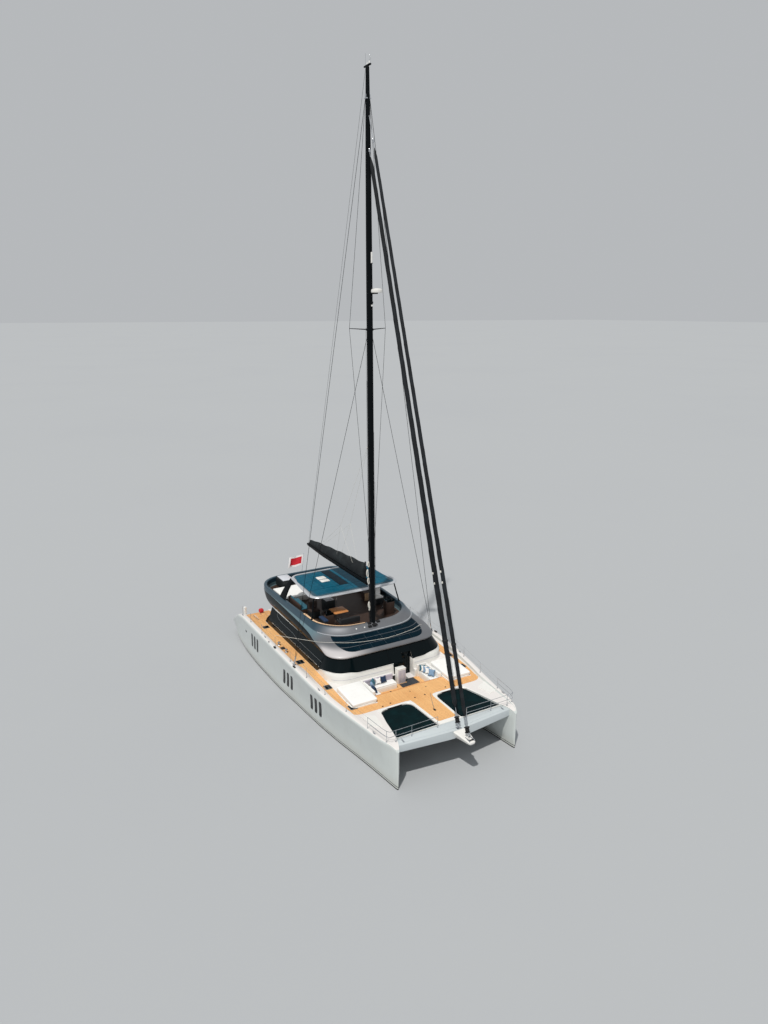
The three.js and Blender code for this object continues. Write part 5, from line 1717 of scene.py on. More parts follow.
# The middle fields to starboard are darker cells: painted reflection of the sail bag.
fields_with_painted_reflection = recoloured(2, field(-2.72, -1.19, -0.64, 0.0), field(-4.22, -2.74, -0.64, 0.0))
piece("hardtop_panels", [top_plate] + hardtop_fields + fields_with_painted_reflection, [dark_silver, cells, dark_cells],
      slot="glass", sharp=60)
skylights = [prism(rounded(rectangle(x0, x1, -1.5, -0.88), 0.06), 6.45, 6.485, soft=0.012)
             for x0, x1 in ((-3.25, -2.75), (-2.65, -2.2))]
piece("hardtop_skylights", skylights, [gelcoat], slot="gelcoat")
ceiling = prism(rounded([(-4.3, -2.6), (-0.2, -2.9), (-0.2, 2.9), (-4.3, 2.6)], 0.5, 8),
                6.292, 6.304, soft=0.003)
lights = [lathe([(0.04, 0.0), (0.04, -0.008), (0.03, -0.012), (0.001, -0.012)], (x, y, 6.293), sides=16)
          for x in (-0.8, -2.2, -3.6) for y in (-2.0, -0.7, 0.7, 2.0)]
piece("hardtop_ceiling", [ceiling] + recoloured(1, *lights), [gelcoat, lamp_white], slot="gelcoat")
print("hardtop lights:", len(lights))

# %% [markdown]
# ## Cushions
# A cushion is a crowned closed form. Its sides pull in between the corners, its top swells and is
# drawn down along the seams. Most pads here are one or two metres long, and a cloth simulation
# fine enough for their seams would take minutes for each, so their grid of points is moved by
# rule: rounded like a pebble first, then crowned, then creased along each seam.

# %% Cushion helper
def line_steps(length, fine, coarse):
    """Steps along an edge, closer together near its ends."""
    count = max(6, int(length / coarse))
    inner = spread(-0.5 * length + fine, 0.5 * length - fine, count)
    edge = [0.0, 0.15, 0.4, 0.7]
    ends = [-0.5 * length + fine * e for e in edge]
    return ends + inner + [-e for e in reversed(ends)]


def cushion(lo, hi, soft=0.05, crown=0.02, seams_x=(), seams_y=(), groove=0.014, pull=0.008,
            slope=0.0, coarse=0.07, index=0):
    """Seams are places along x or y; slope lowers the front end of the top."""
    size = [b - a for a, b in zip(lo, hi)]
    centre = [(a + b) / 2 for a, b in zip(lo, hi)]
    soft = min(soft, *(0.45 * s for s in size))
    steps = [line_steps(s, soft, coarse) for s in size]
    bm = bmesh.new()
    found = {}

    def vertex(p):
        key = tuple(round(c, 5) for c in p)
        if key not in found:
            found[key] = bm.verts.new(p)
        return found[key]

    for axis in range(3):
        u, v = [k for k in range(3) if k != axis]
        for sign in (-1, 1):
            for a0, a1 in zip(steps[u], steps[u][1:]):
                for b0, b1 in zip(steps[v], steps[v][1:]):
                    corners = []
                    for a, b in ((a0, b0), (a1, b0), (a1, b1), (a0, b1)):
                        p = [0.0, 0.0, 0.0]
                        p[axis], p[u], p[v] = sign * size[axis] / 2, a, b
                        corners.append(vertex(p))
                    bm.faces.new(corners)
    for v in bm.verts:
        p = v.co
        q = Vector([max(-s / 2 + soft, min(s / 2 - soft, c)) for c, s in zip(p, size)])
        d = p - q
        if d.length > 1e-9:
            p = q + d.normalized() * soft
        tx, ty = 2 * p.x / size[0], 2 * p.y / size[1]
        up = max(0.0, p.z / (size[2] / 2))
        p.x -= math.copysign(pull, p.x) * (1 - ty * ty) * abs(tx) ** 6
        p.y -= math.copysign(pull, p.y) * (1 - tx * tx) * abs(ty) ** 6
        p.z += crown * up * max(0.0, 1 - tx ** 4) * max(0.0, 1 - ty ** 4) - crown * up
        for place in seams_x:
            p.z -= groove * up * math.exp(-((p.x + centre[0] - place) / 0.03) ** 2)
        for place in seams_y:
            p.z -= groove * up * math.exp(-((p.y + centre[1] - place) / 0.03) ** 2)
        if slope:
            p.z -= slope * (tx + 1) / 2 * (p.z / size[2] + 0.5)
        v.co = p + Vector(centre)
    return form_of(bm, index)


def piping(lo, hi, soft, z, radius=0.009, index=1, slope=0.0):
    """The welt sewn round the top edge of a cushion."""
    inset = soft * 0.3
    corners = rectangle(lo[0] + inset, hi[0] - inset, lo[1] + inset, hi[1] - inset)
    line = rounded(corners, soft * 1.6, 5)
    span = hi[0] - lo[0]
    return tube([(x, y, z - slope * (x - lo[0]) / span) for x, y in line], radius, 6, index, closed=True)


def pad(name, lo, hi, material, body="root", soft=0.05, crown=0.02, seams_x=(), seams_y=(), replaces=(),
        side=1, welt=True, slope=0.0, trim=None, coarse=0.07, groove=0.014):
    forms = [cushion(lo, hi, soft, crown, seams_x, seams_y, groove=groove, slope=slope, coarse=coarse)]
    if welt:
        forms.append(piping(lo, hi, soft, hi[2] - crown - soft * 0.35, slope=slope))
    made = piece(name, on_side(side, *forms), [material, trim or material], body=body, slot="cushion",
                 replaces=replaces, sharp=80)


print("cushion helper ready")

# %% [markdown]
# ## Flybridge
# Under the hardtop are two helms with seats behind them, settees along the sides and in front, a
# teak table and a low bar. Aft lie two white sunpads and a locker. Their bases are moulded boxes
# with a kick space, and the pads lie on them.

# %% Helm consoles
HELM = {"x": 0.45, "y": 2.25, "depth": 0.42, "width": 0.62, "height": 0.90}


def console():
    x, y = HELM["x"], HELM["y"]
    z = FLY_BASE
    depth, width, height = HELM["depth"], HELM["width"], HELM["height"]
    outline = rounded([(x, z), (x - depth * 0.8, z), (x - depth, z + height * 0.75),
                       (x - depth * 0.55, z + height), (x, z + height)], [0.02, 0.02, 0.05, 0.05, 0.06])
    body = prism(outline, y - width / 2, y + width / 2, soft=0.03, steps=3, axis="y")
    low = Vector((x - depth * 0.98, 0, z + height * 0.76))
    high = Vector((x - depth * 0.57, 0, z + height * 0.98))
    normal = Vector((-(high - low).z, 0, (high - low).x)).normalized()
    forms = [body]
    for a, b, y0, y1, index in ((0.1, 0.9, -0.27, 0.03, 1), (0.1, 0.9, 0.06, 0.27, 1)):
        base, tip = low.lerp(high, a), low.lerp(high, b)
        corners = [(base, y0), (base, y1), (tip, y1), (tip, y0)]
        bottom = [(p.x, y + s, p.z) for p, s in corners]
        top = [(p.x + normal.x * 0.012, y + s, p.z + normal.z * 0.012) for p, s in corners]
        forms.append(loft([bottom, top], index))
    for k in range(3):
        forms.append(lathe([(0.018, 0), (0.018, 0.02), (0.012, 0.03), (0.001, 0.03)],
                           (x - 0.08, y - 0.18 + 0.12 * k, z + height - 0.002), sides=12, index=2))
    forms.append(box((x - 0.13, y + 0.12, z + height - 0.005), (x - 0.05, y + 0.2, z + height + 0.05),
                     soft=0.01, index=2))
    forms.append(tube([(x - 0.09, y + 0.16, z + height + 0.03), (x - 0.12, y + 0.16, z + height + 0.11),
                       (x - 0.12, y + 0.16, z + height + 0.13)], [0.01, 0.009, 0.016], 10, index=2))
    screen_top = z + height + 0.18
    forms.append(prism(rounded([(x - 0.02, z + height - 0.01), (x + 0.0, z + height - 0.01),
                                (x + 0.05, screen_top), (x + 0.03, screen_top)], 0.008, 3),
                       y - width / 2 + 0.04, y + width / 2 - 0.04, soft=0.004, axis="y", index=3))
    return forms


pair("helm_pedestal", console(), [dark_floor, screen, steel, black_glass], slot="carbon",
     replaces="helm_console")

# %% Helm wheels
WHEEL_CENTRE = (-0.015, 2.25, 5.0103)
WHEEL_RADIUS = 0.43


def wheel_forms():
    cx, cy, cz = WHEEL_CENTRE
    circle = [(cx, cy + WHEEL_RADIUS * math.cos(a), cz + WHEEL_RADIUS * math.sin(a))
              for a in full_turn(48)]
    forms = [tube(circle, 0.02, 10, index=1, closed=True)]
    for degrees in (90, 210, 330):
        angle = math.radians(degrees)
        y, z = math.cos(angle), math.sin(angle)
        forms.append(tube([(cx, cy, cz), (cx - 0.012, cy + 0.2 * y, cz + 0.2 * z),
                           (cx, cy + 0.425 * y, cz + 0.425 * z)], [0.02, 0.013, 0.012], 8))
    forms.append(lathe([(0.001, -0.04), (0.05, -0.036), (0.058, -0.01), (0.05, 0.02), (0.014, 0.025),
                        (0.014, 0.16)],
                       (cx, cy, cz), axis=(1, 0, 0), sides=24))
    return forms


pair("steering_wheel", wheel_forms(), [steel, black_rubber], body="helm_wheel", slot="steel",
     replaces="helm_wheel")
print("helms at y", HELM["y"], "and", -HELM["y"])

# %% Flybridge seats
def seat_base(lo, hi, index=0, kick=0.05):
    """Moulded plinth with a kick space at its foot."""
    lower = box((lo[0] + kick, lo[1] + kick, lo[2]), (hi[0] - kick, hi[1] - kick, lo[2] + 0.09),
                0.01, 2, index)
    upper = box((lo[0], lo[1], lo[2] + 0.085), hi, 0.02, 3, index)
    return [lower, upper]


SEAT_CLOTH = {"port": vinyl, "starboard": brown_cloth}
SETTEE_CLOTH = {"port": brown_cloth, "starboard": teal_cloth}
helm_seat = seat_base((-1.90, 2.08, FLY_BASE), (-1.33, 2.72, 4.84))
helm_seat.append(box((-1.95, 2.07, 4.84), (-1.87, 2.73, 5.40), 0.025, 3))
settee = seat_base((-4.38, 2.32, FLY_BASE), (-2.42, 3.02, 4.68))
settee.append(box((-4.40, 2.94, 4.4), (-2.40, 3.04, 5.06), 0.03, 3))
for name, side in SIDES:
    piece(f"helm_seat_base_{name}", on_side(side, *helm_seat), [dark_cover], slot="gelcoat",
          replaces=[f"helm_seat_{name}"])
    pad(f"helm_seat_cushion_{name}", (-1.86, 2.06, 4.84), (-1.31, 2.74, 4.968), SEAT_CLOTH[name],
        side=side, seams_x=(-1.6,), coarse=0.04)
    pad(f"helm_seat_back_{name}", (-1.87, 2.06, 4.96), (-1.77, 2.74, 5.425), SEAT_CLOTH[name],
        side=side, crown=0.01, soft=0.04, coarse=0.04, welt=False)
    piece(f"settee_base_{name}", on_side(side, *settee), [dark_floor], slot="cushion",
          replaces=[f"fly_seat_{name}"])
    pad(f"settee_cushion_{name}", (-4.39, 2.31, 4.68), (-2.41, 2.92, 4.79), SETTEE_CLOTH[name], side=side,
        seams_x=(-3.74, -3.07))
    pad(f"settee_back_{name}", (-4.39, 2.84, 4.78), (-2.41, 2.96, 5.115), SETTEE_CLOTH[name], side=side,
        crown=0.01, seams_x=(-3.74, -3.07), welt=False)
piece("front_settee_base", seat_base((0.32, -1.73, FLY_BASE), (1.08, -0.37, 4.68)), [dark_floor],
      slot="cushion", replaces=["fly_seat_front"])
pad("front_settee_cushion", (0.31, -1.74, 4.68), (0.96, -0.36, 4.79), black_cloth, seams_y=(-1.05,))
pad("front_settee_back", (0.94, -1.74, 4.68), (1.09, -0.36, 5.055),
    black_cloth, crown=0.01, seams_y=(-1.05,), welt=False)

# %% Flybridge table, bar and sunpads
table_top = prism(rounded(rectangle(-1.05, -0.05, -1.6, -0.6), 0.08), 4.965, 5.0003, soft=0.01, steps=3)
table_leg = lathe([(0.11, 0.0), (0.11, 0.015), (0.05, 0.04), (0.045, 0.55), (0.09, 0.605), (0.09, 0.62)],
                  (-0.55, -1.1, FLY_BASE), sides=24, index=1)
table_pole = tube([(-0.55, -1.24, 5.0), (-0.55, -1.24, 6.295)], 0.018, 12, index=1)
piece("flybridge_table", [table_top, table_leg, table_pole], [table_wood, steel],
      slot="teak", replaces=["fly_table"])
piece("settee_end_cabinet", seat_base((-2.92, 1.84, FLY_BASE), (-2.41, 2.31, 4.96))
      + [box((-2.412, 1.85, 4.40), (-2.39, 2.30, 4.95), 0.006, index=1)], [dark_floor, pale_teak],
      slot="teak")
piece("flybridge_locker", seat_base((-8.45, -2.32, FLY_BASE), (-7.12, -1.38, 5.06))
      + [box((-8.38, -2.25, 5.05), (-7.19, -1.45, 5.09), 0.012, index=1)], [dark_cover, bar_white],
      slot="gelcoat")
piece("chart_box", seat_base((0.16, -2.82, FLY_BASE), (0.94, -2.60, 5.08)), [dark_cover], slot="gelcoat")
pad("chart_box_cover", (0.12, -2.86, 5.07), (0.98, -2.56, 5.21), navy_cloth, coarse=0.05)

bar_body = seat_base((-2.45, -1.45, FLY_BASE), (-1.75, -0.75, 5.21))
bar_top = prism(rounded(rectangle(-2.37, -1.83, -1.38, -0.82), 0.05), 5.20, 5.25, soft=0.01, index=1)
bar_door = [box((-2.4 + 0.33 * k, -0.7505, 4.5), (-2.4 + 0.33 * k + 0.3, -0.742, 5.14), 0.004, index=3)
            for k in range(2)]
piece("flybridge_bar", bar_body + [bar_top] + bar_door, [dark_cover, bar_white, steel, dark_silver],
      slot="gelcoat", replaces=["fly_bar"])

for name, side in SIDES:
    piece(f"sunpad_base_{name}", on_side(side, *seat_base((-6.93, 1.32, FLY_BASE), (-4.72, 3.13, 4.62))),
          [gelcoat], slot="gelcoat", replaces=[f"fly_sunpad_{name}"])
    pad(f"sunpad_{name}", (-6.95, 1.30, 4.61), (-4.70, 3.15, 4.775),
        vinyl, side=side, soft=0.06, crown=0.03, seams_x=(-5.82,), seams_y=(2.225,))
print("flybridge cushions placed")

# %% [markdown]
# ## Forward lounge
# A sunken lounge opens ahead of the saloon: an L-shaped white bench to starboard, a bench to
# port, a white cabinet beside the door and a dark mat on the teak. The benches are part of the
# moulding, so the white base and the thick vinyl pads read as one soft white shape.

# %% Lounge moulding
lounge_floor = prism(rectangle(4.77, 6.345, -2.395, 2.395), 1.8005, 1.95, soft=0, index=1)
bench = [
    box((4.765, -2.39, 1.9), (5.48, -0.22, 2.26), 0.03, 3),
    box((4.765, -2.39, 1.9), (4.90, -0.22, 2.715), 0.03, 3),
    box((4.90, -2.39, 1.9), (6.34, -1.71, 2.26), 0.03, 3),
    box((4.80, -2.395, 1.9), (6.34, -2.27, 2.68), 0.03, 3),
    box((4.765, 1.69, 1.9), (6.34, 2.395, 2.26), 0.03, 3),
    box((4.765, 2.27, 1.9), (6.34, 2.395, 2.68), 0.03, 3),
    box((4.765, 1.60, 1.9), (4.86, 2.39, 2.76), 0.03, 3),
]
cabinet = [box((4.765, 0.03, 1.95), (5.14, 0.60, 2.90), 0.035, 4),
           box((4.762, 0.02, 2.90), (5.15, 0.61, 2.95), 0.018, 3),
           box((5.139, 0.06, 2.02), (5.146, 0.305, 2.84), 0.003, index=2),
           box((5.139, 0.325, 2.02), (5.146, 0.57, 2.84), 0.003, index=2),
           # The dark strip beside the cabinet is painted shade in the recess between the bench and the
           # cabinet.
           box((4.765, -0.16, 1.95), (4.785, 0.05, 2.42), 0.004, index=3)]
piece("lounge_moulding", bench + cabinet + [lounge_floor], [gelcoat, teak, lilac_grey, dark_cover],
      slot="gelcoat", replaces=["front_lounge"])
piece("pit_nosing", [box((6.335, -2.39, 2.395), (6.40, 2.39, 2.418), 0.006)], [table_wood], slot="teak")
pad("lounge_pad_aft", (4.89, -1.72, 2.255), (5.46, -0.23, 2.355), vinyl, seams_y=(-0.97,), coarse=0.05)
# The aft backrest is in the mauve-grey cloth: painted shade.
pad("lounge_back_aft", (4.86, -2.24, 2.34), (4.98, -0.23, 2.69),
    mauve_cloth_painted_shade, crown=0.01, soft=0.045, seams_y=(-0.97, -1.7), welt=False, coarse=0.05)
pad("lounge_pad_starboard", (4.99, -2.26, 2.255), (6.33, -1.73, 2.355), vinyl, seams_x=(5.66,),
    coarse=0.05)
pad("lounge_back_starboard", (4.99, -2.30, 2.34), (6.33, -2.19, 2.695), vinyl, crown=0.01, soft=0.045,
    seams_x=(5.66,), welt=False, coarse=0.05)
pad("lounge_pad_port", (4.87, 1.69, 2.255), (6.33, 2.26, 2.355), vinyl, seams_x=(5.36, 5.85), coarse=0.05)
pad("lounge_back_port", (4.87, 2.19, 2.34), (6.33, 2.30, 2.695), vinyl, crown=0.01, soft=0.045,
    seams_x=(5.36, 5.85), welt=False, coarse=0.05)
mat = prism(rounded([(5.17, 0.12), (5.60, 0.10), (5.56, 1.36), (5.17, 1.34)], 0.03),
            1.951, 1.965, soft=0.004)
# The aft part of the mat, in front of the doorway, is a dark sheet for the shadow at the threshold:
# painted shadow.
threshold_shadow_mat = prism(rounded(rectangle(4.80, 5.16, 0.68, 1.34), 0.03), 1.951, 1.965, soft=0.004)
piece("door_mat", [mat, threshold_shadow_mat], [mat_cloth], slot="canvas")
print("lounge pads: 6")

# %% [markdown]
# ## Pillows by cloth simulation
# Loose pillows are small enough to blow up like real ones. A flat square of cloth is sewn shut
# with a little thickness, given pressure without gravity, and stepped through 20 frames. The one
# result is kept as a mesh and laid out in different sizes, colours and angles. The swelling isn't
# the same in every run: it differs by a few millimetres, for a reason that wasn't found.

# %% Pillow by cloth
PILLOW = 0.44


def flat_pillow():
    bm = bmesh.new()
    bmesh.ops.create_grid(bm, x_segments=26, y_segments=26, size=PILLOW / 2)
    made = bmesh.ops.extrude_face_region(bm, geom=list(bm.faces))
    for v in [g for g in made["geom"] if isinstance(g, bmesh.types.BMVert)]:
        v.co.z += 0.05
    bmesh.ops.recalc_face_normals(bm, faces=bm.faces)
    for v in bm.verts:
        u, w = abs(v.co.x) / (PILLOW / 2), abs(v.co.y) / (PILLOW / 2)
        edge = max(u, w)
        if edge > 0.85:
            v.co.z = 0.025 + (v.co.z - 0.025) * (1 - 0.75 * (edge - 0.85) / 0.15)
    mesh = bpy.data.meshes.new("pillow")
    bm.to_mesh(mesh)
    bm.free()
    return mesh


def swollen_pillow():
    thing = bpy.data.objects.new("pillow", flat_pillow())
    bpy.context.scene.collection.objects.link(thing)
    rest = [v.co.copy() for v in thing.data.vertices]
    modifier = thing.modifiers.new("cloth", "CLOTH")
    modifier.settings.use_pressure = True
    modifier.settings.uniform_pressure_force = 4.0
    modifier.settings.effector_weights.gravity = 0.0
    modifier.settings.quality = 6
    for step in range(1, 21):
        bpy.context.scene.frame_set(step)
    settle(thing)
    bpy.context.scene.frame_set(1)
    most = 0.0
    for v, start in zip(thing.data.vertices, rest):
        move = v.co - start
        if move.length > 0.06:
            v.co = start + move * (0.06 / move.length)
        most = max(most, (v.co - start).length)
    print("pillow swelled by", round(most * 1000), "mm")
    points = [tuple(v.co) for v in thing.data.vertices]
    faces = [tuple(p.vertices) for p in thing.data.polygons]
    bpy.data.objects.remove(thing)
    return points, faces


PILLOW_FORM = swollen_pillow()


def lay_pillow(name, place, turn, lean, material, size):
    """A pillow that leans back by an angle, turned about the vertical."""
    points, faces = PILLOW_FORM
    matrix = (Matrix.Translation(place) @ Matrix.Rotation(math.radians(turn), 4, "Z")
              @ Matrix.Rotation(math.radians(lean), 4, "Y") @ Matrix.Scale(size, 4))
    moved = [tuple(matrix @ Vector(p)) for p in points]
    made = piece(name, [(moved, faces, 0)], [material], slot="cushion", sharp=80)
    modifier = made.modifiers.new("smooth cloth", "SUBSURF")
    modifier.levels = modifier.render_levels = 1
    settle(made)


PILLOWS = [
    # name, place, turn, lean, cloth, size
    ("navy_1", (5.10, -0.98, 2.57), 4, 66, navy_cloth, 1.0),
    ("white_1", (5.12, -1.36, 2.56), -6, 64, vinyl, 0.95),
    ("teal_1", (5.14, -1.74, 2.57), 42, 66, teal_cloth, 1.0),
    ("blue_1", (5.42, -1.94, 2.55), 62, 62, blue_cloth, 0.95),
    ("navy_2", (5.90, -2.05, 2.56), 88, 66, navy_cloth, 1.0),
    ("teal_2", (5.02, 1.86, 2.56), -34, 70, teal_cloth, 0.95),
    ("white_2", (5.16, 1.90, 2.55), -38, 68, vinyl, 0.95),
    ("blue_2", (5.33, 1.93, 2.55), -40, 68, blue_cloth, 0.95),
    ("white_3", (5.52, 1.96, 2.55), -44, 66, vinyl, 0.95),
    ("blue_3", (5.86, 2.0, 2.57), -52, 62, blue_cloth, 1.1),
]
for name, *values in PILLOWS:
    lay_pillow(f"pillow_{name}", *values)
print("pillows:", len(PILLOWS))

# %% [markdown]
# A broad white sunpad lies on the deck on each side of the lounge, lower in front than aft. It
# is sewn in three panels and has a welt round its edge.

# %% Foredeck sunpads
for name, side in SIDES:
    base = prism(rounded(rectangle(4.72, 7.10, 2.44, 4.10), [0.12, 0.35, 0.35, 0.12], 6),
                 2.36, 2.50, soft=0.03, steps=3)
    piece(f"sunpad_plinth_{name}", on_side(side, base), [gelcoat], slot="gelcoat",
          replaces=[f"front_sunpad_{name}"])
    pad(f"front_sunpad_cushion_{name}", (4.95, 2.47, 2.49), (7.07, 4.05, 2.86), vinyl, side=side,
        soft=0.10, crown=0.03, seams_x=(5.66, 6.37), slope=0.16)
print("foredeck sunpads: 2")

# %% [markdown]
# ## Cockpit, doors and engine hatches
# Aft of the sliding door lies the cockpit with a settee and a table. The doors are panes in dark
# frames. Each engine hatch is a lid with a lifting ring, flush in the aft side deck, and it rides
# on its own body so that it can open.

# %% Cockpit furniture
piece("cockpit_settee_base", seat_base((-8.64, -1.58, 1.8003), (-7.99, 1.58, 2.12))
      + [box((-8.66, -1.6, 1.9), (-8.56, 1.6, 2.60), 0.025, 3)], [gelcoat], slot="gelcoat",
      replaces=["cockpit_seat"])
pad("cockpit_cushion", (-8.57, -1.59, 2.12), (-7.97, 1.59, 2.228), vinyl, seams_y=(-0.53, 0.53))
pad("cockpit_backrest", (-8.60, -1.59, 2.22), (-8.49, 1.59, 2.645), vinyl, crown=0.01, soft=0.045,
    seams_y=(-0.53, 0.53), welt=False)
cockpit_top = prism(rounded(rectangle(-7.5, -6.5, -0.9, 0.9), 0.1), 2.48, 2.5203, soft=0.012, steps=3)
cockpit_legs = [lathe([(0.1, 0.0), (0.1, 0.015), (0.045, 0.04), (0.04, 0.62), (0.09, 0.67), (0.09, 0.69)],
                      (-7.0, y, 1.8003), sides=24, index=1) for y in (-0.5, 0.5)]
piece("cockpit_table_piece", [cockpit_top] + cockpit_legs, [table_wood, steel], slot="teak",
      replaces=["cockpit_table"])

# %% Doors and bulkhead
def framed_pane(at, thick, lo, hi, rail):
    """A pane in a frame: in the plane x = at, from lo to hi (y, z)."""
    (y0, z0), (y1, z1) = lo, hi
    a, b = at - thick / 2, at + thick / 2
    forms = [box((a, y0, z0), (b, y0 + rail, z1), 0.006), box((a, y1 - rail, z0), (b, y1, z1), 0.006),
             box((a, y0 + rail - 0.004, z0), (b, y1 - rail + 0.004, z0 + rail), 0.006),
             box((a, y0 + rail - 0.004, z1 - rail), (b, y1 - rail + 0.004, z1), 0.006),
             box((a + thick * 0.25, y0 + rail - 0.01, z0 + rail - 0.01),
                 (b - thick * 0.25, y1 - rail + 0.01, z1 - rail + 0.01), 0.003, index=1)]
    return forms


front_leaf = framed_pane(4.125, 0.05, (0.805, 1.955), (1.495, 3.45), rail=0.055)
front_handle = tube([(4.15, 0.87, 2.75), (4.20, 0.87, 2.75), (4.20, 0.87, 3.0), (4.15, 0.87, 3.0)],
                    0.011, 10, index=2)
hinge_pins = [lathe([(0.0044, -0.06), (0.0044, 0.06)], (4.15, 1.495, z), sides=12, index=2)
              for z in (2.2, 3.2)]
piece("front_door_leaf", front_leaf + [front_handle] + hinge_pins, [carbon, black_glass, steel],
      body="front_door", slot="glass", replaces=["front_door"])


def wall_front(z):
    """x of the flat front of the wall at height z."""
    return mix_levels(WALL_LEVELS, z, 1)


def jamb(y0, y1, low, high, index=0):
    """A strip that lines the side of the doorway, from the frame to just behind the wall's face."""
    proud = 0.001 if index else 0.005
    outline = [(4.04, low), (wall_front(low) + proud, low), (wall_front(high) + proud, high),
               (4.04, high)]
    return prism(outline, y0, y1, soft=0.002, axis="y", index=index)


front_frame = [jamb(0.78, 0.8035, 3.06, 3.45), jamb(1.4997, 1.52, 3.06, 3.45),
               box((4.03, 0.78, 3.452), (4.14, 1.52, 3.475), 0.003)]
front_frame += [jamb(0.74, 0.8002, 1.951, 3.06, 1), jamb(1.4998, 1.56, 1.951, 3.06, 1),
                box((4.50, 1.4985, 1.952), (4.80, 1.60, 2.42), 0.004, index=1),
                box((4.50, 0.70, 1.952), (4.80, 0.8015, 2.42), 0.004, index=1)]
piece("front_door_frame", front_frame, [carbon, gelcoat], slot="glass")
ledge_light = lathe([(0.04, 0), (0.04, 0.012), (0.03, 0.018), (0.001, 0.018)],
                    (wall_front(2.92) - 0.002, 1.76, 2.92), axis=(1, 0, 0.17), sides=16)
piece("ledge_light", [ledge_light], [black_rubber], slot="steel")

slide_leaf = framed_pane(-4.765, 0.05, (-0.66, 1.808), (0.66, 3.64), rail=0.06)
slide_handle = tube([(-4.79, -0.58, 2.6), (-4.83, -0.58, 2.6), (-4.83, -0.58, 3.0), (-4.79, -0.58, 3.0)],
                    0.012, 10, index=2)
hangers = [lathe([(0.012, 0.0), (0.012, 0.03)], (-4.765, y, 3.619), sides=12, index=2)
           for y in (-0.51, 0.51)]
piece("aft_door_leaf", slide_leaf + [slide_handle] + hangers, [carbon, black_glass, steel],
      body="aft_door", slot="glass", replaces=["aft_door"])
dress("aft_bulkhead", black_glass)

# %% Engine hatch lids
def lid_forms():
    x0, x1, y0, y1 = HATCH["x0"], HATCH["x1"], HATCH["y0"], HATCH["y1"]
    top, thick = HATCH["top"], HATCH["thick"]
    lid = box((x0, y0, top - thick), (x1, y1, top), 0.012, 3)
    teak_top = prism(rounded(rectangle(x0 + 0.02, x1 - 0.02, y0 + 0.02, y1 - 0.02), 0.04),
                     top - 0.004, top + 0.006, soft=0.002, index=1)
    ring_x, ring_y = x0 + 0.16, (y0 + y1) / 2
    ring_plate = lathe([(0.05, 0.0), (0.05, 0.006), (0.04, 0.009), (0.001, 0.009)],
                       (ring_x, ring_y, top + 0.004), sides=24, index=2)
    circle = [(ring_x + 0.03 * math.cos(a), ring_y + 0.03 * math.sin(a), top + 0.018)
              for a in full_turn(20)]
    knuckles = [lathe([(0.0044, -0.06), (0.0044, 0.06)], (x1, y, top), axis=(0, 1, 0), sides=12, index=2)
                for y in (y0 + 0.15, y1 - 0.15)]
    return [lid, teak_top, ring_plate, tube(circle, 0.005, 8, index=2, closed=True)] + knuckles


pair("hatch_lid", lid_forms(), [nonskid, teak, steel], body="engine_hatch", slot="gelcoat",
     replaces="engine_hatch")
print("hatch lids: 2")

# %% [markdown]
# ## Mast
# The carbon mast is an oval tube that tapers toward the masthead. A luff track runs up its aft
# face, halyards come out near the foot, and at the top there are lights, a wind vane and
# aerials. The loft uses the same levels as the CAD, with more sides.

# %% Mast tube
MAST_FOOT, MAST_TOP = FLY_BASE, 36.38
MAST_LEVELS = [(0.0, 0.230, 0.165), (0.6, 0.230, 0.165), (0.85, 0.190, 0.140), (1.0, 0.120, 0.090)]


def mast_x(z):
    return mix(2.020, 1.632, (z - 4.5) / (MAST_TOP - 4.5))


def mast_size(z):
    share = (z - MAST_FOOT) / (MAST_TOP - MAST_FOOT)
    return column(MAST_LEVELS, 1, share), column(MAST_LEVELS, 2, share)


def mast_ring(z, grow=0.0, sides=32):
    long, wide = mast_size(z)
    return [(mast_x(z) + (long + grow) * math.cos(a), (wide + grow) * math.sin(a), z)
            for a in full_turn(sides)]


tube_rings = [mast_ring(z) for z in spread(MAST_FOOT, 36.3, 46)]
tube_rings += [mast_ring(36.35, -0.01), mast_ring(MAST_TOP, -0.03)]
track = tube([(mast_x(z) - mast_size(z)[0] - 0.008, 0, z) for z in spread(7.8, 36.2, 30)],
             0.022, 6, index=1)
collar = lathe([(0.36, 0.0), (0.36, 0.02), (0.30, 0.06), (0.26, 0.10), (0.24, 0.12)],
               (2.02, 0, MAST_FOOT), sides=32)
SPREADER_Z = 22.9
x_spread = mast_x(SPREADER_Z)


def spreader(side):
    rings = []
    for k in range(7):
        t = k / 6
        x, y, z = x_spread - 0.25 * t, side * (0.12 + 1.03 * t), SPREADER_Z + 0.06 * t
        chord, thick = mix(0.11, 0.05, t), mix(0.034, 0.018, t)
        rings.append([(x + chord * math.cos(a), y, z + thick * math.sin(a)) for a in full_turn(14)])
    return loft(rings)


goose = [box((1.545, -0.055, 7.35 + z - 0.02), (mast_x(7.35) - 0.2, 0.055, 7.35 + z + 0.02),
             0.006, index=1)
         for z in (-0.17, 0.17)]
mast_forms = [loft(tube_rings), track, collar, spreader(1), spreader(-1)] + goose
for z in (8.6, 9.15):
    mast_forms.append(lathe([(0.05, 0.0), (0.055, 0.01), (0.03, 0.035), (0.055, 0.06), (0.05, 0.075)],
                            (mast_x(z) - 0.02, 0.16, z), axis=(0, 1, 0.0), sides=18, index=1))
piece("mast_spar", mast_forms, [carbon, steel], slot="carbon", replaces=["mast"], sharp=40)
print("mast from", MAST_FOOT, "to", MAST_TOP)

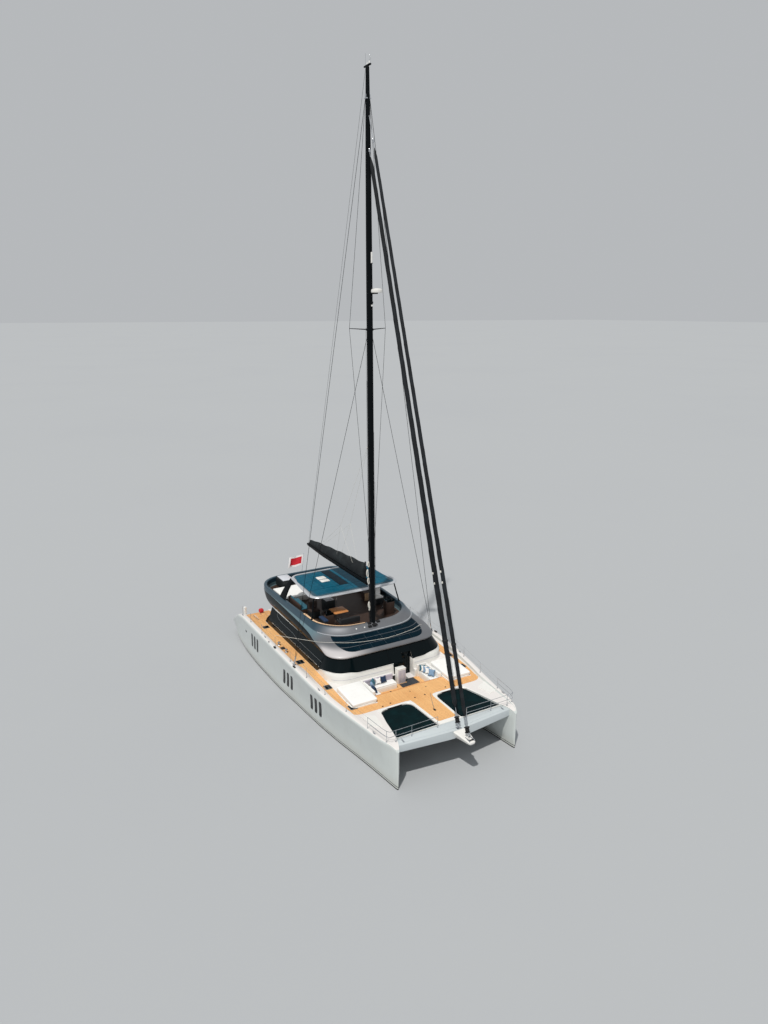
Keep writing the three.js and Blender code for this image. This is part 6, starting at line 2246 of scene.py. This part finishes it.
# %% Masthead, lights and fittings
head = [
    box((1.30, -0.05, 36.36), (1.98, 0.05, 36.44), 0.012),
    lathe([(0.045, 0.0), (0.045, 0.09), (0.035, 0.12), (0.001, 0.125)], (1.86, 0, 36.44),
          sides=16, index=1),
    lathe([(0.035, 0.0), (0.035, 0.07), (0.028, 0.09), (0.001, 0.095)], (1.62, 0, 36.44),
          sides=16, index=1),
    rod((1.42, 0.0, 36.44), (1.42, 0.0, 37.02), 0.008, 6, index=2),
    rod((1.72, 0.03, 36.44), (1.9, 0.03, 36.74), 0.008, 6, index=2),
    lathe([(0.02, -0.03), (0.03, 0.0), (0.02, 0.03)], (1.9, 0.03, 36.76), sides=12, index=2),
    rod((1.78, 0.0, 36.62), (2.06, 0.0, 36.62), 0.006, 6, index=2),
    rod((1.92, 0.0, 36.44), (1.92, 0.0, 36.62), 0.006, 6, index=2),
    lathe([(0.05, 0), (0.05, 0.55), (0.045, 0.58), (0.001, 0.585)], (mast_x(26.8) + 0.30, 0, 26.5),
          sides=18, index=3),
    box((mast_x(26.5) + 0.18, -0.03, 26.47), (mast_x(26.5) + 0.36, 0.03, 26.51), 0.006),
    box((mast_x(24.4) + 0.19, -0.05, 24.32), (mast_x(24.4) + 0.36, 0.05, 24.44), 0.02),
    lathe([(0.05, 0), (0.055, 0.03), (0.04, 0.09), (0.001, 0.1)], (mast_x(24.4) + 0.3, 0, 24.26),
          axis=(0, 0, -1), sides=16, index=1),
    box((mast_x(34.9) - 0.12, -0.16, 34.80), (mast_x(34.9) + 0.12, 0.16, 34.86), 0.012, index=2),
    box((x_spread - 0.15, -0.18, 22.84), (x_spread + 0.15, 0.18, 22.96), 0.02),
]
piece("masthead_gear", head, [carbon, lamp_white, steel, gelcoat], slot="carbon")
dome = lathe([(0.28, 0.0), (0.315, 0.02), (0.32, 0.06), (0.318, 0.12), (0.30, 0.18), (0.22, 0.225),
              (0.10, 0.238), (0.001, 0.24)], (2.62, 0, 24.90), sides=36)
bracket = [box((mast_x(24.9) + 0.17, -0.06, 24.84), (2.66, 0.06, 24.915), 0.015, index=1)]
piece("radar_dome", [dome] + bracket, [gelcoat, carbon], slot="gelcoat", replaces=["radome"])

# %% [markdown]
# ## Boom and sail bag
# The mainsail lies flaked in a canvas bag on the boom. The bag is a lofted shell that sags
# between the lazy jacks, with a zip along its top, and it rides on the boom's body with the boom.

# %% Boom
def boom_ring(x, half, low, high):
    corners = [(-half * 0.6, low), (half * 0.6, low), (half, low + 0.08), (half, high), (-half, high),
               (-half, low + 0.08)]
    return [(x, y, z) for y, z in rounded(corners, 0.05, 4)]


spar = loft([boom_ring(1.48, 0.12, 7.22, 7.50), boom_ring(1.45, 0.15, 7.2, 7.52),
             boom_ring(-1.0, 0.15, 7.2, 7.52),
             boom_ring(-5.0, 0.15, 7.2, 7.52), boom_ring(-7.55, 0.125, 7.31, 7.52),
             boom_ring(-7.65, 0.11, 7.33, 7.5)])
pin = lathe([(0.03, 0.0), (0.03, 0.4)], (1.6, 0, 7.15), sides=20, index=1)
tongue = box((1.43, -0.05, 7.21), (1.60, 0.05, 7.49), 0.01, index=1)
sheaves = [lathe([(0.05, -0.012), (0.055, -0.006), (0.04, 0), (0.055, 0.006), (0.05, 0.012)],
                 (-7.6, y, 7.36), axis=(0, 1, 0), sides=18, index=1) for y in (-0.05, 0.05)]
eyes = [tube([(x, -0.04, 7.21), (x, 0.0, 7.14), (x, 0.04, 7.21)], 0.01, 8, index=1)
        for x in (-2.2, -4.4, -6.3)]
piece("boom_spar", [spar, pin, tongue] + sheaves + eyes, [carbon, steel], body="boom", slot="carbon",
      replaces=["boom"], sharp=45)

# %% Sail bag
BAG = [(-7.32, 0.05, 7.66), (-7.22, 0.12, 7.84), (-4.5, 0.23, 8.15), (-1.0, 0.26, 8.42),
       (0.95, 0.20, 8.55), (1.02, 0.16, 8.56), (1.06, 0.08, 8.50)]
BAG_FOOT = 7.5203


def bag_ring(x):
    half, top = column(BAG, 1, x), column(BAG, 2, x)
    sag = 0.045 * (0.5 - 0.5 * math.cos(2 * math.pi * (x + 7.3) / 1.67))
    top -= sag
    ripple = 0.012 * math.sin(x * 9.0) + 0.008 * math.sin(x * 23.0)
    ring = []
    for k in range(28):
        a = math.pi * k / 27
        swell = math.sin(a) ** 0.55
        u = k / 27
        z = mix(BAG_FOOT, top, 0.5 - 0.5 * math.cos(a))
        belly = 1.0 - 0.62 * smoothstep(0.45, 1.0, u) - 0.25 * (1 - smoothstep(0.0, 0.2, u))
        ring.append((x, half * swell * belly + ripple * swell * (1 if u < 0.9 else 0), z))
    back = [(px, -py + 2 * ripple * (0.2 if 0.1 < i / 27 < 0.9 else 0), pz)
            for i, (px, py, pz) in enumerate(ring)]
    return ring + back[-2:0:-1]


bag = loft([bag_ring(x) for x in spread(-7.32, -7.1, 5) + spread(-7.0, 0.8, 90) + spread(0.86, 1.06, 6)])
zip_line = tube([(x, 0, max(p[2] for p in bag_ring(x)) + 0.004) for x in spread(-7.25, 1.0, 60)],
                0.013, 6, index=1)
piece("sail_bag_canvas", [bag, zip_line], [canvas, black_rubber], body="boom", slot="canvas",
      replaces=["sail_bag"], sharp=80)
sail_head = loft([[(1.12 + 0.05 * math.cos(a), 0.05 * math.sin(a), z) for a in full_turn(10)]
                  for z in (7.56, 8.5, 8.62, 8.66)])
piece("flaked_luff", [sail_head], [sun_strip], body="boom", slot="canvas")

# %% [markdown]
# ## Headsails
# Both headsails are rolled on their furlers. A rolled sail is not a smooth rod: the cloth winds
# round in a spiral, its leech shows as a low ridge, and the roll is thickest in its lower part.
# The rings of the loft turn as they climb, which draws that spiral.

# %% Furled headsails
STAYS = {
    "headsail_inner": ((11.5, 0, 2.35), (1.6, 0, 33.0), 0.035, 0.965, 0.150),
    "headsail_outer": ((12.42, 0, 2.20), (1.6, 0, 34.6), 0.035, 0.93, 0.120),
}


def furled(foot, head, start, end, radius, turns=19):
    low, high = Vector(foot), Vector(head)
    along = (high - low).normalized()
    across = Vector((0, 1, 0))
    out = along.cross(across)
    rings = []
    steps = 230
    for k in range(steps + 1):
        t = k / steps
        share = mix(start, end, t)
        lower = mix(0.8, 1.0, smoothstep(0.0, 0.2, t))
        upper = mix(1.0, 0.7, (share - 0.25) / (end - 0.25))
        size = radius * (lower if share < 0.25 else upper)
        ends = min(1.0, t / 0.012 + 0.25, (1 - t) / 0.02 + 0.2)
        centre = low + (high - low) * share
        ring = []
        for angle in full_turn(22):
            phase = (angle - 2 * math.pi * turns * t) % (2 * math.pi) / (2 * math.pi)
            ridge = 0.93 + 0.09 * (1 - phase) ** 2
            ring.append(centre + (across * math.cos(angle) + out * math.sin(angle)) * size * ridge * ends)
        rings.append(ring)
    return loft(rings)


def stay_forms(foot, head, start, end, radius):
    low, high = Vector(foot), Vector(head)
    along = (high - low).normalized()
    at = lambda t: low + (high - low) * t
    wire = tube([at(-0.001), at(0.5), at(0.996)], 0.020, 10, index=1)
    drum = lathe([(0.05, 0), (0.145, 0.01), (0.15, 0.03), (0.06, 0.05), (0.055, 0.24), (0.15, 0.27),
                  (0.15, 0.30), (0.05, 0.33)], at(0.010), axis=along, sides=28, index=3)
    rolled_line = lathe([(0.06, 0.06), (0.11, 0.07), (0.118, 0.15), (0.11, 0.22), (0.06, 0.23)],
                        at(0.010), axis=along, sides=24, index=3)
    swivel = lathe([(0.04, 0), (0.06, 0.02), (0.06, 0.2), (0.04, 0.24)], at(min(end + 0.008, 0.985)),
                   axis=along, sides=18, index=1)
    tie = lathe([(radius * 0.9, 0.0), (radius + 0.012, 0.02), (radius + 0.012, 0.12),
                 (radius * 0.9, 0.14)],
                at(0.145), axis=along, sides=24, index=3)
    tags = [box(at(t) + Vector((0.02, -radius - 0.03, -0.06)),
                at(t) + Vector((0.10, -radius + 0.02, 0.05)), 0.01, 2, index=2) for t in (0.245, 0.262)]
    return [furled(foot, head, start, end, radius), wire, drum, rolled_line, swivel, tie] + tags


for name, values in STAYS.items():
    piece(f"{name}_rolled", stay_forms(*values), [sun_strip, steel, rope_white, black_rubber],
          slot="canvas", replaces=[name], sharp=55)
print("headsails:", list(STAYS))

# %% [markdown]
# ## Standing and running rigging
# Two shrouds on each side, diamond wires over the spreaders, the lazy jacks and the topping lift
# are taut lines, so each is a straight tube between its ends. A catenary would be truer for a
# slack line, but none of these is slack. What moves with the boom rides on the boom. The spare
# ends of the halyards hang on the mast as a coil and as bundles.

# %% Shrouds
CHAINPLATE = (1.2, 5.07, 2.85)


def shroud_forms():
    upper, lower = (mast_x(35.0), 0.112, 35.0), (mast_x(22.5), 0.172, 22.5)
    tip = (x_spread - 0.25, 1.182, 22.96)
    root = (mast_x(9.6), 0.172, 9.6)
    forms = [tube([CHAINPLATE, upper], 0.012, 8), tube([CHAINPLATE, lower], 0.012, 8),
             tube([upper, tip], 0.010, 8), tube([root, tip], 0.010, 8)]
    for end, start in ((upper, CHAINPLATE), (lower, CHAINPLATE)):
        way = (Vector(end) - Vector(start)).normalized()
        forms.append(lathe([(0.014, 0.12), (0.024, 0.14), (0.024, 0.5), (0.014, 0.54)],
                           start, axis=way, sides=12, index=1))
    forms.append(box((1.10, 5.05, 2.80), (1.30, 5.09, 3.02), 0.012, index=1))
    forms.append(box((1.05, 4.99, 2.845), (1.35, 5.15, 2.862), 0.006, index=1))
    forms.append(box((mast_x(35.0) - 0.045, 0.09, 34.88), (mast_x(35.0) + 0.045, 0.15, 35.04),
                     0.01, index=1))
    return forms


pair("shroud_wires", shroud_forms(), [carbon, steel], slot="steel", replaces="shrouds")

# %% Lazy jacks, topping lift and halyards
jack_forms = []
for side in (1, -1):
    knot = (-1.6, side * 0.36, 10.4)
    jack_forms.append(tube([(1.45, side * 0.02, 16.0), knot], 0.006, 6))
    for x in (-0.2, -2.6, -5.2):
        half = column(BAG, 1, x)
        jack_forms.append(tube([knot, (x, side * (half * 0.62 + 0.01), 8.05)], 0.006, 6))
jack_forms.append(lathe([(0.001, -0.04), (0.032, -0.02), (0.032, 0.02), (0.001, 0.04)], (1.45, 0, 16.0),
                        sides=12))
piece("lazy_jacks", jack_forms, [rope_white], body="boom", slot="canvas")
topping = tube([(-7.58, 0, 7.52), (1.42, 0, 36.3)], 0.007, 6)
piece("topping_lift", [topping], [rope_dark], body="boom", slot="canvas")

halyards = []
for k, (dx, dy) in enumerate(((0.16, 0.175), (0.06, 0.185), (-0.06, 0.185), (-0.17, 0.16))):
    for side in (1, -1):
        foot_z, head_z = 4.85 + 0.1 * k, 14.0 + 3.0 * k
        halyards.append(tube([(mast_x(foot_z) + dx, side * dy, foot_z),
                              (mast_x(head_z) + dx, side * dy, head_z)],
                             0.007, 6, index=1))
coil = [(1.99 + 0.02 * turn, -0.22 - 0.03 * math.sin(a), 5.9 + 0.20 * math.cos(a) + 0.012 * turn)
        for turn in range(5) for a in full_turn(16)]
halyards.append(tube(coil, 0.008, 6))
for y, z, tall in ((-0.27, 7.72, 0.42), (-0.33, 8.22, 0.5), (-0.26, 8.80, 0.36), (-0.24, 6.1, 0.45)):
    loop = []
    for k in range(40):
        a = 2 * math.pi * k / 8
        loop.append((mast_x(z) + 0.02 + 0.03 * math.sin(a * 0.37) + 0.001 * k,
                     y + 0.075 * math.cos(a) * (0.7 + 0.3 * math.sin(k * 0.7)),
                     z + tall * 0.5 * math.sin(a)))
    halyards.append(tube(loop, 0.016, 6))
piece("halyards", halyards, [rope_white, rope_dark], slot="canvas")
print("rigging placed")

# %% [markdown]
# ## Guard rails
# Stainless stanchions stand on the gunwale with two wires between them, and pulpits bend round
# the bows in 25 mm tube. Each stanchion has a round base, and each pulpit is one bent tube, not
# a row of straight bars.

# %% Guard rails and pulpits
STANCHION_X = [9.3, 7.3, 5.2, 3.0, 0.7, -1.7, -4.1, -6.3, -8.1]
RAIL_HEIGHTS = (0.324, 0.634)


def rail_foot(x):
    edge, height = gunwale_at(x)
    breadth = edge - HULL_Y
    return (x, HULL_Y + breadth - min(0.46, breadth * 0.5) * 0.45, height)


def rail_forms():
    feet = [rail_foot(x) for x in STANCHION_X]
    forms = []
    for x, y, z in feet:
        forms.append(rod((x, y, z - 0.02), (x, y, z + 0.642), 0.0125, 10))
        forms.append(lathe([(0.045, 0), (0.045, 0.01), (0.022, 0.025), (0.018, 0.07)], (x, y, z),
                           sides=16))
        forms.append(lathe([(0.0125, 0), (0.014, 0.008), (0.001, 0.018)], (x, y, z + 0.64), sides=10))
    bow = [(x, y, z) for x, y, z in (rail_foot(9.3), rail_foot(10.9), (11.05, 3.65, 2.48),
                                     (10.92, 2.6, 2.38), (10.9, 0.95, 2.38))]
    for height in RAIL_HEIGHTS:
        forms.append(tube([(x, y, z + height) for x, y, z in feet], 0.004, 6))
        line = path_through([(x, y, z + height) for x, y, z in bow], 8)
        forms.append(tube(line, 0.0125, 10))
    for x, y, z in bow[1:]:
        forms.append(rod((x, y, z - 0.02), (x, y, z + 0.634), 0.0125, 10))
        forms.append(lathe([(0.045, 0), (0.045, 0.01), (0.022, 0.025), (0.018, 0.06)], (x, y, z - 0.004),
                           sides=16))
    return forms


pair("guard_rail_tubes", rail_forms(), [steel], slot="steel", replaces="guard_rail")
print("stanchions on each side:", len(STANCHION_X) + 4)

# %% [markdown]
# ## Deck gear
# Winches, hatches, cleats and fairleads give the decks their scale. They are small turned or
# bent parts, placed where they stand on the real deck.

# %% Hatches and winches
def flush_hatch(x, y, length, width):
    """A dark pane in a grey frame, flush in the deck."""
    z = deck_surface(x, y)
    x0, x1, y0, y1 = x - length / 2, x + length / 2, y - width / 2, y + width / 2
    rim = prism(rounded(rectangle(x0, x1, y0, y1), 0.06), z - 0.02, z + 0.022, soft=0.006, index=1)
    pane = prism(rounded(rectangle(x0 + 0.03, x1 - 0.03, y0 + 0.03, y1 - 0.03), 0.05),
                 z + 0.01, z + 0.027, soft=0.004)
    return [pane, rim]


def winch(x, y, z, size=1.0):
    profile = [(0.11, 0.0), (0.11, 0.02), (0.085, 0.03), (0.07, 0.05), (0.062, 0.11), (0.07, 0.15),
               (0.088, 0.165), (0.088, 0.18), (0.06, 0.19), (0.055, 0.205), (0.001, 0.21)]
    return lathe([(r * size, h * size) for r, h in profile], (x, y, z), sides=28)


HATCHES = ((-5.2, 4.44, 0.42, 0.42), (0.83, 4.52, 0.5, 0.46), (4.33, 4.30, 0.5, 0.42))
FORE_HATCH = {"starboard": (6.88, 3.98, 0.5, 0.46), "port": (5.9, 4.28, 0.46, 0.34)}
for name, side in SIDES:
    forms = [form for spec in HATCHES + (FORE_HATCH[name],) for form in flush_hatch(*spec)]
    piece(f"deck_hatches_{name}", on_side(side, *forms), [black_glass, grey_trim], slot="glass")
    forms = [winch(-2.08, 4.74, 2.73, 1.1), winch(-0.87, 4.73, 2.73, 1.1)]
    forms += [box((-1.62, 4.60, 2.728), (-1.32, 4.86, 2.79), 0.02, index=1)]
    piece(f"winches_{name}", on_side(side, *forms), [steel, black_rubber], slot="steel")

# %% Cleats and fairleads
def cleat(x, y, z, length=0.34):
    half = length / 2
    horn = tube([(x - half, y, z + 0.055), (x - half * 0.5, y, z + 0.062), (x, y, z + 0.064),
                 (x + half * 0.5, y, z + 0.062), (x + half, y, z + 0.055)],
                [0.009, 0.014, 0.016, 0.014, 0.009], 10)
    legs = [tube([(x + dx, y, z - 0.005), (x + dx * 0.8, y, z + 0.06)], 0.013, 10)
            for dx in (-0.06, 0.06)]
    return [horn, box((x - 0.1, y - 0.03, z - 0.005), (x + 0.1, y + 0.03, z + 0.006), 0.003)] + legs


def on_gunwale(x, inset=0.16):
    edge, height = gunwale_at(x)
    return x, edge - inset, height


for name, side in SIDES:
    forms = []
    for x in (9.9, 4.6, -3.4, -8.0):
        forms += cleat(*on_gunwale(x, 0.12 if x > 9 else 0.16))
    for x in (-1.55, 1.51):
        px, py, pz = on_gunwale(x, 0.1)
        forms.append(box((px - 0.14, py - 0.06, pz - 0.005), (px + 0.14, py + 0.05, pz + 0.06),
                         0.02, index=1))
    px, py, pz = on_gunwale(-2.52, 0.08)
    forms.append(box((px - 0.05, py - 0.04, pz - 0.005), (px + 0.05, py + 0.03, pz + 0.06),
                     0.015, index=2))
    piece(f"cleats_{name}", on_side(side, *forms), [steel, black_rubber, grey_trim], slot="steel")


def locker_lid(corners):
    """A white lid on the hull deck beside the net, a thumb's width proud."""
    rings = [[(x, y, deck_z(x) + up) for x, y in rounded(line, 0.09, 4)]
             for line, up in ((corners, -0.02), (corners, 0.026))]
    top = [(mix(x, 8.7, 0.012), y, z + 0.008) for x, y, z in rings[-1]]
    return loft(rings + [top])


LID_CORNERS = {"starboard": [(7.95, 3.90), (8.25, 3.30), (9.45, 3.46), (9.10, 4.08)],
               "port": [(7.95, 4.62), (8.45, 3.55), (9.45, 3.72), (9.25, 4.45)]}
for name, side in SIDES:
    piece(f"locker_lid_{name}", on_side(side, locker_lid(LID_CORNERS[name])), [gelcoat], slot="gelcoat")
    eye = [(0.05, 0), (0.05, 0.012), (0.025, 0.03), (0.001, 0.034)]
    eyes = [lathe(eye, (x, y, 2.408), sides=16, index=1)
            for x, y in ((7.51, 1.89), (7.6, 2.45), (7.66, 0.34))]
    piece(f"deck_eyes_{name}", on_side(side, *eyes, *cleat(11.11, 3.26, 2.383)), [steel, black_rubber],
          slot="steel")
    post = prism(rounded(rectangle(-9.1, -8.9, 4.5, 4.7), 0.05), 2.2, 2.9, soft=0.03, steps=3)
    piece(f"stern_post_{name}", on_side(side, post), [gelcoat], slot="gelcoat")
pad("red_bag", (-8.28, -3.86, 2.60), (-7.96, -3.50, 2.90),
    red_cover, soft=0.12, crown=0.03, coarse=0.05, welt=False)
print("deck gear placed")

# %% [markdown]
# ## Bow gear
# The outer stay stands on the bowsprit and the inner one on the crossbeam, each on a tack
# plate. The anchor roller lies at the tip of the bowsprit, and small fittings and a thin pole
# stand on the walkway and the foredeck.

# %% Bow gear
roller = [box((12.30, -0.16, 2.185), (12.72, -0.12, 2.30), 0.012),
          box((12.30, 0.12, 2.185), (12.72, 0.16, 2.30), 0.012),
          lathe([(0.05, -0.11), (0.035, -0.03), (0.03, 0), (0.035, 0.03), (0.05, 0.11)], (12.62, 0, 2.25),
                axis=(0, 1, 0), sides=20, index=1)]
plates = [box((11.38, -0.14, 2.375), (11.62, 0.14, 2.40), 0.008),
          box((11.44, -0.02, 2.39), (11.56, 0.02, 2.62), 0.01),
          box((12.30, -0.10, 2.19), (12.54, 0.10, 2.225), 0.008),
          box((12.36, -0.02, 2.21), (12.46, 0.02, 2.60), 0.01)]
fittings = [box((9.26, -0.16, 2.408), (9.46, -0.06, 2.45), 0.012, index=1),
            lathe([(0.05, 0), (0.05, 0.012), (0.02, 0.03), (0.001, 0.035)], (6.37, -1.21, 2.41),
                  sides=16, index=1),
            lathe([(0.035, 0), (0.035, 0.01), (0.001, 0.014)], (6.9, 0.9, 2.41), sides=16, index=1),
            lathe([(0.035, 0), (0.035, 0.01), (0.001, 0.014)], (6.9, -0.2, 2.41), sides=16, index=1)]
pole = tube([(9.35, -0.11, 2.44), (9.2, -0.2, 2.9), (9.1, -0.25, 3.35)], 0.012, 8)
piece("bow_fittings", roller + plates + fittings + [pole], [steel, black_rubber], slot="steel")

# %% [markdown]
# ## Ensign
# The staff leans aft from the coaming with a red ensign. The flag is one sheet hung by its hoist,
# with folds that grow toward the fly. It has a plain white border, made from the faces near the
# edges, and nothing is drawn on it.

# %% Ensign staff and flag
STAFF_FOOT, STAFF_HEAD = Vector((-8.735, -0.10, 4.95)), Vector((-8.95, 0.18, 6.25))
FLAG_FROM, FLAG_TO, FLAG_LENGTH = 0.38, 0.96, 1.18
FLAG_COLUMNS, FLAG_ROWS, FLAG_BORDER = 36, 24, 4


def flag_form():
    points = []
    for i in range(FLAG_COLUMNS + 1):
        u = i / FLAG_COLUMNS
        for j in range(FLAG_ROWS + 1):
            v = j / FLAG_ROWS
            hoist = STAFF_FOOT.lerp(STAFF_HEAD, mix(FLAG_FROM, FLAG_TO, v))
            wave = 0.07 * u * math.sin(7.5 * u + 1.6 * v) + 0.025 * u * math.sin(17 * u - 3 * v)
            points.append((hoist.x - 0.20 * u + wave, hoist.y - 1.13 * u + 0.04 * u * u * v,
                           hoist.z - 0.13 * u - 0.05 * u * u * (1 - v) + 0.02 * math.sin(9 * u)))
    return points, grid_faces(FLAG_COLUMNS, FLAG_ROWS), 0


staff = [tube([STAFF_FOOT - Vector((0, 0, 0.02)), STAFF_HEAD], [0.016, 0.012], 12),
         lathe([(0.04, 0.0), (0.04, 0.01), (0.024, 0.03), (0.022, 0.12)], (-8.733, -0.102, 4.951),
               axis=(STAFF_HEAD - STAFF_FOOT).normalized(), sides=18),
         lathe([(0.012, 0), (0.026, 0.012), (0.026, 0.03), (0.001, 0.045)], STAFF_HEAD,
               axis=(STAFF_HEAD - STAFF_FOOT).normalized(), sides=14)]
piece("ensign_staff", staff, [steel], slot="steel", replaces=["ensign"])
flag = piece("ensign_flag", [flag_form()], [ensign_red, ensign_white], slot="ensign", sharp=80)
for face in flag.data.polygons:
    i, j = divmod(face.index, FLAG_ROWS)
    if min(i, FLAG_COLUMNS - 1 - i, j, FLAG_ROWS - 1 - j) < FLAG_BORDER:
        face.material_index = 1
